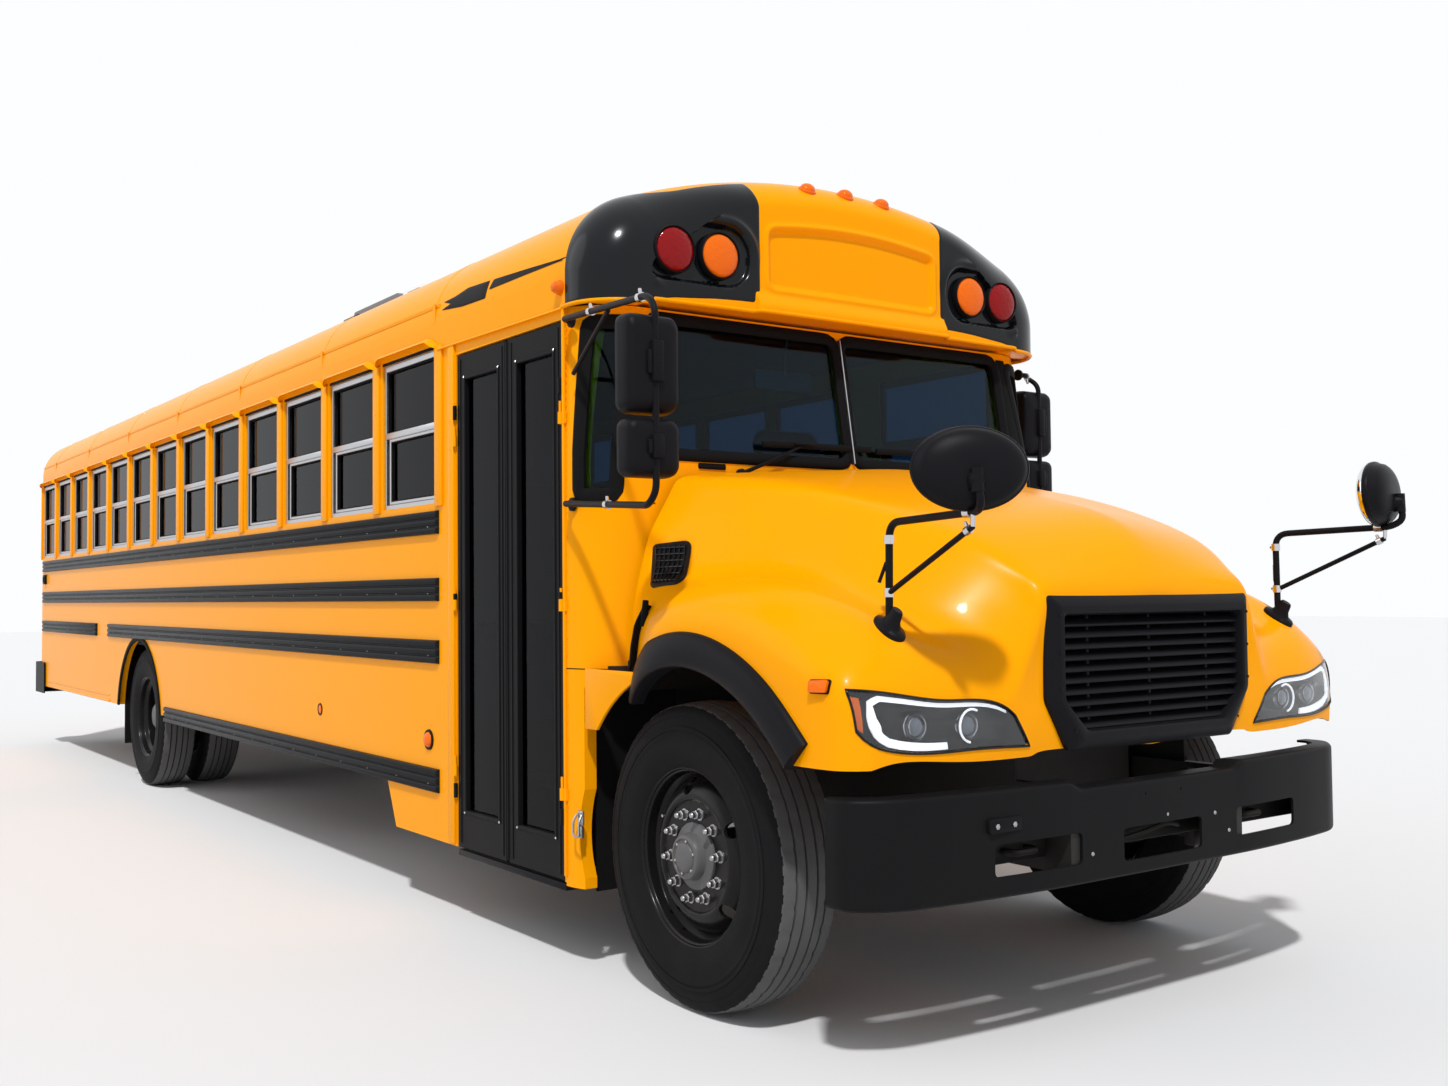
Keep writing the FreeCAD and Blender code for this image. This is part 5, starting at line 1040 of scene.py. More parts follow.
# ---- grille and headlamps --------------------------------------------------------------------------------
def build_grille():
    """Proud moulded surround with bevelled sides, ten blades, two posts, and dark mesh behind."""
    def ring(inset, x):
        return lift(round_corners(grille_ring(inset), 0.016, 4), "x", x)
    surround = np.stack([ring(0.002, 0.955), ring(-0.004, 0.990), ring(-0.004, 0.998), ring(0.004, 1.008),
            ring(0.030, 1.026), ring(0.034, 1.0275),
                         ring(0.050, 1.0275), ring(0.056, 1.024), ring(0.062, 1.006), ring(0.062, 0.940),
                         ring(0.055, 0.940)])
    shapes = [grid(surround, close_rows=True, close_columns=True)]
    low, high = GRILLE_LOW + 0.062, GRILLE_HIGH - 0.062
    step = (high - low) / 10
    field = grille_ring(0.058)[:3]
    blades = []
    for i in range(10):
        z = low + (i + 0.5) * step
        half = np.interp(z - 0.008, field[:, 1], -field[:, 0])
        blade = [(0.962, 0.016), (0.975, 0.011), (0.990, 0.004), (1.001, -0.004), (1.0065, -0.011), (1.0075, -0.0145),
                (1.0050, -0.0165),
                 (0.999, -0.0125), (0.988, -0.004), (0.974, 0.003), (0.962, 0.008)]
        blades.append(lidded(np.array([[(x, y, z + dz) for x, dz in blade] for y in (-half, 0.0, half)])))
    posts = [block(0.955, 0.985, y - 0.006, y + 0.006, low - 0.03, high + 0.03, 0.002) for y in (-0.300, 0.0, 0.300)]
    rivets = [round_head((1.0275, s * (0.4725 if z > GRILLE_BEND else 0.41), z), (1, 0, 0), 0.005, 0.003)
            for z in (1.30, 1.19, 1.08, 0.95) for s in (-1, 1)]
    piece("grille_surround", shapes + rivets, "hood", "dash_plastic", BLACK_MOULDED, replaces=("grille",), sharp=25)
    piece("grille_blades", blades + posts, "hood", "dash_plastic", BLACK_MOULDED, sharp=40)
    piece("grille_back", [slab(grille_ring(0.030), "x", 0.925, 0.945)], "hood", "dash_plastic", DARK_MESH, sharp=40)


def lamp_strip(hand, places, wide, back):
    """A flat light guide that follows (s, t) places over the lamp."""
    line = resample(np.array(places), 30)
    scale = np.array([0.60, 0.13])
    along = unit(np.gradient(line, axis=0) * scale)
    side = np.stack([-along[:, 1], along[:, 0]], 1) / scale
    wide = np.broadcast_to(wide, len(line))[:, None]
    left, right = line + side * wide / 2, line - side * wide / 2
    cells = np.array([[lamp_face(s, t, hand, 0.0, back) for s, t in edge] for edge in (left, line, right)])
    return thick_patch(cells, (-1, 0, 0), 0.006)


def build_headlamp(name, hand):
    """Lamp with a dark housing, two projectors, a bright light guide, an amber end and a clear cover."""
    cover = thick_patch(lamp_grid(hand, 0, 1, 0, 1, 0.004, 0.001, 30, 10), (-1, 0, 0), 0.004)
    piece("headlamp_cover_" + name, [cover], "hood", "lamp_clear", LAMP_COVER, replaces=once("headlamps", hand),
            sharp=50)
    rim_places = ([(x, 0.0) for x in np.linspace(0, 1, 26)] + [(1.0, y) for y in np.linspace(0.1, 1, 7)]
                  + [(x, 1.0) for x in np.linspace(0.97, 0, 26)] + [(0.0, y) for y in np.linspace(0.9, 0.1, 7)])
    rim = np.array([lamp_face(s, t, hand, 0.0, -0.001) for s, t in rim_places])
    gasket = sweep(circle(0.004, 6), rim, up=(1, 0, 0), closed=True)
    pocket = lamp_grid(hand, 0, 1, 0, 1, 0.0, 0.060, 26, 8)
    walls = np.array([rim - (0.004, 0, 0), rim - (0.035, 0, 0),
            np.array([lamp_face(s, t, hand, 0.0, 0.060) for s, t in rim_places])])
    housing = [grid(walls, close_columns=True), thick_patch(pocket, (-1, 0, 0), 0.006)]
    shelf = thick_patch(lamp_grid(hand, 0.18, 0.99, 0.52, 0.60, 0.0, 0.030, 20, 3), (-1, 0, 0), 0.028)
    piece("headlamp_housing_" + name, housing + [gasket, shelf], "hood", "lamp_clear", BLACK_GLOSS, sharp=40)
    places = [(0.93, 0.905), (0.60, 0.90), (0.30, 0.90), (0.15, 0.885), (0.105, 0.78), (0.105, 0.50), (0.13, 0.22),
            (0.19, 0.135), (0.33, 0.115), (0.50, 0.115)]
    wide = np.interp(np.linspace(0, 1, 30), [0, 0.40, 0.52, 0.70, 0.80, 1.0],
            [0.009, 0.012, 0.016, 0.034, 0.021, 0.017])
    piece("headlamp_guide_" + name, [lamp_strip(hand, places, wide, 0.010)], "hood", "white_plastic", LIGHT_GUIDE,
            sharp=50)
    amber = thick_patch(lamp_grid(hand, 0.0, 0.045, 0.14, 0.86, 0.008, 0.008, 4, 8), (-1, 0, 0), 0.004)
    piece("headlamp_amber_" + name, [amber], "hood", "lamp_red", AMBER_LENS, sharp=50)
    glass, rings = [], []
    for s, t, size in ((0.36, 0.47, 0.033), (0.67, 0.47, 0.034)):
        c = lamp_face(s, t, hand, 0.0, 0.022)
        axis = (1, 0, 0)
        glass.append(knob(c - (0.014, 0, 0), axis, [(0, 0), (0, size * 0.86), (0.006, size * 0.8),
                (0.012, size * 0.6), (0.016, size * 0.3), (0.017, 0)], 24))
        for wide, peak, front, lip, bore in ((1.04, 0.98, -0.004, 0.004, 0.9), (1.34, 1.28, -0.014, 0.003, 1.22)):
            section = np.array([(-0.036, wide), (front, wide), (front + lip, peak), (front, bore),
                    (-0.036, bore)]) * (1, size)
            rings.append(turned(section, c, axis, 28))
    piece("headlamp_lenses_" + name, glass, "hood", "lamp_clear", PROJECTOR, sharp=50)
    piece("headlamp_rings_" + name, rings, "hood", "lamp_clear", CHROME, sharp=40)
    arc = []
    c = lamp_face(0.67, 0.47, hand, 0.0, 0.014)
    for a in np.linspace(0.35, 1.45, 14) * math.pi:
        arc.append(c + (0, hand * -0.048 * math.cos(a), 0.048 * math.sin(a)))
    piece("headlamp_arc_" + name, [pipe(np.array(arc), 0.0035, 8)], "hood", "white_plastic", LIGHT_GUIDE, sharp=50)


def build_marker(name, hand):
    """Amber side marker lamp on the fender with its moulded rim."""
    middle = (0.800, 1.112)
    base = patch(round_rect(0.034, 0.020, 0.006, 4) + middle, lambda x, z: hood_side(x, z, hand), 0.007)
    face = patch(round_rect(0.030, 0.016, 0.005, 4) + middle, lambda x, z: hood_side(x, z, hand, 0.006), 0.011)
    piece("fender_marker_" + name, [base, face], "hood", "lamp_red", BLACK_MOULDED, AMBER_LENS, parts=(0, 1), sharp=40)


build_grille()
for name, hand in SIDES:
    build_headlamp(name, hand)
    build_marker(name, hand)


# ---- front cap -------------------------------------------------------------------------------------------
CORNER_Y, CORNER_Z, CORNER_RADIUS, CORNER_TURN = 0.870, 2.575, 0.330, math.radians(70.0)
CROWN_RADIUS, CROWN_TOP = 2.8737, 3.058
CAP_LOW, CAP_FRONT, CAP_REAR = 2.455, -0.420, -0.705
CAP_SWEEP, PANEL_INNER = 0.022, 0.482
PANEL_COLUMNS, PANEL_ROWS = 190, 84


def roof_half(low, count, out=0.0):
    """Half of the roof's section from the side up to the middle: a straight side, a corner arc, a crown arc."""
    turn = np.linspace(0, CORNER_TURN, 60)
    corner = np.stack([CORNER_Y + (CORNER_RADIUS + out) * np.cos(turn),
            CORNER_Z + (CORNER_RADIUS + out) * np.sin(turn)], 1)
    turn = np.linspace(CORNER_TURN, math.pi / 2, 80)
    crown = np.stack([(CROWN_RADIUS + out) * np.cos(turn),
            CROWN_TOP - CROWN_RADIUS + (CROWN_RADIUS + out) * np.sin(turn)], 1)
    line = np.concatenate([[(CORNER_Y + CORNER_RADIUS + out, low)], corner, crown[1:]])
    return resample(line, count)


def line_normals(line):
    """Outward normals of an open line that runs anticlockwise in (y, z)."""
    along = unit(np.gradient(line, axis=0))
    return np.stack([along[:, 1], -along[:, 0]], 1)


def smoothed(value):
    """Rises from 0 to 1 as the value does, level at both ends."""
    value = np.clip(value, 0, 1)
    return value * value * (3 - 2 * value)


# the cap's section, its normal, and how far each place of it draws in and runs back at the front
CAP_SECTION = roof_half(CAP_LOW, 220, 0.004)
CAP_NORMAL = line_normals(CAP_SECTION)
CAP_NORMAL[0] = (1, 0)
CAP_SIDE = smoothed((CAP_SECTION[:, 0] - 0.55) / 0.50)
CAP_IN, CAP_BACK = 0.105 + 0.135 * CAP_SIDE, 0.150 + 0.090 * CAP_SIDE


def cap_foot():
    """Where each of the section's places meets the cap's lower edge on the front face."""
    ring = CAP_SECTION - CAP_NORMAL * CAP_IN[:, None]
    foot, run = ring[:, 0].copy(), run_length(ring)
    start = np.argmax(ring[:, 0] <= 0.70)
    foot[:start] = ring[0, 0] + (ring[start, 0] - ring[0, 0]) * run[:start] / run[start]
    return foot


CAP_FOOT = cap_foot()


def cap_index(y):
    """The place in the section, counted in its points, that meets the lower edge at y."""
    return np.interp(-abs(y), -CAP_FOOT, np.arange(len(CAP_SECTION)))


def cap_places(index, r):
    """Places on the smooth cap: index runs along the half section; r from -1 to 0 is the straight part,
    0 to 1 the quarter-ellipse rounding, 1 to 2 the front face down to its lower edge."""
    index, r = np.asarray(index, float), np.asarray(r, float)
    y, z, ny, nz, deep, back, foot = (np.interp(index, np.arange(len(CAP_SECTION)), values) for values in (
        *CAP_SECTION.T, *CAP_NORMAL.T, CAP_IN, CAP_BACK, CAP_FOOT))
    turn = np.clip(r, 0, 1) * math.pi / 2
    inset = deep * (1 - np.cos(turn))
    x = np.where(r < 0, CAP_REAR + (1 + r) * (CAP_FRONT - back - CAP_REAR), CAP_FRONT - back + back * np.sin(turn))
    yy, zz = y - ny * inset, z - nz * inset
    drop = np.clip((x - CAP_REAR) / (CAP_FRONT - CAP_REAR), 0, 1) ** 2 * 0.05 * np.clip((zz - CORNER_Z) / 0.48, 0, 1)
    zz = zz - drop
    down = np.clip(r - 1, 0, 1)
    yy, zz = yy + (foot - yy) * down, zz + (CAP_LOW + 0.012 - zz) * down
    x = x - CAP_SWEEP * np.clip(r, 0, 1) * yy ** 2
    return np.stack(np.broadcast_arrays(x, yy, zz), -1)


def box_distance(y, z, half_wide, half_high, radius):
    """Signed distance to a rounded rectangle round the origin: below zero inside."""
    a, b = np.abs(y) - half_wide + radius, np.abs(z) - half_high + radius
    return np.minimum(np.maximum(a, b), 0) + np.hypot(np.maximum(a, 0), np.maximum(b, 0)) - radius


def face_relief(y, z):
    """How far the yellow face stands out: a sunk field with a raised round border, and a bevelled band below."""
    bent = z + y ** 2 / (2 * CROWN_RADIUS) * smoothed((z - 2.58) / 0.2)
    away = box_distance(y, bent - 2.700, 0.440, 0.132, 0.030)
    field = -0.014 * smoothed(-away / 0.018) + 0.008 * np.exp(-((away - 0.010) / 0.011) ** 2)
    band = 0.030 * smoothed((2.560 - z) / 0.075) * smoothed((0.500 - np.abs(y)) / 0.012 + 1)
    pocket = box_distance(np.abs(y) - 0.772, z - 2.664, 0.252, 0.124, 0.118)
    return field * (np.abs(y) < 0.55) + band - 0.050 * smoothed(0.5 - pocket / 0.020)


def build_cap():
    """Yellow skin of the front cap, its rolled lower edge and the closing plate under it."""
    rows = np.concatenate([[-1, -0.7, -0.3], np.linspace(0, 1, 18), 1 + np.linspace(0, 1, 92)[1:]])
    half = cap_places(np.arange(len(CAP_SECTION))[None, :], rows[:, None])
    on_face = rows >= 1
    half[on_face, :, 0] += face_relief(half[on_face, :, 1], half[on_face, :, 2])
    skin = grid(np.concatenate([half * (1, -1, 1), half[:, -2::-1]], 1))
    rim_half = np.concatenate([half[:, 0], half[-1, :]])
    rim = np.concatenate([rim_half * (1, -1, 1), rim_half[-2::-1]])
    rim = resample(rim[np.concatenate([[True], np.linalg.norm(np.diff(rim, axis=0), axis=1) > 1e-6])], 220)
    inner = rim.copy()
    inner[:, 0] = np.minimum(inner[:, 0], -0.60)
    plate = thick_patch(np.stack([rim, inner]) + (0, 0, 0.004), (0, 0, 1), 0.006)
    piece("cap_skin", [skin], "bus", "body_yellow", YELLOW, replaces=("front_cap",), closed=False, sharp=40)
    piece("cap_lip", [pipe(rim, 0.0085, 10), plate], "bus", "body_yellow", YELLOW, sharp=50)


def pocket_relief(y, z):
    """Lamp pocket of the black panel: sunk behind a raised brow."""
    away = box_distance(y - 0.772, z - 2.664, 0.252, 0.124, 0.118)
    brow = smoothed((z - 2.62) / 0.10) + smoothed((y - 0.90) / 0.08)
    return -0.024 * smoothed(-away / 0.020) + 0.012 * np.clip(brow, 0, 1) * np.exp(-((away - 0.016) / 0.016) ** 2)


def build_panel(name, hand):
    """Gloss black lamp panel that wraps the cap's corner, with its pocket and its turned-in edge."""
    columns = np.linspace(0.0, cap_index(PANEL_INNER), PANEL_COLUMNS)
    share = even_steps(PANEL_ROWS)[:, None]
    y = np.interp(columns, np.arange(len(CAP_SECTION)), CAP_SECTION[:, 0])
    top = -0.40 + 0.66 * smoothed((1.21 - y) / 0.42)
    near = np.clip((columns[-1] - columns) / 3.0, 0, 1)
    top = top + 0.10 * (1 - np.sqrt(1 - (1 - near) ** 2))
    r = top[None, :] + (1.925 - top[None, :]) * share
    points = cap_places(columns[None, :], r)
    normal = unit(np.cross(np.gradient(points, axis=1), np.gradient(points, axis=0)))
    normal *= np.sign(normal[40, 150, 0])
    step = np.arange(PANEL_COLUMNS)[None, :]
    near_edge = np.minimum(np.minimum(share, 1 - share) * PANEL_ROWS, np.minimum(step, PANEL_COLUMNS - 1 - step))
    relief = pocket_relief(points[..., 1], points[..., 2]) * (r >= 1)
    points = points + normal * (0.005 * smoothed(near_edge / 1.5) - 0.002)[..., None]
    points[..., 0] += relief
    piece("cap_panel_" + name, [grid(points * (1, hand, 1))], "bus", "cap_black", BLACK_GLOSS, closed=False, sharp=40)


def lamp_section(radius, high):
    """Half outline of a domed lens on its seat."""
    turn = np.linspace(0, math.pi / 2, 8)
    dome = [(high * math.sin(t), radius * math.cos(t)) for t in turn[:-1]]
    return [(-0.012, 0), (-0.012, radius)] + dome + [(high, 0)]


def round_lamp(y, z, x, radius, toward):
    """Lens and bezel ring."""
    glass = knob((x, y, z), (toward, 0, 0), lamp_section(radius, 0.022), 40)
    ring = turned([(-0.016, radius * 1.10), (0.006, radius * 1.09), (0.010, radius * 1.05), (0.006, radius * 1.005),
            (-0.016, radius * 0.99)],
                  (x, y, z), (toward, 0, 0), 44)
    return glass, ring


def build_roof_lamps():
    """Flashing lamps at the front of the roof, and the small markers along the front edge."""
    red, amber, rings = [], [], []
    for _, hand in SIDES:
        for kind, y in ((amber, 0.671), (red, 0.874)):
            glass, ring = round_lamp(hand * y, 2.6625, CAP_FRONT - CAP_SWEEP * y * y, 0.083, 1.0)
            kind.append(glass)
            rings.append(ring)
    piece("cap_lamps_red", red, "bus", "lamp_red", RED_LENS, replaces=("signal_lamps",), sharp=50)
    piece("cap_lamps_amber", amber, "bus", "lamp_red", AMBER_LENS, sharp=50)
    piece("cap_lamp_rings", rings, "bus", "cap_black", BLACK_MOULDED, sharp=40)
    markers, seats = [], []
    for y in (-0.20, 0.0, 0.20):
        place = cap_places(cap_index(y), 0.42)
        for radius, high, out in ((0.034, 0.010, seats), (0.030, 0.026, markers)):
            body, faces = knob((0, 0, 0), (0.55, 0, 0.83), lamp_section(radius, high), 24)
            out.append((body * (1.0, 1.15, 1.0) + (place[0] + 0.002, y, place[2] + 0.002), faces))
    piece("roof_markers", markers, "bus", "lamp_red", AMBER_LENS, sharp=50)
    piece("roof_marker_seats", seats, "bus", "lamp_red", AMBER_LENS, sharp=50)


build_cap()
for name, hand in SIDES:
    build_panel(name, hand)
build_roof_lamps()


# ---- cowl: glass mouldings, centre post, wipers, seams ---------------------------------------------------
COWL_CORNER, COWL_FLAT = 0.250, 0.950


def cowl_place(u, z, hand=1.0, proud=0.0):
    """On the cowl's skin: u runs from the middle line along the front, round the corner and back along the side."""
    u, z = np.broadcast_arrays(np.asarray(u, float), np.asarray(z, float))
    front = -0.450 - 0.095 * np.clip((z - 1.880) / 0.575, 0, None)
    turn = np.clip((np.abs(u) - COWL_FLAT) / COWL_CORNER, 0, math.pi / 2)
    back = np.clip(np.abs(u) - COWL_FLAT - COWL_CORNER * math.pi / 2, 0, None)
    x = front - COWL_CORNER + (COWL_CORNER + proud) * np.cos(turn) - back
    y = (np.minimum(np.abs(u), COWL_FLAT) + (COWL_CORNER + proud) * np.sin(turn)) * np.where(u < 0, -1, 1)
    return np.stack([x, y * hand, z], -1)


def trim_loop(outline, place, profile):
    """Moulding along a closed outline: profile gives (distance outward, height over the skin)."""
    o, n = np.asarray(outline, float), edge_normals(outline)
    rings = [place(*(o + n * away).T, high) for away, high in profile]
    return grid(np.stack(rings, 1), close_rows=True, close_columns=True)


def build_windshield():
    """Rubber mouldings round both panes and the quarter glasses, the grey centre post, and black pillars."""
    rubber = [(-0.016, -0.014), (-0.016, 0.002), (-0.008, 0.009), (0.012, 0.011), (0.026, 0.007), (0.032, 0.001),
            (0.032, -0.006)]
    narrow = [(-0.018, -0.014), (-0.018, 0.002), (-0.010, 0.007), (0.016, 0.009), (0.034, 0.006), (0.038, 0.0),
            (0.038, -0.006)]
    pane = resample(round_rect(0.4535, 0.255, 0.045, 6) + (0.4715, 2.160), 120, True)
    corners = [(1.252, 1.750), (1.118, 1.750), (1.112, 1.885), (1.012, 2.382), (1.160, 2.382), (1.252, 1.885)]
    quarter = resample(round_corners(corners, 0.020, 4), 100, True)
    z = np.linspace(1.765, 2.425, 16)
    z = z[z > 1.88]
    edge = np.interp(z, [1.75, 1.885, 2.43], [1.100, 1.095, 0.992])
    shapes = []
    for _, hand in SIDES:
        def place(u, z, high):
            return cowl_place(u, z, hand, high)
        pillar = np.array([place(np.linspace(0.940, e, 8), v, 0.0035) for v, e in zip(z, edge)])
        shapes += [trim_loop(pane, place, rubber), trim_loop(quarter, place, narrow),
                thick_patch(pillar, (-1, 0, 0), 0.006)]
    piece("windshield_rubber", shapes, "bus", "black_paint", GASKET, sharp=40)
    post = cowl_place(0.0, np.array([1.900, 2.420]), 1.0, 0.010)
    strip = sweep([(-0.010, -0.004), (-0.010, 0.001), (-0.006, 0.004), (0.006, 0.004), (0.010, 0.001),
            (0.010, -0.004)],
                  resample(post, 3), up=(0, 1, 0))
    piece("windshield_post", [strip], "bus", "aluminium_frame", ALUMINIUM, sharp=30)


def build_wiper(name, pivot, reach, low, high):
    """Arm from its pivot to the blade, and the blade on its carrier."""
    hinge = np.array((-0.438, pivot, 1.838))
    joint = np.array((-0.447, reach, 1.962))
    middle = (hinge + joint) / 2 + (0.022, 0, 0.0)
    arm = [pipe(resample(bent_line([hinge + (0.012, 0, 0), middle, joint], 0.05), 14),
                np.linspace(0.0085, 0.005, 14), 8),
           knob(hinge - (0.012, 0, 0), (1, 0, 0.1), [(0, 0), (0, 0.017), (0.020, 0.016), (0.026, 0.010), (0.028, 0)],
           16)]
    line = np.array([(-0.452, low, 1.963), (-0.4475, (low + high) / 2, 1.966), (-0.452, high, 1.967)])
    blade = sweep([(-0.004, -0.009), (-0.0015, -0.016), (0.0015, -0.016), (0.004, -0.009), (0.006, 0.0),
            (0.004, 0.008), (-0.004, 0.008), (-0.006, 0.0)],
                  resample(bent_line(line, 0.2), 16), up=(0, 0, 1))
    carrier = block(-0.450, -0.434, reach - 0.045, reach + 0.045, 1.960, 1.972, 0.004)
    piece("wiper_" + name, arm + [blade, carrier], "bus", "black_paint", BLACK_SATIN, sharp=50)


def build_cowl_details():
    """The cowl's seams, rivets and corner pieces, the skirt behind the hood, and a latch low on the right side."""
    rivets, dark, skirts = [], [], []
    u = np.linspace(0.96, 1.425, 24)[None, :]
    for _, hand in SIDES:
        for z in (1.712, 1.108):
            skin, sunk = (cowl_place(u, np.array([[z - 0.0018], [z + 0.0018]]), hand, proud)
                    for proud in (0.0012, -0.004))
            dark.append(grid(np.concatenate([skin, sunk[::-1]]), close_rows=True))
        rivets += [round_head((-0.683, hand * 1.2004, z), (0, hand, 0), *RIVET)
                   for z in (*np.arange(1.655, 2.42, 0.031), *np.arange(0.60, 1.62, 0.062))]
        dark.append(block(-0.4515, -0.4465, hand * 0.640, hand * 0.768, 1.848, 1.870, 0.006))
        skirt = cowl_place(np.linspace(0.30, 1.14, 30)[None, :], np.linspace(1.030, 1.120, 4)[:, None], hand, 0.007)
        skirts.append(thick_patch(skirt, (-1, 0, 0), 0.004))
    turn = np.radians(np.linspace(140.5, 109.0, 16))
    arch = np.stack([0.622 * np.cos(turn), 0.500 + 0.622 * np.sin(turn)], 1)
    corner = np.concatenate([arch, [(arch[-1, 0], 1.112), (-0.560, 1.112), (-0.560, arch[0, 1])]])
    piece("firewall_skirt", skirts, "bus", "black_paint", CHASSIS, sharp=40)
    piece("cowl_corners", both(slab(corner, "y", 1.1865, 1.1985, 0.002)), "bus", "body_yellow", YELLOW, sharp=40)
    piece("cowl_rivets", rivets, "bus", "body_yellow", YELLOW, sharp=50)
    piece("cowl_seams", dark, "bus", "black_paint", GASKET, sharp=50)
    latch = [block(-0.600, -0.566, -1.2105, -1.199, 0.545, 0.600, 0.006),
             block(-0.596, -0.570, -1.214, -1.199, 0.500, 0.545, 0.005)]
    bail = pipe(bent_line([(-0.600, -1.212, 0.585), (-0.604, -1.226, 0.560), (-0.604, -1.226, 0.508),
            (-0.562, -1.226, 0.508), (-0.562, -1.226, 0.560), (-0.566, -1.212, 0.585)], 0.012), 0.0045, 8)
    screws = [round_head((x, -1.2105, z), (0, -1, 0), 0.005, 0.003) for x in (-0.592, -0.574) for z in (0.592, 0.553)]
    piece("cowl_latch", latch + [bail] + screws, "bus", "plain_steel", STEEL, sharp=40)


build_windshield()
build_wiper("right", -0.575, -0.262, -0.460, 0.100)
build_wiper("left", 0.800, 0.487, 0.130, 0.690)
build_cowl_details()


# ---- front bumper ----------------------------------------------------------------------------------------
def bumper_line(inset):
    """The bumper's plan from the right end round the front to the left end."""
    half = [(1.030 - inset, 0.0), (1.026 - inset, 0.55), (0.998 - inset, 0.88), (0.965 - inset, 1.085),
            (0.872 - inset * 0.6, 1.205 - inset), (0.790, 1.205 - inset)]
    half = bent_line(half, 0.14, 9)
    half = half[np.concatenate([[True], np.linalg.norm(np.diff(half, axis=0), axis=1) > 1e-5])]
    return resample(np.concatenate([half[::-1] * (1, -1), half[1:]]), 150)


def build_front_bumper():
    """Pressed channel wrapped round the corners, a step down in its upper edge between the frame horns, three slots."""
    y = bumper_line(0.0)[:, 1]
    top = 0.777 + 0.024 * smoothed((np.abs(y) - 0.385) / 0.055)
    low, soft, deep = np.full(len(y), 0.487), 0.016, 0.075
    turns = np.linspace(0.3, math.pi / 2, 5)
    plan = [(deep, top), (soft, top)]
    plan += [(soft * (1 - math.sin(t)), top - soft * (1 - math.cos(t))) for t in turns]
    plan += [(soft * (1 - math.sin(t)), low + soft * (1 - math.cos(t))) for t in turns[::-1]]
    plan += [(soft, low), (deep, low), (deep, low + 0.009), (0.022, low + 0.009), (0.0095, low + 0.020),
             (0.0095, top - 0.020), (0.022, top - 0.009), (deep, top - 0.009)]
    rings = [np.concatenate([bumper_line(inset), z[:, None]], 1) for inset, z in plan]
    body = lidded(np.array(rings).transpose(1, 0, 2))
    made = piece("bumper_channel", [body], "bus", "black_paint", BLACK_SATIN, replaces=("front_bumper",), sharp=35)
    for y0, y1, z0, z1 in ((-0.750, -0.390, 0.550, 0.645), (-0.197, 0.197, 0.535, 0.637),
            (0.390, 0.750, 0.550, 0.645)):
        hole = slab(round_rect((y1 - y0) / 2, (z1 - z0) / 2, 0.016, 5) + ((y0 + y1) / 2, (z0 + z1) / 2), "x",
                0.90, 1.10)
        carve(made, (hole[0] + AXLE, hole[1]))
    for y in (-0.089, 0.089):
        drill(made, (1.026, y, 0.735), (1, 0, 0), 0.0035, 0.1, 12)
    drill(made, (0.93, 1.13, 0.66), (1, 0.9, 0), 0.006, 0.1, 12)
    made.data.set_sharp_from_angle(angle=math.radians(35))
    plate = slab(round_rect(0.066, 0.021, 0.008, 4) + (-0.715, 0.700), "x", 1.006, 1.021, 0.002)
    bolts = [knob((1.020, y, 0.699), (1, 0, 0), [(0, 0), (0, 0.009), (0.005, 0.009), (0.007, 0.006), (0.007, 0)], 6)
            for y in (-0.752, -0.680)]
    bolts += [round_head((1.028, y, z), (1, 0, 0), 0.007, 0.003)
              for y, z in ((-0.345, 0.575), (0.345, 0.575), (0.02, 0.66), (0.27, 0.64))]
    piece("bumper_plate", [plate], "bus", "black_paint", BLACK_SATIN, sharp=35)
    piece("bumper_bolts", bolts, "bus", "plain_steel", STEEL, sharp=35)
    brackets = [block(0.86, 0.90, s * 0.36 - 0.03, s * 0.36 + 0.03, 0.505, 0.765, 0.006) for s in (-1, 1)]
    bar = block(0.895, 0.915, -0.95, 0.95, 0.560, 0.640, 0.006)
    loop = ((0.915, -0.05), (0.965, -0.05), (0.965, 0.05), (0.915, 0.05))
    hooks = [pipe(bent_line([(x, y + across, 0.60) for x, across in loop], 0.03), 0.011, 8) for y in (-0.57, 0.57)]
    cables = pipe(smooth_line([(0.94, -0.17, 0.575), (0.95, -0.05, 0.59), (0.95, 0.06, 0.60), (0.955, 0.12, 0.622),
            (0.94, 0.19, 0.60)], 20), 0.009, 8)
    piece("bumper_back", brackets + [bar] + hooks + [cables], "bus", "chassis_paint", CHASSIS, sharp=40)


build_front_bumper()


# ---- mirrors ---------------------------------------------------------------------------------------------
TUBE, BRACE = 0.0115, 0.0085  # radii


def clamp_band(line, at, radius, long=0.026):
    """A bright band with a bolt, round a tube at a place along its line."""
    p = np.asarray(line, float)
    way = unit(p[1] - p[0])
    centre = p[0] + (p[1] - p[0]) * at
    ring = turned([(-long / 2, radius), (-long / 2, radius + 0.004), (long / 2, radius + 0.004), (long / 2, radius)],
            centre, way, 20)
    side = unit(np.cross(way, (0.3, 0.9, 0.1)))
    bolt = knob(centre + side * (radius + 0.001), side,
            [(0, 0), (0, 0.006), (0.014, 0.006), (0.016, 0.004), (0.016, 0)], 8)
    return [ring, bolt]


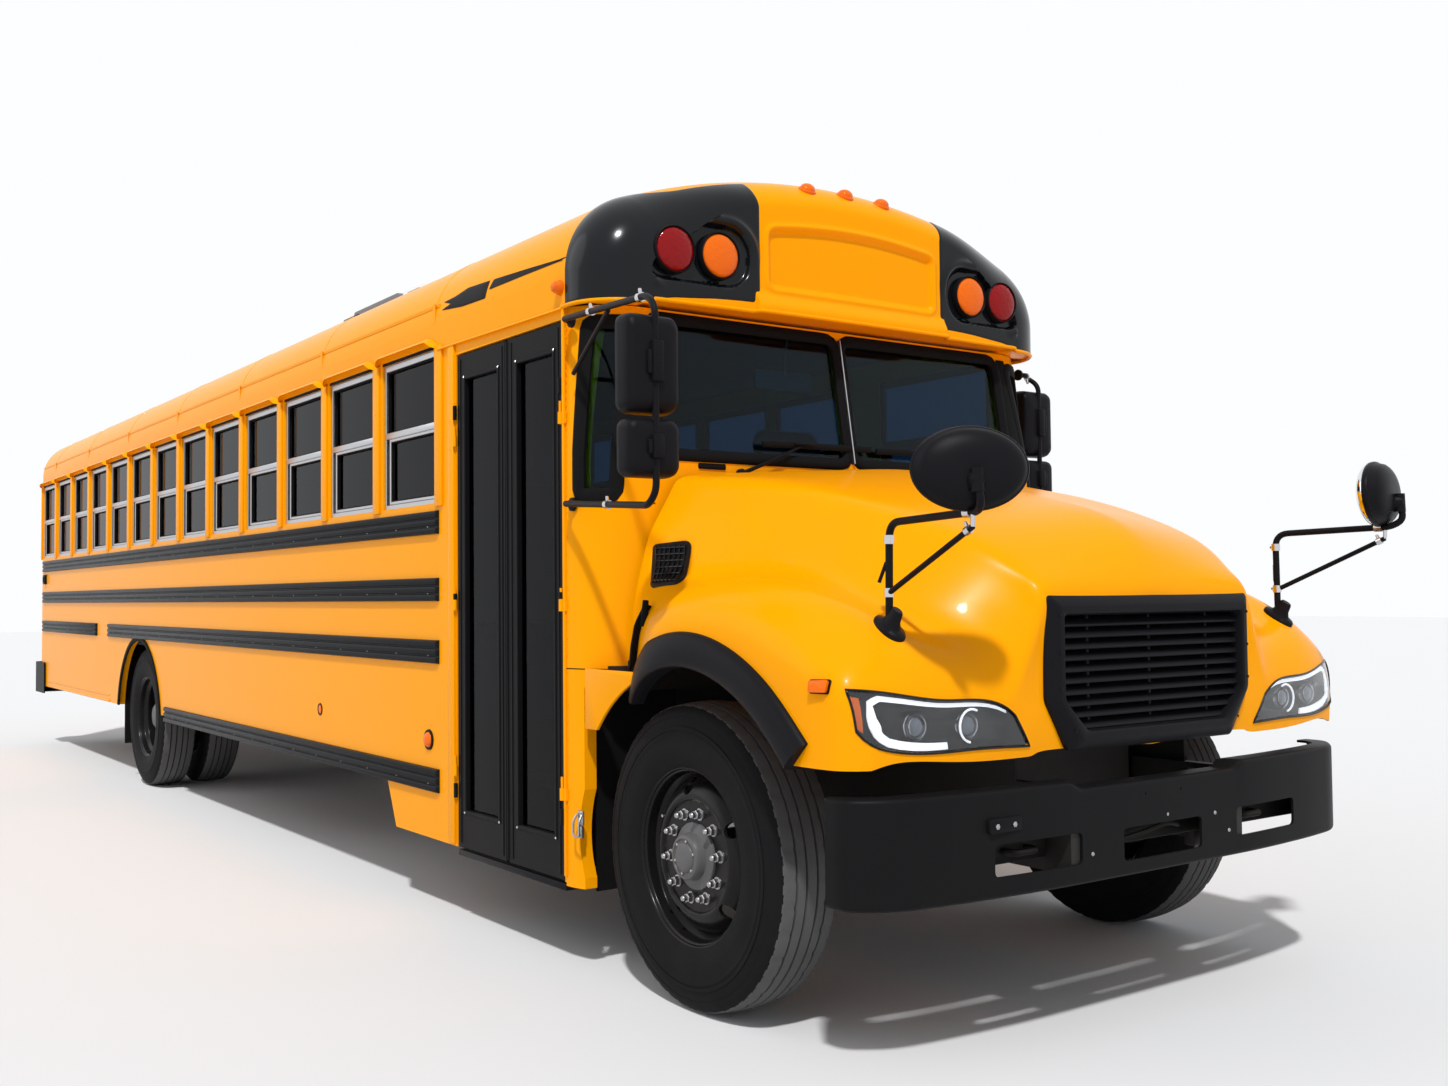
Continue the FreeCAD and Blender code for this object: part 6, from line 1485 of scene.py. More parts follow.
def oval_head(centre, toward, wide, high):
    """Crossing mirror: a domed oval back with a rolled rim, and the mirror face on the other side."""
    toward = unit(toward)
    side = unit(np.cross((0, 0, 1.0), toward))
    rise, c = np.cross(toward, side), circle(1.0, 64)

    def ring(share, ahead):
        return np.asarray(centre) + toward * ahead + side * (c[:, :1] * wide * share) + rise * (c[:, 1:] * high * share)
    back = [ring(share, ahead) for share, ahead in (
        (0.985, -0.012), (1.0, -0.010), (1.012, -0.004), (1.012, 0.002), (0.998, 0.007), (0.975, 0.008),
        (0.965, 0.009))]
    back += [ring(0.965 - 0.93 * t, 0.009 + 0.052 * math.sqrt(1 - (1 - t) ** 2.6)) for t in even_steps(16)[1:]]
    face = [ring(0.972 * math.cos(t) + 0.001, -0.012 - 0.045 * math.sin(t)) for t in np.linspace(0, math.pi / 2, 10)]
    return lidded(np.array(back)), lidded(np.array([ring(0.972, -0.006)] + face))


def build_crossing_mirror(name, hand):
    """Oval mirror on a bent tube with its brace, clamps, socket and foot on the fender."""
    toward = unit((math.cos(math.radians(30.0)), -math.sin(math.radians(30.0)), 0.02) if hand < 0
            else (0.96, 0.25, 0.05))
    centre = np.array((1.196, hand * 1.020, 1.707))
    back, face = oval_head(centre, toward, 0.163, 0.115)
    foot, normal = on_hood((0.822, hand * 0.977, 1.6), (0, 0, -1))
    elbow = (0.822, hand * 0.972, 1.580)
    end = np.array((1.235, hand * 1.030, 1.590))
    socket = centre + toward * 0.072 + (0, 0, -0.035)
    rise = socket + (0.012, 0, -0.062)
    tube = bent_line([foot + (0, 0, 0.01), elbow, end, rise, socket], 0.050, 8)
    parts = [pipe(tube, TUBE, 14), back]
    brace_low, brace_high = foot + (0.004, hand * 0.002, 0.105), end - (0.022, 0.0, 0.040)
    parts.append(pipe([brace_low, brace_high], BRACE, 10))
    rod_low, rod_high = foot + (-0.022, hand * 0.018, 0.135), np.array(elbow) + (-0.010, hand * 0.004, -0.115)
    parts.append(pipe([rod_low, rod_high], 0.0055, 8))
    side = unit(np.cross(normal, (0.0, 1.0, 0.0)))
    cross, c = np.cross(normal, side), circle(1.0, 28)
    oval = side * (c[:, :1] * 0.062) + cross * (c[:, 1:] * 0.040)
    parts.append(lidded(np.array([foot + oval * share + normal * high for share, high in (
        (1.0, -0.010), (1.0, 0.005), (0.94, 0.010), (0.60, 0.016), (0.42, 0.034), (0.36, 0.060), (0.30, 0.066))])))
    parts.append(knob(socket - toward * 0.026, toward,
            [(0, 0), (0, 0.028), (0.012, 0.027), (0.030, 0.023), (0.040, 0.016), (0.042, 0)], 20))
    parts.append(pipe([socket + (0, 0, -0.034), socket + (0, 0, 0.030)], [0.019, 0.017], 16))
    piece("crossing_mirror_" + name, parts, "hood", "black_paint", BLACK_MOULDED,
            replaces=once("crossing_mirrors", hand), sharp=40)
    piece("crossing_glass_" + name, [face], "hood", "lamp_clear", MIRROR, sharp=50)
    bright = clamp_band((foot, elbow), 0.34, TUBE) + clamp_band((foot, elbow), 0.84, TUBE) + clamp_band((elbow, end),
            0.90, TUBE)
    bright += clamp_band((brace_low, brace_high), 0.95, BRACE, 0.018)
    bright += [pipe([end - (0.020, 0, 0.006), brace_high], 0.007, 8)]
    bright += [round_head(p + normal * 0.008, normal, 0.006, 0.004)
            for p in (foot + side * 0.048, foot - side * 0.048, foot + cross * 0.030, foot - cross * 0.030)]
    piece("crossing_clamps_" + name, bright, "hood", "plain_steel", CHROME, sharp=40)


# right and left: the post's place, its reach from the side, and how much higher it stands
MIRROR_SIDES = ((0.200, 0.178, 0.0), (-0.655, 0.155, 0.072))


def mirror_head(x, y, z, tall, wide, deep):
    """Moulded mirror housing: a crowned back over a rounded rectangle, its glass sunk on the rear side."""
    outline = round_rect(wide / 2, tall / 2, 0.034, 7)
    rings = []
    for share, ahead in ((0.93, -0.47), (0.985, -0.49), (1.0, -0.46), (1.0, -0.25), (0.99, 0.0), (0.965, 0.20),
            (0.90, 0.38), (0.76, 0.47), (0.5, 0.50), (0.2, 0.51)):
        rings.append(lift(outline * share + (y, z), "x", x + deep * ahead))
    glass = slab(outline * 0.925 + (y, z), "x", x - deep * 0.475, x - deep * 0.44, 0.002)
    return lidded(np.array(rings)), glass


def build_side_mirror(name, hand, post_x, reach, lift_z):
    """Rear-view mirrors of one side: a C of tube with two heads, their brackets, a stay and bright clamps."""
    body_y, post_y = hand * HALF_WIDTH, hand * (HALF_WIDTH + reach)
    high, low = 2.315 + lift_z, 1.690 + lift_z
    start = np.array((-0.640, body_y, 2.392))
    end = np.array((-0.640, body_y, 1.712))
    knee = np.array((post_x - 0.060, post_y - hand * 0.01, high + 0.012))
    line = [start, start + (0.012, hand * 0.040, 0.0), knee, (post_x, post_y, high - 0.030),
            (post_x, post_y, low + 0.010),
            (post_x - 0.045, post_y, low - 0.032), end + (0.020, hand * 0.045, 0.0), end]
    tube = bent_line(line, 0.045, 8)
    parts = [pipe(tube, TUBE, 14)]
    glasses = []
    for z, tall, wide, deep in ((2.103, 0.315, 0.198, 0.088), (1.837, 0.185, 0.198, 0.082)):
        z = z + lift_z
        x = post_x - deep / 2 + 0.006
        housing, glass = mirror_head(x, post_y, z, tall, wide, deep)
        parts.append(housing)
        glasses.append(glass)
        parts.append(block(post_x - 0.010, post_x + 0.024, post_y - 0.021, post_y + 0.021,
                z - tall * 0.20, z + tall * 0.22, 0.008))
        parts.append(block(post_x - 0.006, post_x + 0.018, post_y + hand * 0.020, post_y + hand * 0.036,
                z - tall * 0.12, z + tall * 0.12, 0.004))
    stay_top = start + (np.array(line[2]) - start) * 0.40
    if post_x > 0:
        parts.append(pipe([start + (0.03, hand * 0.01, -0.20), stay_top + (0.12, hand * 0.035, -0.02)], BRACE, 10))
    feet = [knob(p - (0, hand * 0.004, 0), (0, hand, 0),
            [(0, 0), (0, 0.026), (0.010, 0.025), (0.016, 0.016), (0.020, 0.013), (0.020, 0)], 20) for p in (start, end)]
    piece("side_mirror_" + name, parts + feet, "bus", "black_paint", BLACK_MOULDED,
            replaces=once("side_mirrors", hand), sharp=40)
    piece("side_mirror_glass_" + name, glasses, "bus", "lamp_clear", MIRROR, sharp=40)
    bright = [shape for a, b, at in ((1, 2, 0.36), (1, 2, 0.93), (6, 5, 0.55))
              for shape in clamp_band((line[a], line[b]), at, TUBE)]
    piece("side_mirror_clamps_" + name, bright, "bus", "plain_steel", CHROME, sharp=40)


for name, hand in SIDES:
    build_crossing_mirror(name, hand)
for (name, hand), measures in zip(SIDES, MIRROR_SIDES):
    build_side_mirror(name, hand, *measures)


# ---- sides: rails, windows, doors, trim ------------------------------------------------------------------
RAILS = ((1.652, -1.812, -10.880), (1.358, -1.812, -10.880), (1.086, -1.812, -8.122), (1.086, -8.545, -10.880),
        (0.527, -1.812, -6.380))
RIB_RISE = [0.0, 0.0, 0.003, 0.009, 0.022, 0.027, 0.031, 0.036, 0.040, 0.045, 0.057, 0.062, 0.066, 0.071, 0.075, 0.080,
        0.093, 0.099, 0.102, 0.102]
RIB_OUT = [-0.002, 0.008, 0.016, 0.019, 0.019, 0.016, 0.009, 0.009, 0.016, 0.019, 0.019, 0.016, 0.009, 0.009, 0.016,
        0.019, 0.019, 0.016, 0.008, -0.002]
WINDOW_PITCH, WINDOW_LONG = 0.708, 0.630
WINDOW_FRONTS = [-1.820 - WINDOW_PITCH * i for i in range(13)]
WINDOW_LOW, WINDOW_HIGH, SASH_Z = 1.787, 2.470, 2.135


def build_rails():
    """Three-ribbed rub rails with rounded ends, and the screws in their grooves."""
    rise, out = np.array(RIB_RISE), np.array(RIB_OUT)
    rails, screws = [], []
    for low, front, rear in RAILS:
        ends = ((front, 0.4), (front - 0.004, 0.85), (front - 0.012, 1.0), (rear + 0.012, 1.0), (rear + 0.004, 0.85),
                (rear, 0.4))
        rings = [np.stack([np.full(len(rise), x), HALF_WIDTH + np.where(out > 0, out * share, out), low + rise], 1)
                for x, share in ends]
        rails += both(lidded(np.array(rings)))
        for x in np.arange(front - 0.10, rear, -0.354):
            screws += both(round_head((x, HALF_WIDTH + 0.009, low + 0.0335), (0, 1, 0), 0.0045, 0.003, 6))
    piece("rail_ribs", rails, "bus", "black_paint", RAIL_BLACK, replaces=("rub_rails",), sharp=30)
    piece("rail_screws", screws, "bus", "plain_steel", STEEL, sharp=40)


def loop_frame(outer, inner, y_out, y_in, edge=0.002):
    """Flat rectangular frame in the side's plane; outer and inner are (front, rear, low, high)."""
    def ring(box, grow, y):
        f, r, low, high = box
        return [(f + grow, y, low - grow), (r - grow, y, low - grow), (r - grow, y, high + grow),
                (f + grow, y, high + grow)]
    rings = [ring(outer, 0, y_in), ring(outer, 0, y_out - edge), ring(outer, -edge, y_out), ring(inner, edge, y_out),
            ring(inner, 0, y_out - edge), ring(inner, 0, y_in)]
    return grid(np.array(rings), close_rows=True, close_columns=True)


def window_unit(front, rear):
    """One window: aluminium surround, meeting rail and lower sash, the black channels between them, and a black strip
    under the rain hood that is painted shadow.
    """
    low, high = WINDOW_LOW, WINDOW_HIGH
    field = (front - 0.020, rear + 0.020, low + 0.022, high - 0.030)
    sash = (field[0] - 0.026, field[1] + 0.026, field[2] + 0.002, SASH_Z - 0.014)

    def shrink(box, a):
        return box[0] - a, box[1] + a, box[2] + a, box[3] - a
    bright = [loop_frame((front, rear, low, high), field, 1.190, 1.166),
              loop_frame(sash, shrink(sash, 0.014), 1.184, 1.170),
              block(field[0] + 0.001, field[1] - 0.001, 1.168, 1.1925, SASH_Z - 0.015, SASH_Z + 0.014, 0.003)]
    upper = (field[0], field[1], SASH_Z + 0.014, field[3])
    dark = [loop_frame(upper, shrink(upper, 0.007), 1.180, 1.166),
            loop_frame((field[0], field[1], field[2], SASH_Z - 0.015), sash, 1.174, 1.166),
            loop_frame(shrink(sash, 0.014), shrink(sash, 0.020), 1.180, 1.166),
            # black strip along the window's top edge, under the rain hood: painted shadow of the hood
            block(front - 0.010, rear + 0.010, 1.196, 1.2035, 2.468, 2.481, 0.001)]
    return bright, dark


def visor(front, rear):
    """Rain hood over a window: a shallow lip that arches down at both its ends."""
    x = np.linspace(front - 0.004, rear - 0.050, 30)
    near = np.minimum(np.abs(x - x[0]), np.abs(x - x[-1]))
    top, out = 2.484 + 0.034 * smoothed(near / 0.075), 0.036 * smoothed((near + 0.008) / 0.045)
    section = [(-0.002, 0.002, 0), (0.45, 0.0, 1), (0.92, -0.010, 1), (1.0, -0.018, 1), (0.90, -0.019, 1),
            (0.82, -0.013, 1), (0.40, -0.005, 1), (-0.002, -0.004, 0)]
    return lidded(np.array([[(a, HALF_WIDTH + (s * o if k else s), t + dz) for s, dz, k in section]
            for a, t, o in zip(x, top, out)]))


def build_windows():
    """All side windows with their rain hoods, the yellow posts between them and the posts' rivets."""
    bright, dark, yellow, rivets = [], [], [], []
    for front in WINDOW_FRONTS + [WINDOW_FRONTS[-1] - WINDOW_PITCH]:
        is_window = front in WINDOW_FRONTS
        if is_window:
            silver, black = window_unit(front, front - WINDOW_LONG)
            bright += [s for shape in silver for s in both(shape)]
            dark += [s for shape in black for s in both(shape)]
            yellow += both(visor(front, front - WINDOW_LONG))
        yellow += both(block(front + 0.052, front - (0.022 if is_window else -0.030), 1.198, 1.211,
                1.772, 2.476, 0.004))
        for z in np.arange(1.80, 2.47, 0.112):
            rivets += both(round_head((front + 0.012, 1.211, z), (0, 1, 0), *RIVET, 6))
    silver, black = window_unit(-0.790, -1.560)
    bright, dark = bright + silver, dark + black
    yellow.append(visor(-0.790, -1.560))
    piece("window_bars", bright, "bus", "aluminium_frame", ALUMINIUM, replaces=("window_frames",), sharp=30)
    # black channels, and the painted shadow strips under the rain hoods
    piece("window_channels_and_painted_shadow", dark, "bus", "black_paint", GASKET, sharp=30)
    piece("window_hoods", yellow + rivets, "bus", "body_yellow", YELLOW, sharp=40)


def build_door_leaf(name, front, rear, front_stile, rear_stile, seal_x):
    """One entrance leaf: a black frame with a wide stile, ribs, a bead round the glass, hinge barrels and a seal."""
    outer = (front, rear, 0.324, 2.404)
    inner = (front - front_stile, rear + rear_stile, 0.478, 2.300)

    def grown(a):
        return inner[0] + a, inner[1] - a, inner[2] - a, inner[3] + a
    parts = [mirrored(loop_frame(outer, inner, 1.199, 1.160, 0.005)),
             mirrored(loop_frame(grown(0.010), grown(-0.006), 1.2035, 1.176, 0.003))]
    for x in (front - front_stile * 0.45, rear + rear_stile * 0.45):
        parts.append(block(x - 0.004, x + 0.004, -1.2025, -1.197, 0.345, 2.385, 0.002))
    parts.append(block(seal_x - 0.0055, seal_x + 0.0055, -1.2040, -1.165, 0.335, 2.395, 0.004))
    hinge = front + 0.003 if name == "front" else rear - 0.003
    for z in (0.56, 1.36, 2.16):
        parts.append(pipe([(hinge, -1.2085, z - 0.030), (hinge, -1.2085, z + 0.030)], 0.0085, 12))
    piece("entrance_frame_" + name, parts, "entrance_leaf_" + name, "black_paint", BLACK_SATIN,
            replaces=("door_leaf_" + name,), sharp=35)
    clips = [round_head((x, -1.2035, z), (0, -1, 0), 0.005, 0.003) for x in (inner[0] + 0.004, inner[1] - 0.004)
            for z in (0.474, 2.304)]
    grip = bent_line([(inner[0] - 0.03, y, z)
            for y, z in ((-1.165, 0.95), (-1.120, 0.95), (-1.120, 1.45), (-1.165, 1.45))], 0.03)
    piece("entrance_clips_" + name, clips + [pipe(grip, 0.010, 10)], "entrance_leaf_" + name, "plain_steel", CHROME,
            sharp=40)


def build_doorway():
    """Yellow posts and drip over the door, the sill under it, and the step well's grab rails."""
    posts = [block(-1.642, -1.702, -1.212, -1.198, 0.335, 2.455, 0.004),
             block(-0.6905, -0.7045, -1.209, -1.198, 0.345, 2.455, 0.003)]
    drip = sweep([(-0.004, 0.004), (0.010, 0.002), (0.017, -0.006), (0.015, -0.009), (0.008, -0.004), (-0.004, -0.003)],
                 resample([(-0.700, -1.199, 2.452), (-1.800, -1.199, 2.462)], 6), up=(0, 0, 1))
    rivets = [round_head((-1.672, -1.212, z), (0, -1, 0), *RIVET, 6) for z in np.arange(0.40, 2.44, 0.115)]
    piece("doorway_posts", posts + [drip] + rivets, "bus", "body_yellow", YELLOW, sharp=40)
    sill = [block(-0.712, -1.634, -1.196, -1.060, 0.287, 0.314, 0.005),
            block(-0.722, -1.624, -1.146, -1.080, 0.300, 0.372, 0.004)]
    ribs = [block(-0.73, -1.62, y - 0.004, y + 0.004, 0.312, 0.317, 0.001) for y in (-1.180, -1.165)]
    piece("door_sill", sill + ribs, "bus", "black_paint", BLACK_MOULDED, sharp=35)
    rails = [bent_line([(-0.860, -1.050, 0.94), (-0.860, -1.050, 1.32),
                        (-0.930, -1.020, 1.50), (-0.990, -0.980, 2.05)], 0.10),
             bent_line([(-1.560, -0.980, 1.08), (-1.560, -0.980, 1.86),
                        (-1.560, -0.700, 1.86), (-1.560, -0.700, 1.08)], 0.06)]
    piece("step_grab_rails", [pipe(line, 0.015, 12) for line in rails], "bus", "plain_steel", CHROME, sharp=40)


def roof_side(x, z, hand):
    """A place and direction on the roof's side: straight up to the corner, then round it."""
    turn = math.asin(min(1.0, max(0.0, (z - CORNER_Z) / CORNER_RADIUS)))
    radius = CORNER_RADIUS + (0.004 if x > CAP_REAR else 0.0)
    high = max(z, CORNER_Z + radius * math.sin(turn)) if z > CORNER_Z else z
    normal = np.array((0, hand * math.cos(turn), math.sin(turn)))
    return np.array((x, hand * (CORNER_Y + radius * math.cos(turn)), high)), normal


def build_side_trim():
    """Plain black stripe on the roof's edge, drip rail, lamps, arch lips and skirt beads."""
    stripe, lips, yellow, amber, seats, dark = [], [], [], [], [], []
    front = round_corners([(-1.330, 2.636), (-1.020, 2.636), (-0.720, 2.6345), (-0.662, 2.6365), (-0.720, 2.641),
            (-1.000, 2.658), (-1.302, 2.674)], 0.003, 2)
    rear = round_corners([(-1.357, 2.604), (-1.579, 2.609), (-1.788, 2.628), (-1.700, 2.643), (-1.780, 2.663),
            (-1.663, 2.669), (-1.548, 2.686), (-1.338, 2.677)], 0.003, 2)
    for _, hand in SIDES:
        stripe += [patch(resample(outline, 150, True), lambda x, z: roof_side(x, z, hand), 0.0022)
                for outline in (front, rear)]
        line = [roof_side(x, 2.655, hand)[0] for x in (-1.815, -10.960)]
        yellow.append(sweep([(-0.006, -0.004), (0.0, 0.007), (0.005, 0.007), (0.008, 0.0), (0.006, -0.006)],
                resample(line, 4), up=(0, -hand, 0)))
        turn = np.linspace(math.radians(10), math.radians(170), 60)
        arc = np.stack([-7.140 + 0.643 * np.cos(turn), np.full(60, hand * 1.199), 0.455 + 0.643 * np.sin(turn)], 1)
        lips.append(sweep([(-0.006, -0.010), (-0.006, 0.012), (0.004, 0.015), (0.024, 0.010), (0.026, 0.0),
                (0.0, -0.004)], arc, up=(0, hand, 0)))
        for z, radius in ((0.622, 0.006), (0.576, 0.009)):
            yellow.append(pipe([(-8.09, hand * HALF_WIDTH, z), (-10.58, hand * HALF_WIDTH, z)], radius, 8))
        axis = (0, hand, 0)
        amber += [knob((-1.920, hand * HALF_WIDTH, 0.750), axis, lamp_section(0.036, 0.024), 28),
                knob((-3.290, hand * HALF_WIDTH, 0.800), axis, lamp_section(0.026, 0.006), 24)]
        seats += [turned([(-0.004, 0.046), (0.007, 0.044), (0.009, 0.039), (0.004, 0.036), (-0.004, 0.036)],
                (-1.920, hand * HALF_WIDTH, 0.750), axis, 30),
                  turned([(-0.004, 0.032), (0.004, 0.031), (0.005, 0.027), (-0.004, 0.027)],
                  (-3.290, hand * HALF_WIDTH, 0.800), axis, 24)]
        amber.append(knob((-0.716, hand * HALF_WIDTH, 2.529), axis, [(-0.004, 0), (-0.004, 0.030), (0.012, 0.028),
                (0.034, 0.019), (0.040, 0.010), (0.041, 0)], 20))
        dark += [block(-10.745, -10.835, hand * 1.198, hand * 1.222, 1.535, 1.625, 0.006),
                block(-10.770, -10.810, hand * 1.220, hand * 1.228, 1.555, 1.605, 0.004)]
    piece("roof_stripe", stripe, "bus", "black_paint", BLACK_SATIN, sharp=50)
    piece("roof_drips", yellow, "bus", "body_yellow", YELLOW, sharp=40)
    piece("arch_lips", lips, "bus", "black_paint", GASKET, sharp=40)
    piece("side_lamps", amber, "bus", "lamp_red", AMBER_LENS, sharp=50)
    piece("side_lamp_seats", seats, "bus", "black_paint", BLACK_MOULDED, sharp=40)
    piece("side_boxes", dark, "bus", "black_paint", BLACK_MOULDED, sharp=40)


build_rails()
build_windows()
build_door_leaf("front", -0.716, -1.1655, 0.064, 0.084, -1.1655)
build_door_leaf("rear", -1.1795, -1.629, 0.064, 0.076, -1.1795)
build_doorway()
build_side_trim()


# ---- roof units, hatch, roof bows, rear end ---------------------------------------------------------------
def roof_z(y):
    """Height of the roof's crown at y."""
    return CROWN_TOP - CROWN_RADIUS + np.sqrt(CROWN_RADIUS ** 2 - np.asarray(y, float) ** 2)


def build_roof_unit(front, rear, half, high):
    """White moulded housing that sits on the roof's crown, with rounded shoulders and grey intakes."""
    middle, long = (front + rear) / 2, (front - rear) / 2
    rings = []
    for inset, share in ((0.0, -0.02), (0.0, 0.16), (0.006, 0.34), (0.020, 0.54), (0.048, 0.74), (0.095, 0.89),
            (0.160, 0.965), (0.26, 0.99), (half - 0.04, 1.0)):
        ahead, aside = max(long - inset * 1.7, 0.05), half - inset
        o = resample(round_rect(ahead, aside, min(max(0.17 - inset * 0.2, 0.03), 0.9 * min(ahead, aside)), 9), 112,
                True) + (middle, 0)
        base = roof_z(o[:, 1])
        rings.append(np.stack([o[:, 0], o[:, 1], base + (CROWN_TOP + high - base) * share], 1))
    slots = []
    z, grow = CROWN_TOP + high * 0.42, long / 0.85
    for x, wide, tall in ((front - 0.95 * grow, 0.36, 0.036), (front - 0.38 * grow, 0.085, 0.012),
            (rear + 0.35 * grow, 0.14, 0.018)):
        slots += both(slab(round_rect(wide * grow, tall * high / 0.19, tall * 0.8 * high / 0.19, 6) + (x, z), "y",
                half * 0.90, half - 0.004, 0.003))
    nose = [slab(round_rect(0.15 * grow, 0.012, 0.010, 5) + (s * half * 0.46, z), "x", front - 0.10,
            front - 0.004, 0.003) for s in (-1, 1)]
    return lidded(np.array(rings)), slots + nose


def build_roof():
    """Both roof units, the hatch's lid with its ribs, and the bows over the roof."""
    shells, slots = [], []
    for unit in ((-3.300, -5.000, 0.520, 0.190), (-9.450, -10.500, 0.420, 0.130)):
        shell, dark = build_roof_unit(*unit)
        shells.append(shell)
        slots += dark
    piece("roof_unit_shells", shells, "bus", "white_plastic", WHITE, replaces=("roof_units",), sharp=50)
    piece("roof_unit_slots", slots, "bus", "white_plastic", GREY_SLOT, sharp=40)
    lid = []
    for half, z in ((0.338, 3.086), (0.345, 3.090), (0.345, 3.104), (0.338, 3.110), (0.312, 3.111), (0.302, 3.120),
            (0.285, 3.130), (0.240, 3.137), (0.12, 3.139)):
        lid.append(lift(round_rect(half, half, min(0.05, half * 0.4), 6) + (-7.300, 0), "z", z))
    ribs = [block(-7.300 - 0.20, -7.300 + 0.20, y - 0.012, y + 0.012, 3.128, 3.1388, 0.004)
            for y in (-0.12, 0.0, 0.12)]
    piece("hatch_lid", [lidded(np.array(lid))] + ribs, "roof_hatch", "white_plastic", WHITE, replaces=("roof_hatch",),
            sharp=40)
    half = roof_half(2.668, 60, -0.0005)
    across = np.concatenate([half * (-1, 1), half[-2::-1]])
    normal = np.concatenate([line_normals(half) * (-1, 1), line_normals(half)[-2::-1]])
    edges = ((-0.014, -0.001), (-0.012, 0.0022), (0.012, 0.0022), (0.014, -0.001))
    bows = [lidded(np.array([lift(across + normal * out, "x", x + dx) for dx, out in edges]).transpose(1, 0, 2))
            for x in np.arange(-1.860, -11.0, -1.416)]
    piece("roof_bows", bows, "bus", "body_yellow", YELLOW, sharp=50)


def build_rear():
    """Lamps, glass mouldings, door gear and reflectors of the rear wall."""
    back = BODY_REAR

    def place(y, z, high):
        return np.stack([np.full(len(y), back - high), y, z], 1)
    rubber = [(-0.014, -0.012), (-0.014, 0.002), (-0.006, 0.007), (0.012, 0.008), (0.024, 0.005), (0.028, -0.002)]
    shapes = [trim_loop(resample(round_rect(0.265, 0.330, 0.050, 6) + (s * 0.825, 2.090), 90, True), place, rubber)
            for s in (-1, 1)]
    shapes.append(trim_loop(resample(round_rect(0.476, 0.682, 0.030, 5) + (0, 1.764), 100, True), place,
                            [(-0.002, -0.006), (-0.002, 0.004), (0.010, 0.006), (0.016, 0.003), (0.018, -0.002)]))
    shapes += [slab(round_rect(0.245, 0.105, 0.090, 8) + (s * 0.825, 2.590), "x", back + 0.002, back - 0.010, 0.004)
            for s in (-1, 1)]
    piece("rear_rubber", shapes, "bus", "black_paint", GASKET, sharp=40)
    pane = trim_loop(resample(round_rect(0.360, 0.545, 0.040, 6) + (0, 1.795), 90, True), place,
            [(a, h + 0.001) for a, h in rubber])
    piece("rear_door_rubber", [pane], "emergency_door", "black_paint", GASKET, sharp=40)
    plate = block(back - 0.010, back + 0.002, 0.375, 0.445, 1.400, 1.560, 0.004)
    lever = pipe(bent_line([(back - 0.004, 0.410, 1.480), (back - 0.050, 0.410, 1.480),
                            (back - 0.050, 0.260, 1.470)], 0.03), 0.010, 10)
    piece("rear_door_handle", [plate, lever], "emergency_door", "plain_steel", CHROME, sharp=40)
    glass = {"red": [], "amber": [], "clear": []}
    rings = []
    for tint, y, z, radius in (("amber", 0.720, 2.600, 0.070), ("red", 0.930, 2.585, 0.070),
            ("red", 1.000, 1.560, 0.088), ("amber", 1.000, 1.300, 0.088), ("clear", 0.790, 1.560, 0.060)):
        for s in (-1, 1):
            lamp, ring = round_lamp(s * y, z, back - 0.010, radius, -1.0)
            glass[tint].append(lamp)
            rings.append(ring)
    glass["red"] += [knob((back, s * 1.090, 0.930), (-1, 0, 0), lamp_section(0.036, 0.006), 24) for s in (-1, 1)]
    for tint, slot, finish in (("red", "lamp_red", RED_LENS), ("amber", "lamp_red", AMBER_LENS),
            ("clear", "lamp_clear", CLEAR_LENS)):
        piece("rear_lamps_" + tint, glass[tint], "bus", slot, finish, sharp=50)
    piece("rear_lamp_rings", rings, "bus", "black_paint", BLACK_MOULDED, sharp=40)
    screws = [round_head((-11.160, y, z), (-1, 0, 0), 0.009, 0.005) for y in (-0.40, -0.34, 0.34, 0.40)
            for z in (0.60, 0.69)]
    seams = both(slab(round_rect(0.0012, 0.42, 0.0005, 2) + (0.520, 1.30), "x", back + 0.001, back - 0.0012))
    piece("rear_bumper_bolts", screws, "bus", "plain_steel", STEEL, sharp=40)
    piece("rear_seams", seams, "bus", "black_paint", GASKET, sharp=40)


build_roof()
build_rear()


# ---- inside: seats, dash, liner ----------------------------------------------------------------------------
PAD_STEPS = 20


def swell(shape, voxel, cap):
    """The pad after it is stuffed: cloth under pressure, each point held within `cap` of where it began."""
    mesh = bpy.data.meshes.new("pad")
    mesh.from_pydata(shape[0].tolist(), [], shape[1])
    pad = placed("pad", mesh)
    remesh = pad.modifiers.new("remesh", "REMESH")
    remesh.mode, remesh.voxel_size = "VOXEL", voxel
    settle(pad)
    start = np.array([v.co for v in pad.data.vertices])
    cloth = pad.modifiers.new("cloth", "CLOTH")
    cloth.settings.quality, cloth.settings.mass = 5, 0.3
    cloth.settings.tension_stiffness = cloth.settings.compression_stiffness = 12.0
    cloth.settings.use_pressure, cloth.settings.uniform_pressure_force = True, 4.0
    cloth.settings.effector_weights.gravity = 0.0
    cloth.point_cache.frame_start, cloth.point_cache.frame_end = 1, PAD_STEPS
    for step in range(1, PAD_STEPS + 1):
        bpy.context.scene.frame_set(step)
    view = bpy.context.evaluated_depsgraph_get()
    shift = np.array([v.co for v in pad.evaluated_get(view).data.vertices]) - start
    far = np.linalg.norm(shift, axis=1)[:, None]
    faces = [list(p.vertices) for p in pad.data.polygons]
    bpy.context.scene.frame_set(1)
    bpy.data.objects.remove(pad)
    return start + shift * np.minimum(1.0, cap / (far + 1e-9)), faces


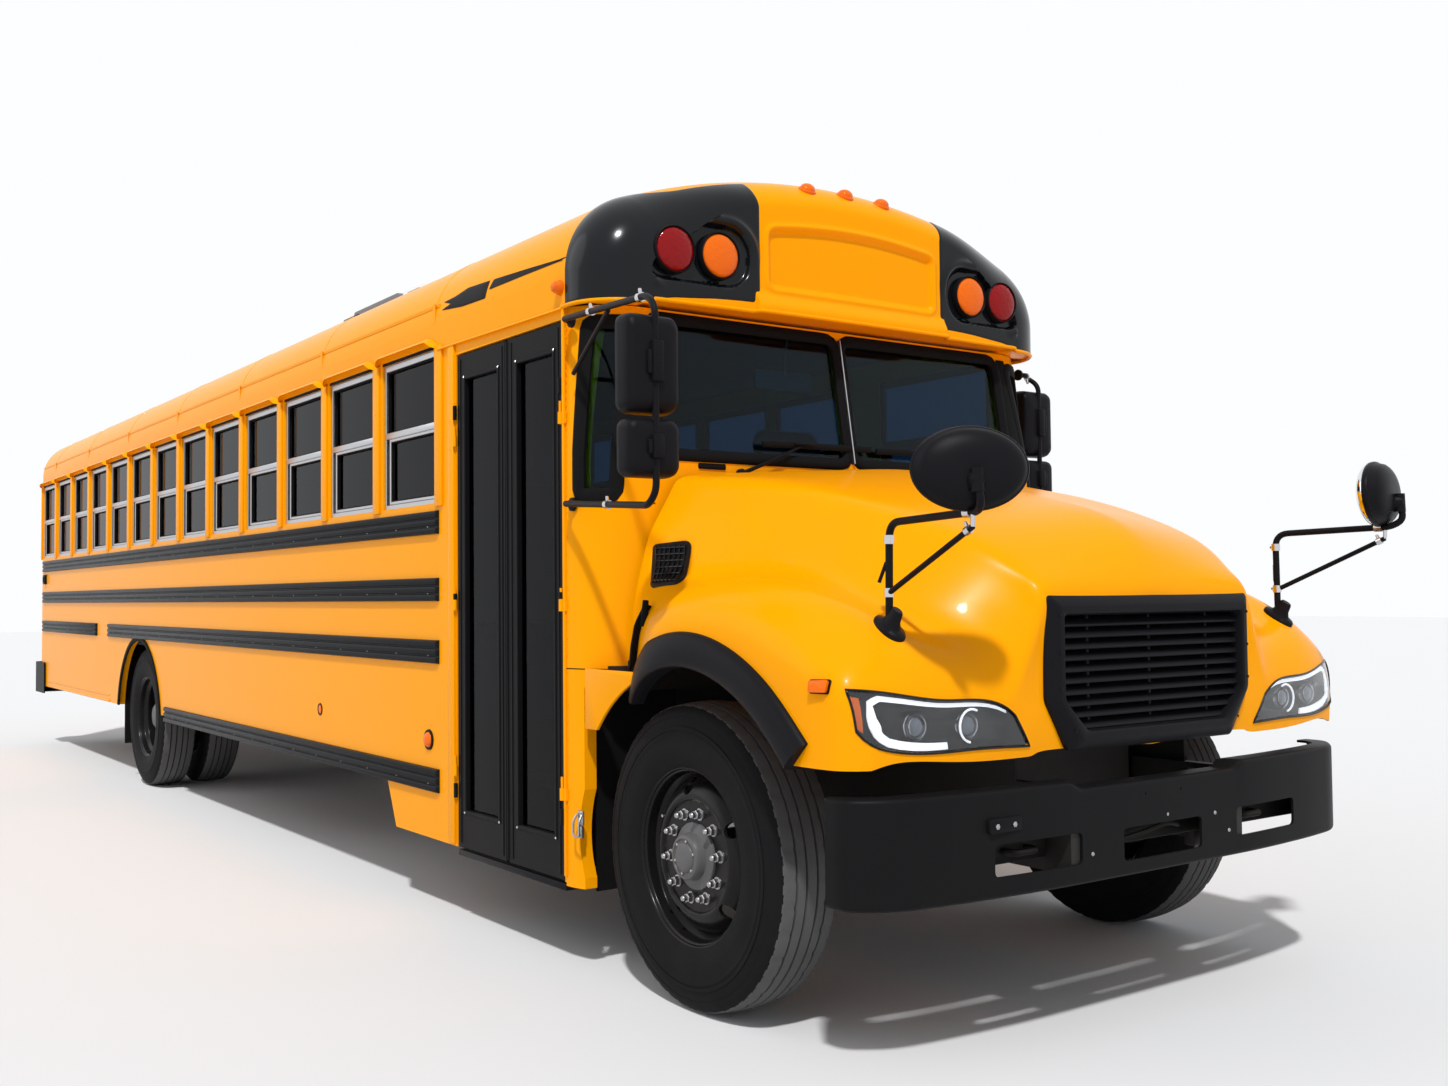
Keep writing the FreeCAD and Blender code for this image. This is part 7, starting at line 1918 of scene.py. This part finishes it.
def cushion(long, deep, high, count):
    """Seat cushion round its own middle: crowned top, rounded corners, sides that pull in between them."""
    rings = []
    for z, inset in ((-0.5, 0.030), (-0.46, 0.014), (-0.30, 0.006), (0.10, 0.004), (0.28, 0.008), (0.40, 0.020),
            (0.46, 0.045), (0.49, 0.090), (0.50, 0.150)):
        o = resample(round_rect(deep / 2 - inset, long / 2 - inset, min(0.045, deep / 2 - inset - 0.005), 6),
                count, True)
        pinch = 0.006 * np.cos(np.pi * o[:, 1] / long) * (np.abs(o[:, 0]) > deep / 2 - inset - 0.02)
        o[:, 0] -= np.sign(o[:, 0]) * pinch
        rings.append(lift(o, "z", z * high))
    return lidded(np.array(rings))


def backrest(long, foot, top):
    """Seat back leaning rearward: foot and top are (front x, rear x, z)."""
    rings = []
    for t in (0.0, 0.02, 0.06, 0.2, 0.35, 0.5, 0.65, 0.8, 0.90, 0.955, 0.985, 1.0):
        x0, x1 = foot[0] + (top[0] - foot[0]) * t, foot[1] + (top[1] - foot[1]) * t
        inset = 0.010 + 0.022 * max(0.0, (t - 0.9) / 0.1) ** 2 + (0.010 if t < 0.02 else 0.0)
        wide = long / 2 - 0.004 - 0.045 * max(0.0, (t - 0.88) / 0.12) ** 2
        o = resample(round_rect((x0 - x1) / 2 - inset * 0.8, wide, 0.026 if t < 1 else 0.012, 5), 64, True)
        rings.append(lift(o + ((x0 + x1) / 2, 0), "z", foot[2] + (top[2] - foot[2]) * t - 0.004))
    return lidded(np.array(rings))


def welt(long, deep):
    """Sewn piping round a cushion's upper edge."""
    outline = resample(round_rect(deep / 2 - 0.012, long / 2 - 0.012, 0.045, 5), 44, True)
    return sweep(circle(0.004, 5), lift(outline, "z", 0), closed=True)


def moved(shape, to):
    """A surface carried elsewhere."""
    return shape[0] + to, shape[1]


def build_seats():
    """Twelve rows of benches each side of the aisle, on tube legs, and the driver's seat on its pedestal."""
    long, deep = 0.970, 0.400
    pad = swell(cushion(long - 0.030, deep - 0.026, 0.086, 64), 0.024, 0.012)
    rest = swell(backrest(long - 0.026, (0.056, -0.018, 1.42), (-0.032, -0.084, 2.078)), 0.026, 0.008)
    edge = welt(long - 0.030, deep - 0.030)
    pads, rests, welts, legs = [], [], [], []
    for i in range(12):
        front = -2.250 - WINDOW_PITCH * i
        middle, rear = front - deep / 2, front - deep
        for y in (-0.658, 0.658):
            pads.append(moved(pad, (middle, y, 1.455)))
            rests.append(moved(rest, (rear, y, 0.0)))
            welts.append(moved(edge, (middle, y, 1.492)))
            for across in (y - 0.345, y + 0.345):
                hoop = [(x, across, z) for x, z in ((front - 0.075, 1.082), (front - 0.075, 1.395),
                        (rear + 0.035, 1.395), (rear + 0.035, 1.082))]
                legs.append(pipe(bent_line(hoop, 0.05, 4), 0.013, 8))
    piece("bench_cushions", pads, "bus", "seat_vinyl", VINYL, replaces=("seats",), sharp=60)
    piece("bench_backs", rests, "bus", "seat_vinyl", VINYL, sharp=60)
    piece("bench_welts", welts, "bus", "seat_vinyl", VINYL, sharp=60)
    pan = block(-1.495, -1.085, 0.335, 0.795, 1.400, 1.424, 0.008)
    stand = [slab(round_rect(0.11 - a, 0.115 - a, 0.03, 5) + (-1.290, 0.565), "z", z0, z1, 0.004)
            for a, z0, z1 in ((0.0, 1.082, 1.112), (0.016, 1.110, 1.250), (0.028, 1.245, 1.404))]
    piece("bench_legs", legs + [pan] + stand, "bus", "chassis_paint", CHASSIS, sharp=40)
    seat = swell(cushion(0.450, 0.396, 0.084, 56), 0.014, 0.012)
    back = swell(backrest(0.440, (-1.492, -1.578, 1.50), (-1.572, -1.640, 2.200)), 0.016, 0.010)
    piece("driver_cushion", [moved(seat, (-1.290, 0.565, 1.468))], "bus", "seat_vinyl", VINYL, sharp=60)
    piece("driver_back", [moved(back, (0, 0.565, 0))], "bus", "seat_vinyl", VINYL, sharp=60)


def build_dash():
    """Instrument panel with its brow, dials and vents, the steering wheel and column, and the inner mirror."""
    outline = [(-0.500, 1.405), (-0.500, 1.800), (-0.640, 1.806), (-0.700, 1.792), (-0.792, 1.610), (-0.776, 1.455)]
    shell = slab(round_corners(outline, 0.028, 5), "y", 0.065, 0.925, 0.012, 4)
    brow = slab(round_corners([(-0.690, 1.800), (-0.775, 1.790), (-0.782, 1.776), (-0.700, 1.770)], 0.008, 4), "y",
            0.330, 0.790, 0.010, 3)
    side = slab(round_corners([(-0.470, 1.700), (-0.470, 1.800), (-0.560, 1.800), (-0.580, 1.700)], 0.02, 4), "y",
            -0.900, 0.060, 0.010, 3)
    parts = [shell, brow, side]
    normal = np.array((-0.893, 0, 0.451))
    for y, radius in ((0.480, 0.050), (0.640, 0.050), (0.395, 0.028), (0.560, 0.030), (0.725, 0.028)):
        c = np.array((-0.746, y, 1.705)) + normal * 0.002
        parts.append(turned([(-0.006, radius * 1.12), (0.010, radius * 1.10), (0.012, radius), (0.002, radius * 0.94),
                (-0.006, radius * 0.94)], c, normal, 28))
    parts += [slab(round_rect(0.030, 0.022, 0.006, 3) + (y, 1.640), "x", -0.770, -0.786, 0.002)
            for y in (0.170, 0.250, 0.860)]
    lean = math.radians(32)
    axis, rise = np.array((-math.sin(lean), 0, math.cos(lean))), np.array((math.cos(lean), 0, math.sin(lean)))
    centre = np.array((-1.010, 0.560, 1.790))

    def wheel_ring(outline):
        return centre + outline[:, :1] * (0, 1.0, 0) + outline[:, 1:] * rise
    parts.append(sweep(circle(0.0155, 10), wheel_ring(circle(0.225, 60)), up=axis, closed=True))
    for a in (8, 172, 270):
        end = wheel_ring(circle(0.222, 1, math.radians(a)))[0]
        spoke = bent_line([centre - axis * 0.030, (centre + end) * 0.5 - axis * 0.028, end], 0.05)
        parts.append(pipe(resample(spoke, 10), np.linspace(0.016, 0.010, 10), 8))
    parts.append(knob(centre - axis * 0.060, axis,
            [(0, 0), (0, 0.040), (0.030, 0.052), (0.048, 0.050), (0.056, 0.036), (0.058, 0)], 24))
    parts.append(knob(centre - axis * 0.330, axis,
            [(0, 0), (0, 0.038), (0.200, 0.038), (0.210, 0.030), (0.290, 0.028), (0.290, 0)], 20))
    parts.append(pipe([centre - axis * 0.320, (-0.600, 0.560, 1.100)], 0.022, 12))
    parts += [pipe([centre - axis * 0.130, centre - axis * 0.110 + (0, y, 0)], [0.007, 0.009], 8)
            for y in (-0.170, 0.170)]
    piece("dash_panel", parts, "bus", "dash_plastic", DASH, replaces=("dashboard",), sharp=40)
    mirror = [slab(round_rect(0.150, 0.040, 0.020, 5) + (-0.250, 2.235), "x", -0.600, -0.575, 0.006),
            pipe([(-0.580, -0.250, 2.250), (-0.560, -0.250, 2.440)], 0.008, 8)]
    piece("inner_mirror", mirror, "bus", "dash_plastic", DASH, sharp=40)


def build_liner():
    """Grey lining under the roof and along the inner walls below the windows."""
    half = roof_half(2.580, 40, -0.050)
    across = np.concatenate([half * (-1, 1), half[-2::-1]])
    cells = np.array([[(x, y, z) for y, z in across] for x in (-0.800, -11.000)])
    lining = [thick_patch(cells[:, ::-1], (0, 0, -1), 0.004)]
    lining += [block(front, -10.95, hand * 1.1535, hand * 1.1480, 1.085, 1.765, 0.001)
            for front, hand in ((-1.700, -1), (-0.800, 1))]
    piece("lining", lining, "bus", "white_plastic", HEADLINER, sharp=40)


build_seats()
build_dash()
build_liner()


# ---- stop arm and mud flaps ----------------------------------------------------------------------------------
def build_stop_arm():
    """Blank octagon with a pale border, its lamps, and the arm that carries it."""
    c = circle(1.0, 8, math.pi / 8)
    def face(apothem):
        return c * apothem / math.cos(math.pi / 8) + (-1.479, 1.380)
    piece("stop_sign_plate", [slab(face(0.229), "y", 1.230, 1.244, 0.002)], "stop_arm", "white_plastic", WHITE_SIGN,
            replaces=("stop_arm",), sharp=30)
    red = [slab(face(0.212), "y", 1.243, 1.2458, 0.0006), slab(face(0.212), "y", 1.231, 1.2282, 0.0006)]
    piece("stop_sign_faces", red, "stop_arm", "sign_red", RED_SIGN, sharp=30)
    lamps = [knob((-1.479, y, 1.380 + dz), (0, s, 0), lamp_section(0.034, 0.006), 20)
            for y, s in ((1.2440, 1), (1.2300, -1)) for dz in (-0.135, 0.135)]
    piece("stop_sign_lamps", lamps, "stop_arm", "lamp_red", RED_LENS, sharp=50)
    arm = [block(-1.195, -1.300, 1.2245, 1.2315, 1.330, 1.430, 0.002),
            pipe([(-1.190, 1.230, 1.300), (-1.190, 1.230, 1.460)], 0.010, 12)]
    bolts = [round_head((-1.275, 1.2445, z), (0, 1, 0), 0.007, 0.004) for z in (1.350, 1.410)]
    piece("stop_sign_arm", arm + bolts, "stop_arm", "black_paint", BLACK_SATIN, sharp=40)


def build_flap_bolts():
    """The bolts that hold the mud flaps."""
    bolts = [round_head((-7.777, s * y, 0.90), (1, 0, 0), 0.008, 0.005) for s in (-1, 1) for y in (0.70, 0.86, 1.02)]
    piece("flap_bolts", bolts, "bus", "plain_steel", STEEL, sharp=40)


build_stop_arm()
build_flap_bolts()


# ---- floor, lamps and camera --------------------------------------------------------------------------
def build_world():
    """White surroundings where they are seen or mirrored, and a softer pale sky that lights."""
    world = bpy.data.worlds.new("studio")
    bpy.context.scene.world = world
    world.use_nodes = True
    tree = world.node_tree
    tree.nodes.clear()
    path = node(tree, "LightPath")
    seen = math_node(tree, "MAXIMUM", path.outputs["Is Camera Ray"], path.outputs["Is Glossy Ray"])
    seen = math_node(tree, "MAXIMUM", seen, path.outputs["Is Transmission Ray"])
    light = node(tree, "Background", Color=(0.93, 0.96, 1.0, 1), Strength=0.46)
    white = node(tree, "Background", Color=(0.98, 0.99, 1.0, 1), Strength=1.0)
    mix = tree.nodes.new("ShaderNodeMixShader")
    out = tree.nodes.new("ShaderNodeOutputWorld")
    tree.links.new(seen, mix.inputs[0])
    tree.links.new(light.outputs[0], mix.inputs[1])
    tree.links.new(white.outputs[0], mix.inputs[2])
    tree.links.new(mix.outputs[0], out.inputs[0])


def build_floor():
    """A pale floor, wider than the view."""
    half = 60.0
    mesh = bpy.data.meshes.new("studio_floor")
    mesh.from_pydata([(-half, -half, 0), (half, -half, 0), (half, half, 0), (-half, half, 0)], [], [(0, 1, 2, 3)])
    mesh.materials.append(coat("floor", (0.80, 0.80, 0.80), 0.85, drift=0.01, film=0.0, grain=3.0, depth=0.0))
    placed("studio_floor", mesh)


def build_lamps():
    """The sun from ahead on the right, and a wide, weak light from behind on the right."""
    for name, toward, strength, spread in (("key", (-0.46, 0.36, -0.81), 2.5, 3.0),
            ("fill", (0.55, 0.70, -0.45), 0.35, 40.0)):
        lamp = bpy.data.lights.new(name, "SUN")
        lamp.energy, lamp.angle = strength, math.radians(spread)
        holder = placed(name, lamp)
        holder.rotation_mode = "QUATERNION"
        holder.rotation_quaternion = Vector(toward).to_track_quat("-Z", "Y")


def build_camera():
    """Eye height of a person at the bus's right front corner, looking back along its side."""
    turn, rise, roll = 0.624438, 0.0366631, -0.00990969
    ahead = Vector((-math.cos(turn) * math.cos(rise), math.sin(turn) * math.cos(rise), math.sin(rise)))
    right = Vector((math.sin(turn), math.cos(turn), 0.0))
    up = right.cross(ahead)
    side = right * math.cos(roll) + up * math.sin(roll)
    top = up * math.cos(roll) - right * math.sin(roll)
    camera = bpy.data.cameras.new("camera")
    camera.sensor_width, camera.lens = 36.0, 36.0 * 1397.139 / 1448
    camera.clip_end = 200.0
    holder = placed("camera", camera)
    holder.matrix_world = Matrix((side, top, -ahead)).transposed().to_4x4()
    holder.location = Vector((3.85073, -3.75065, 1.37588)) + Vector(AXLE)
    bpy.context.scene.camera = holder


build_world()
build_floor()
build_lamps()
build_camera()
bpy.context.scene.view_settings.view_transform = "Standard"
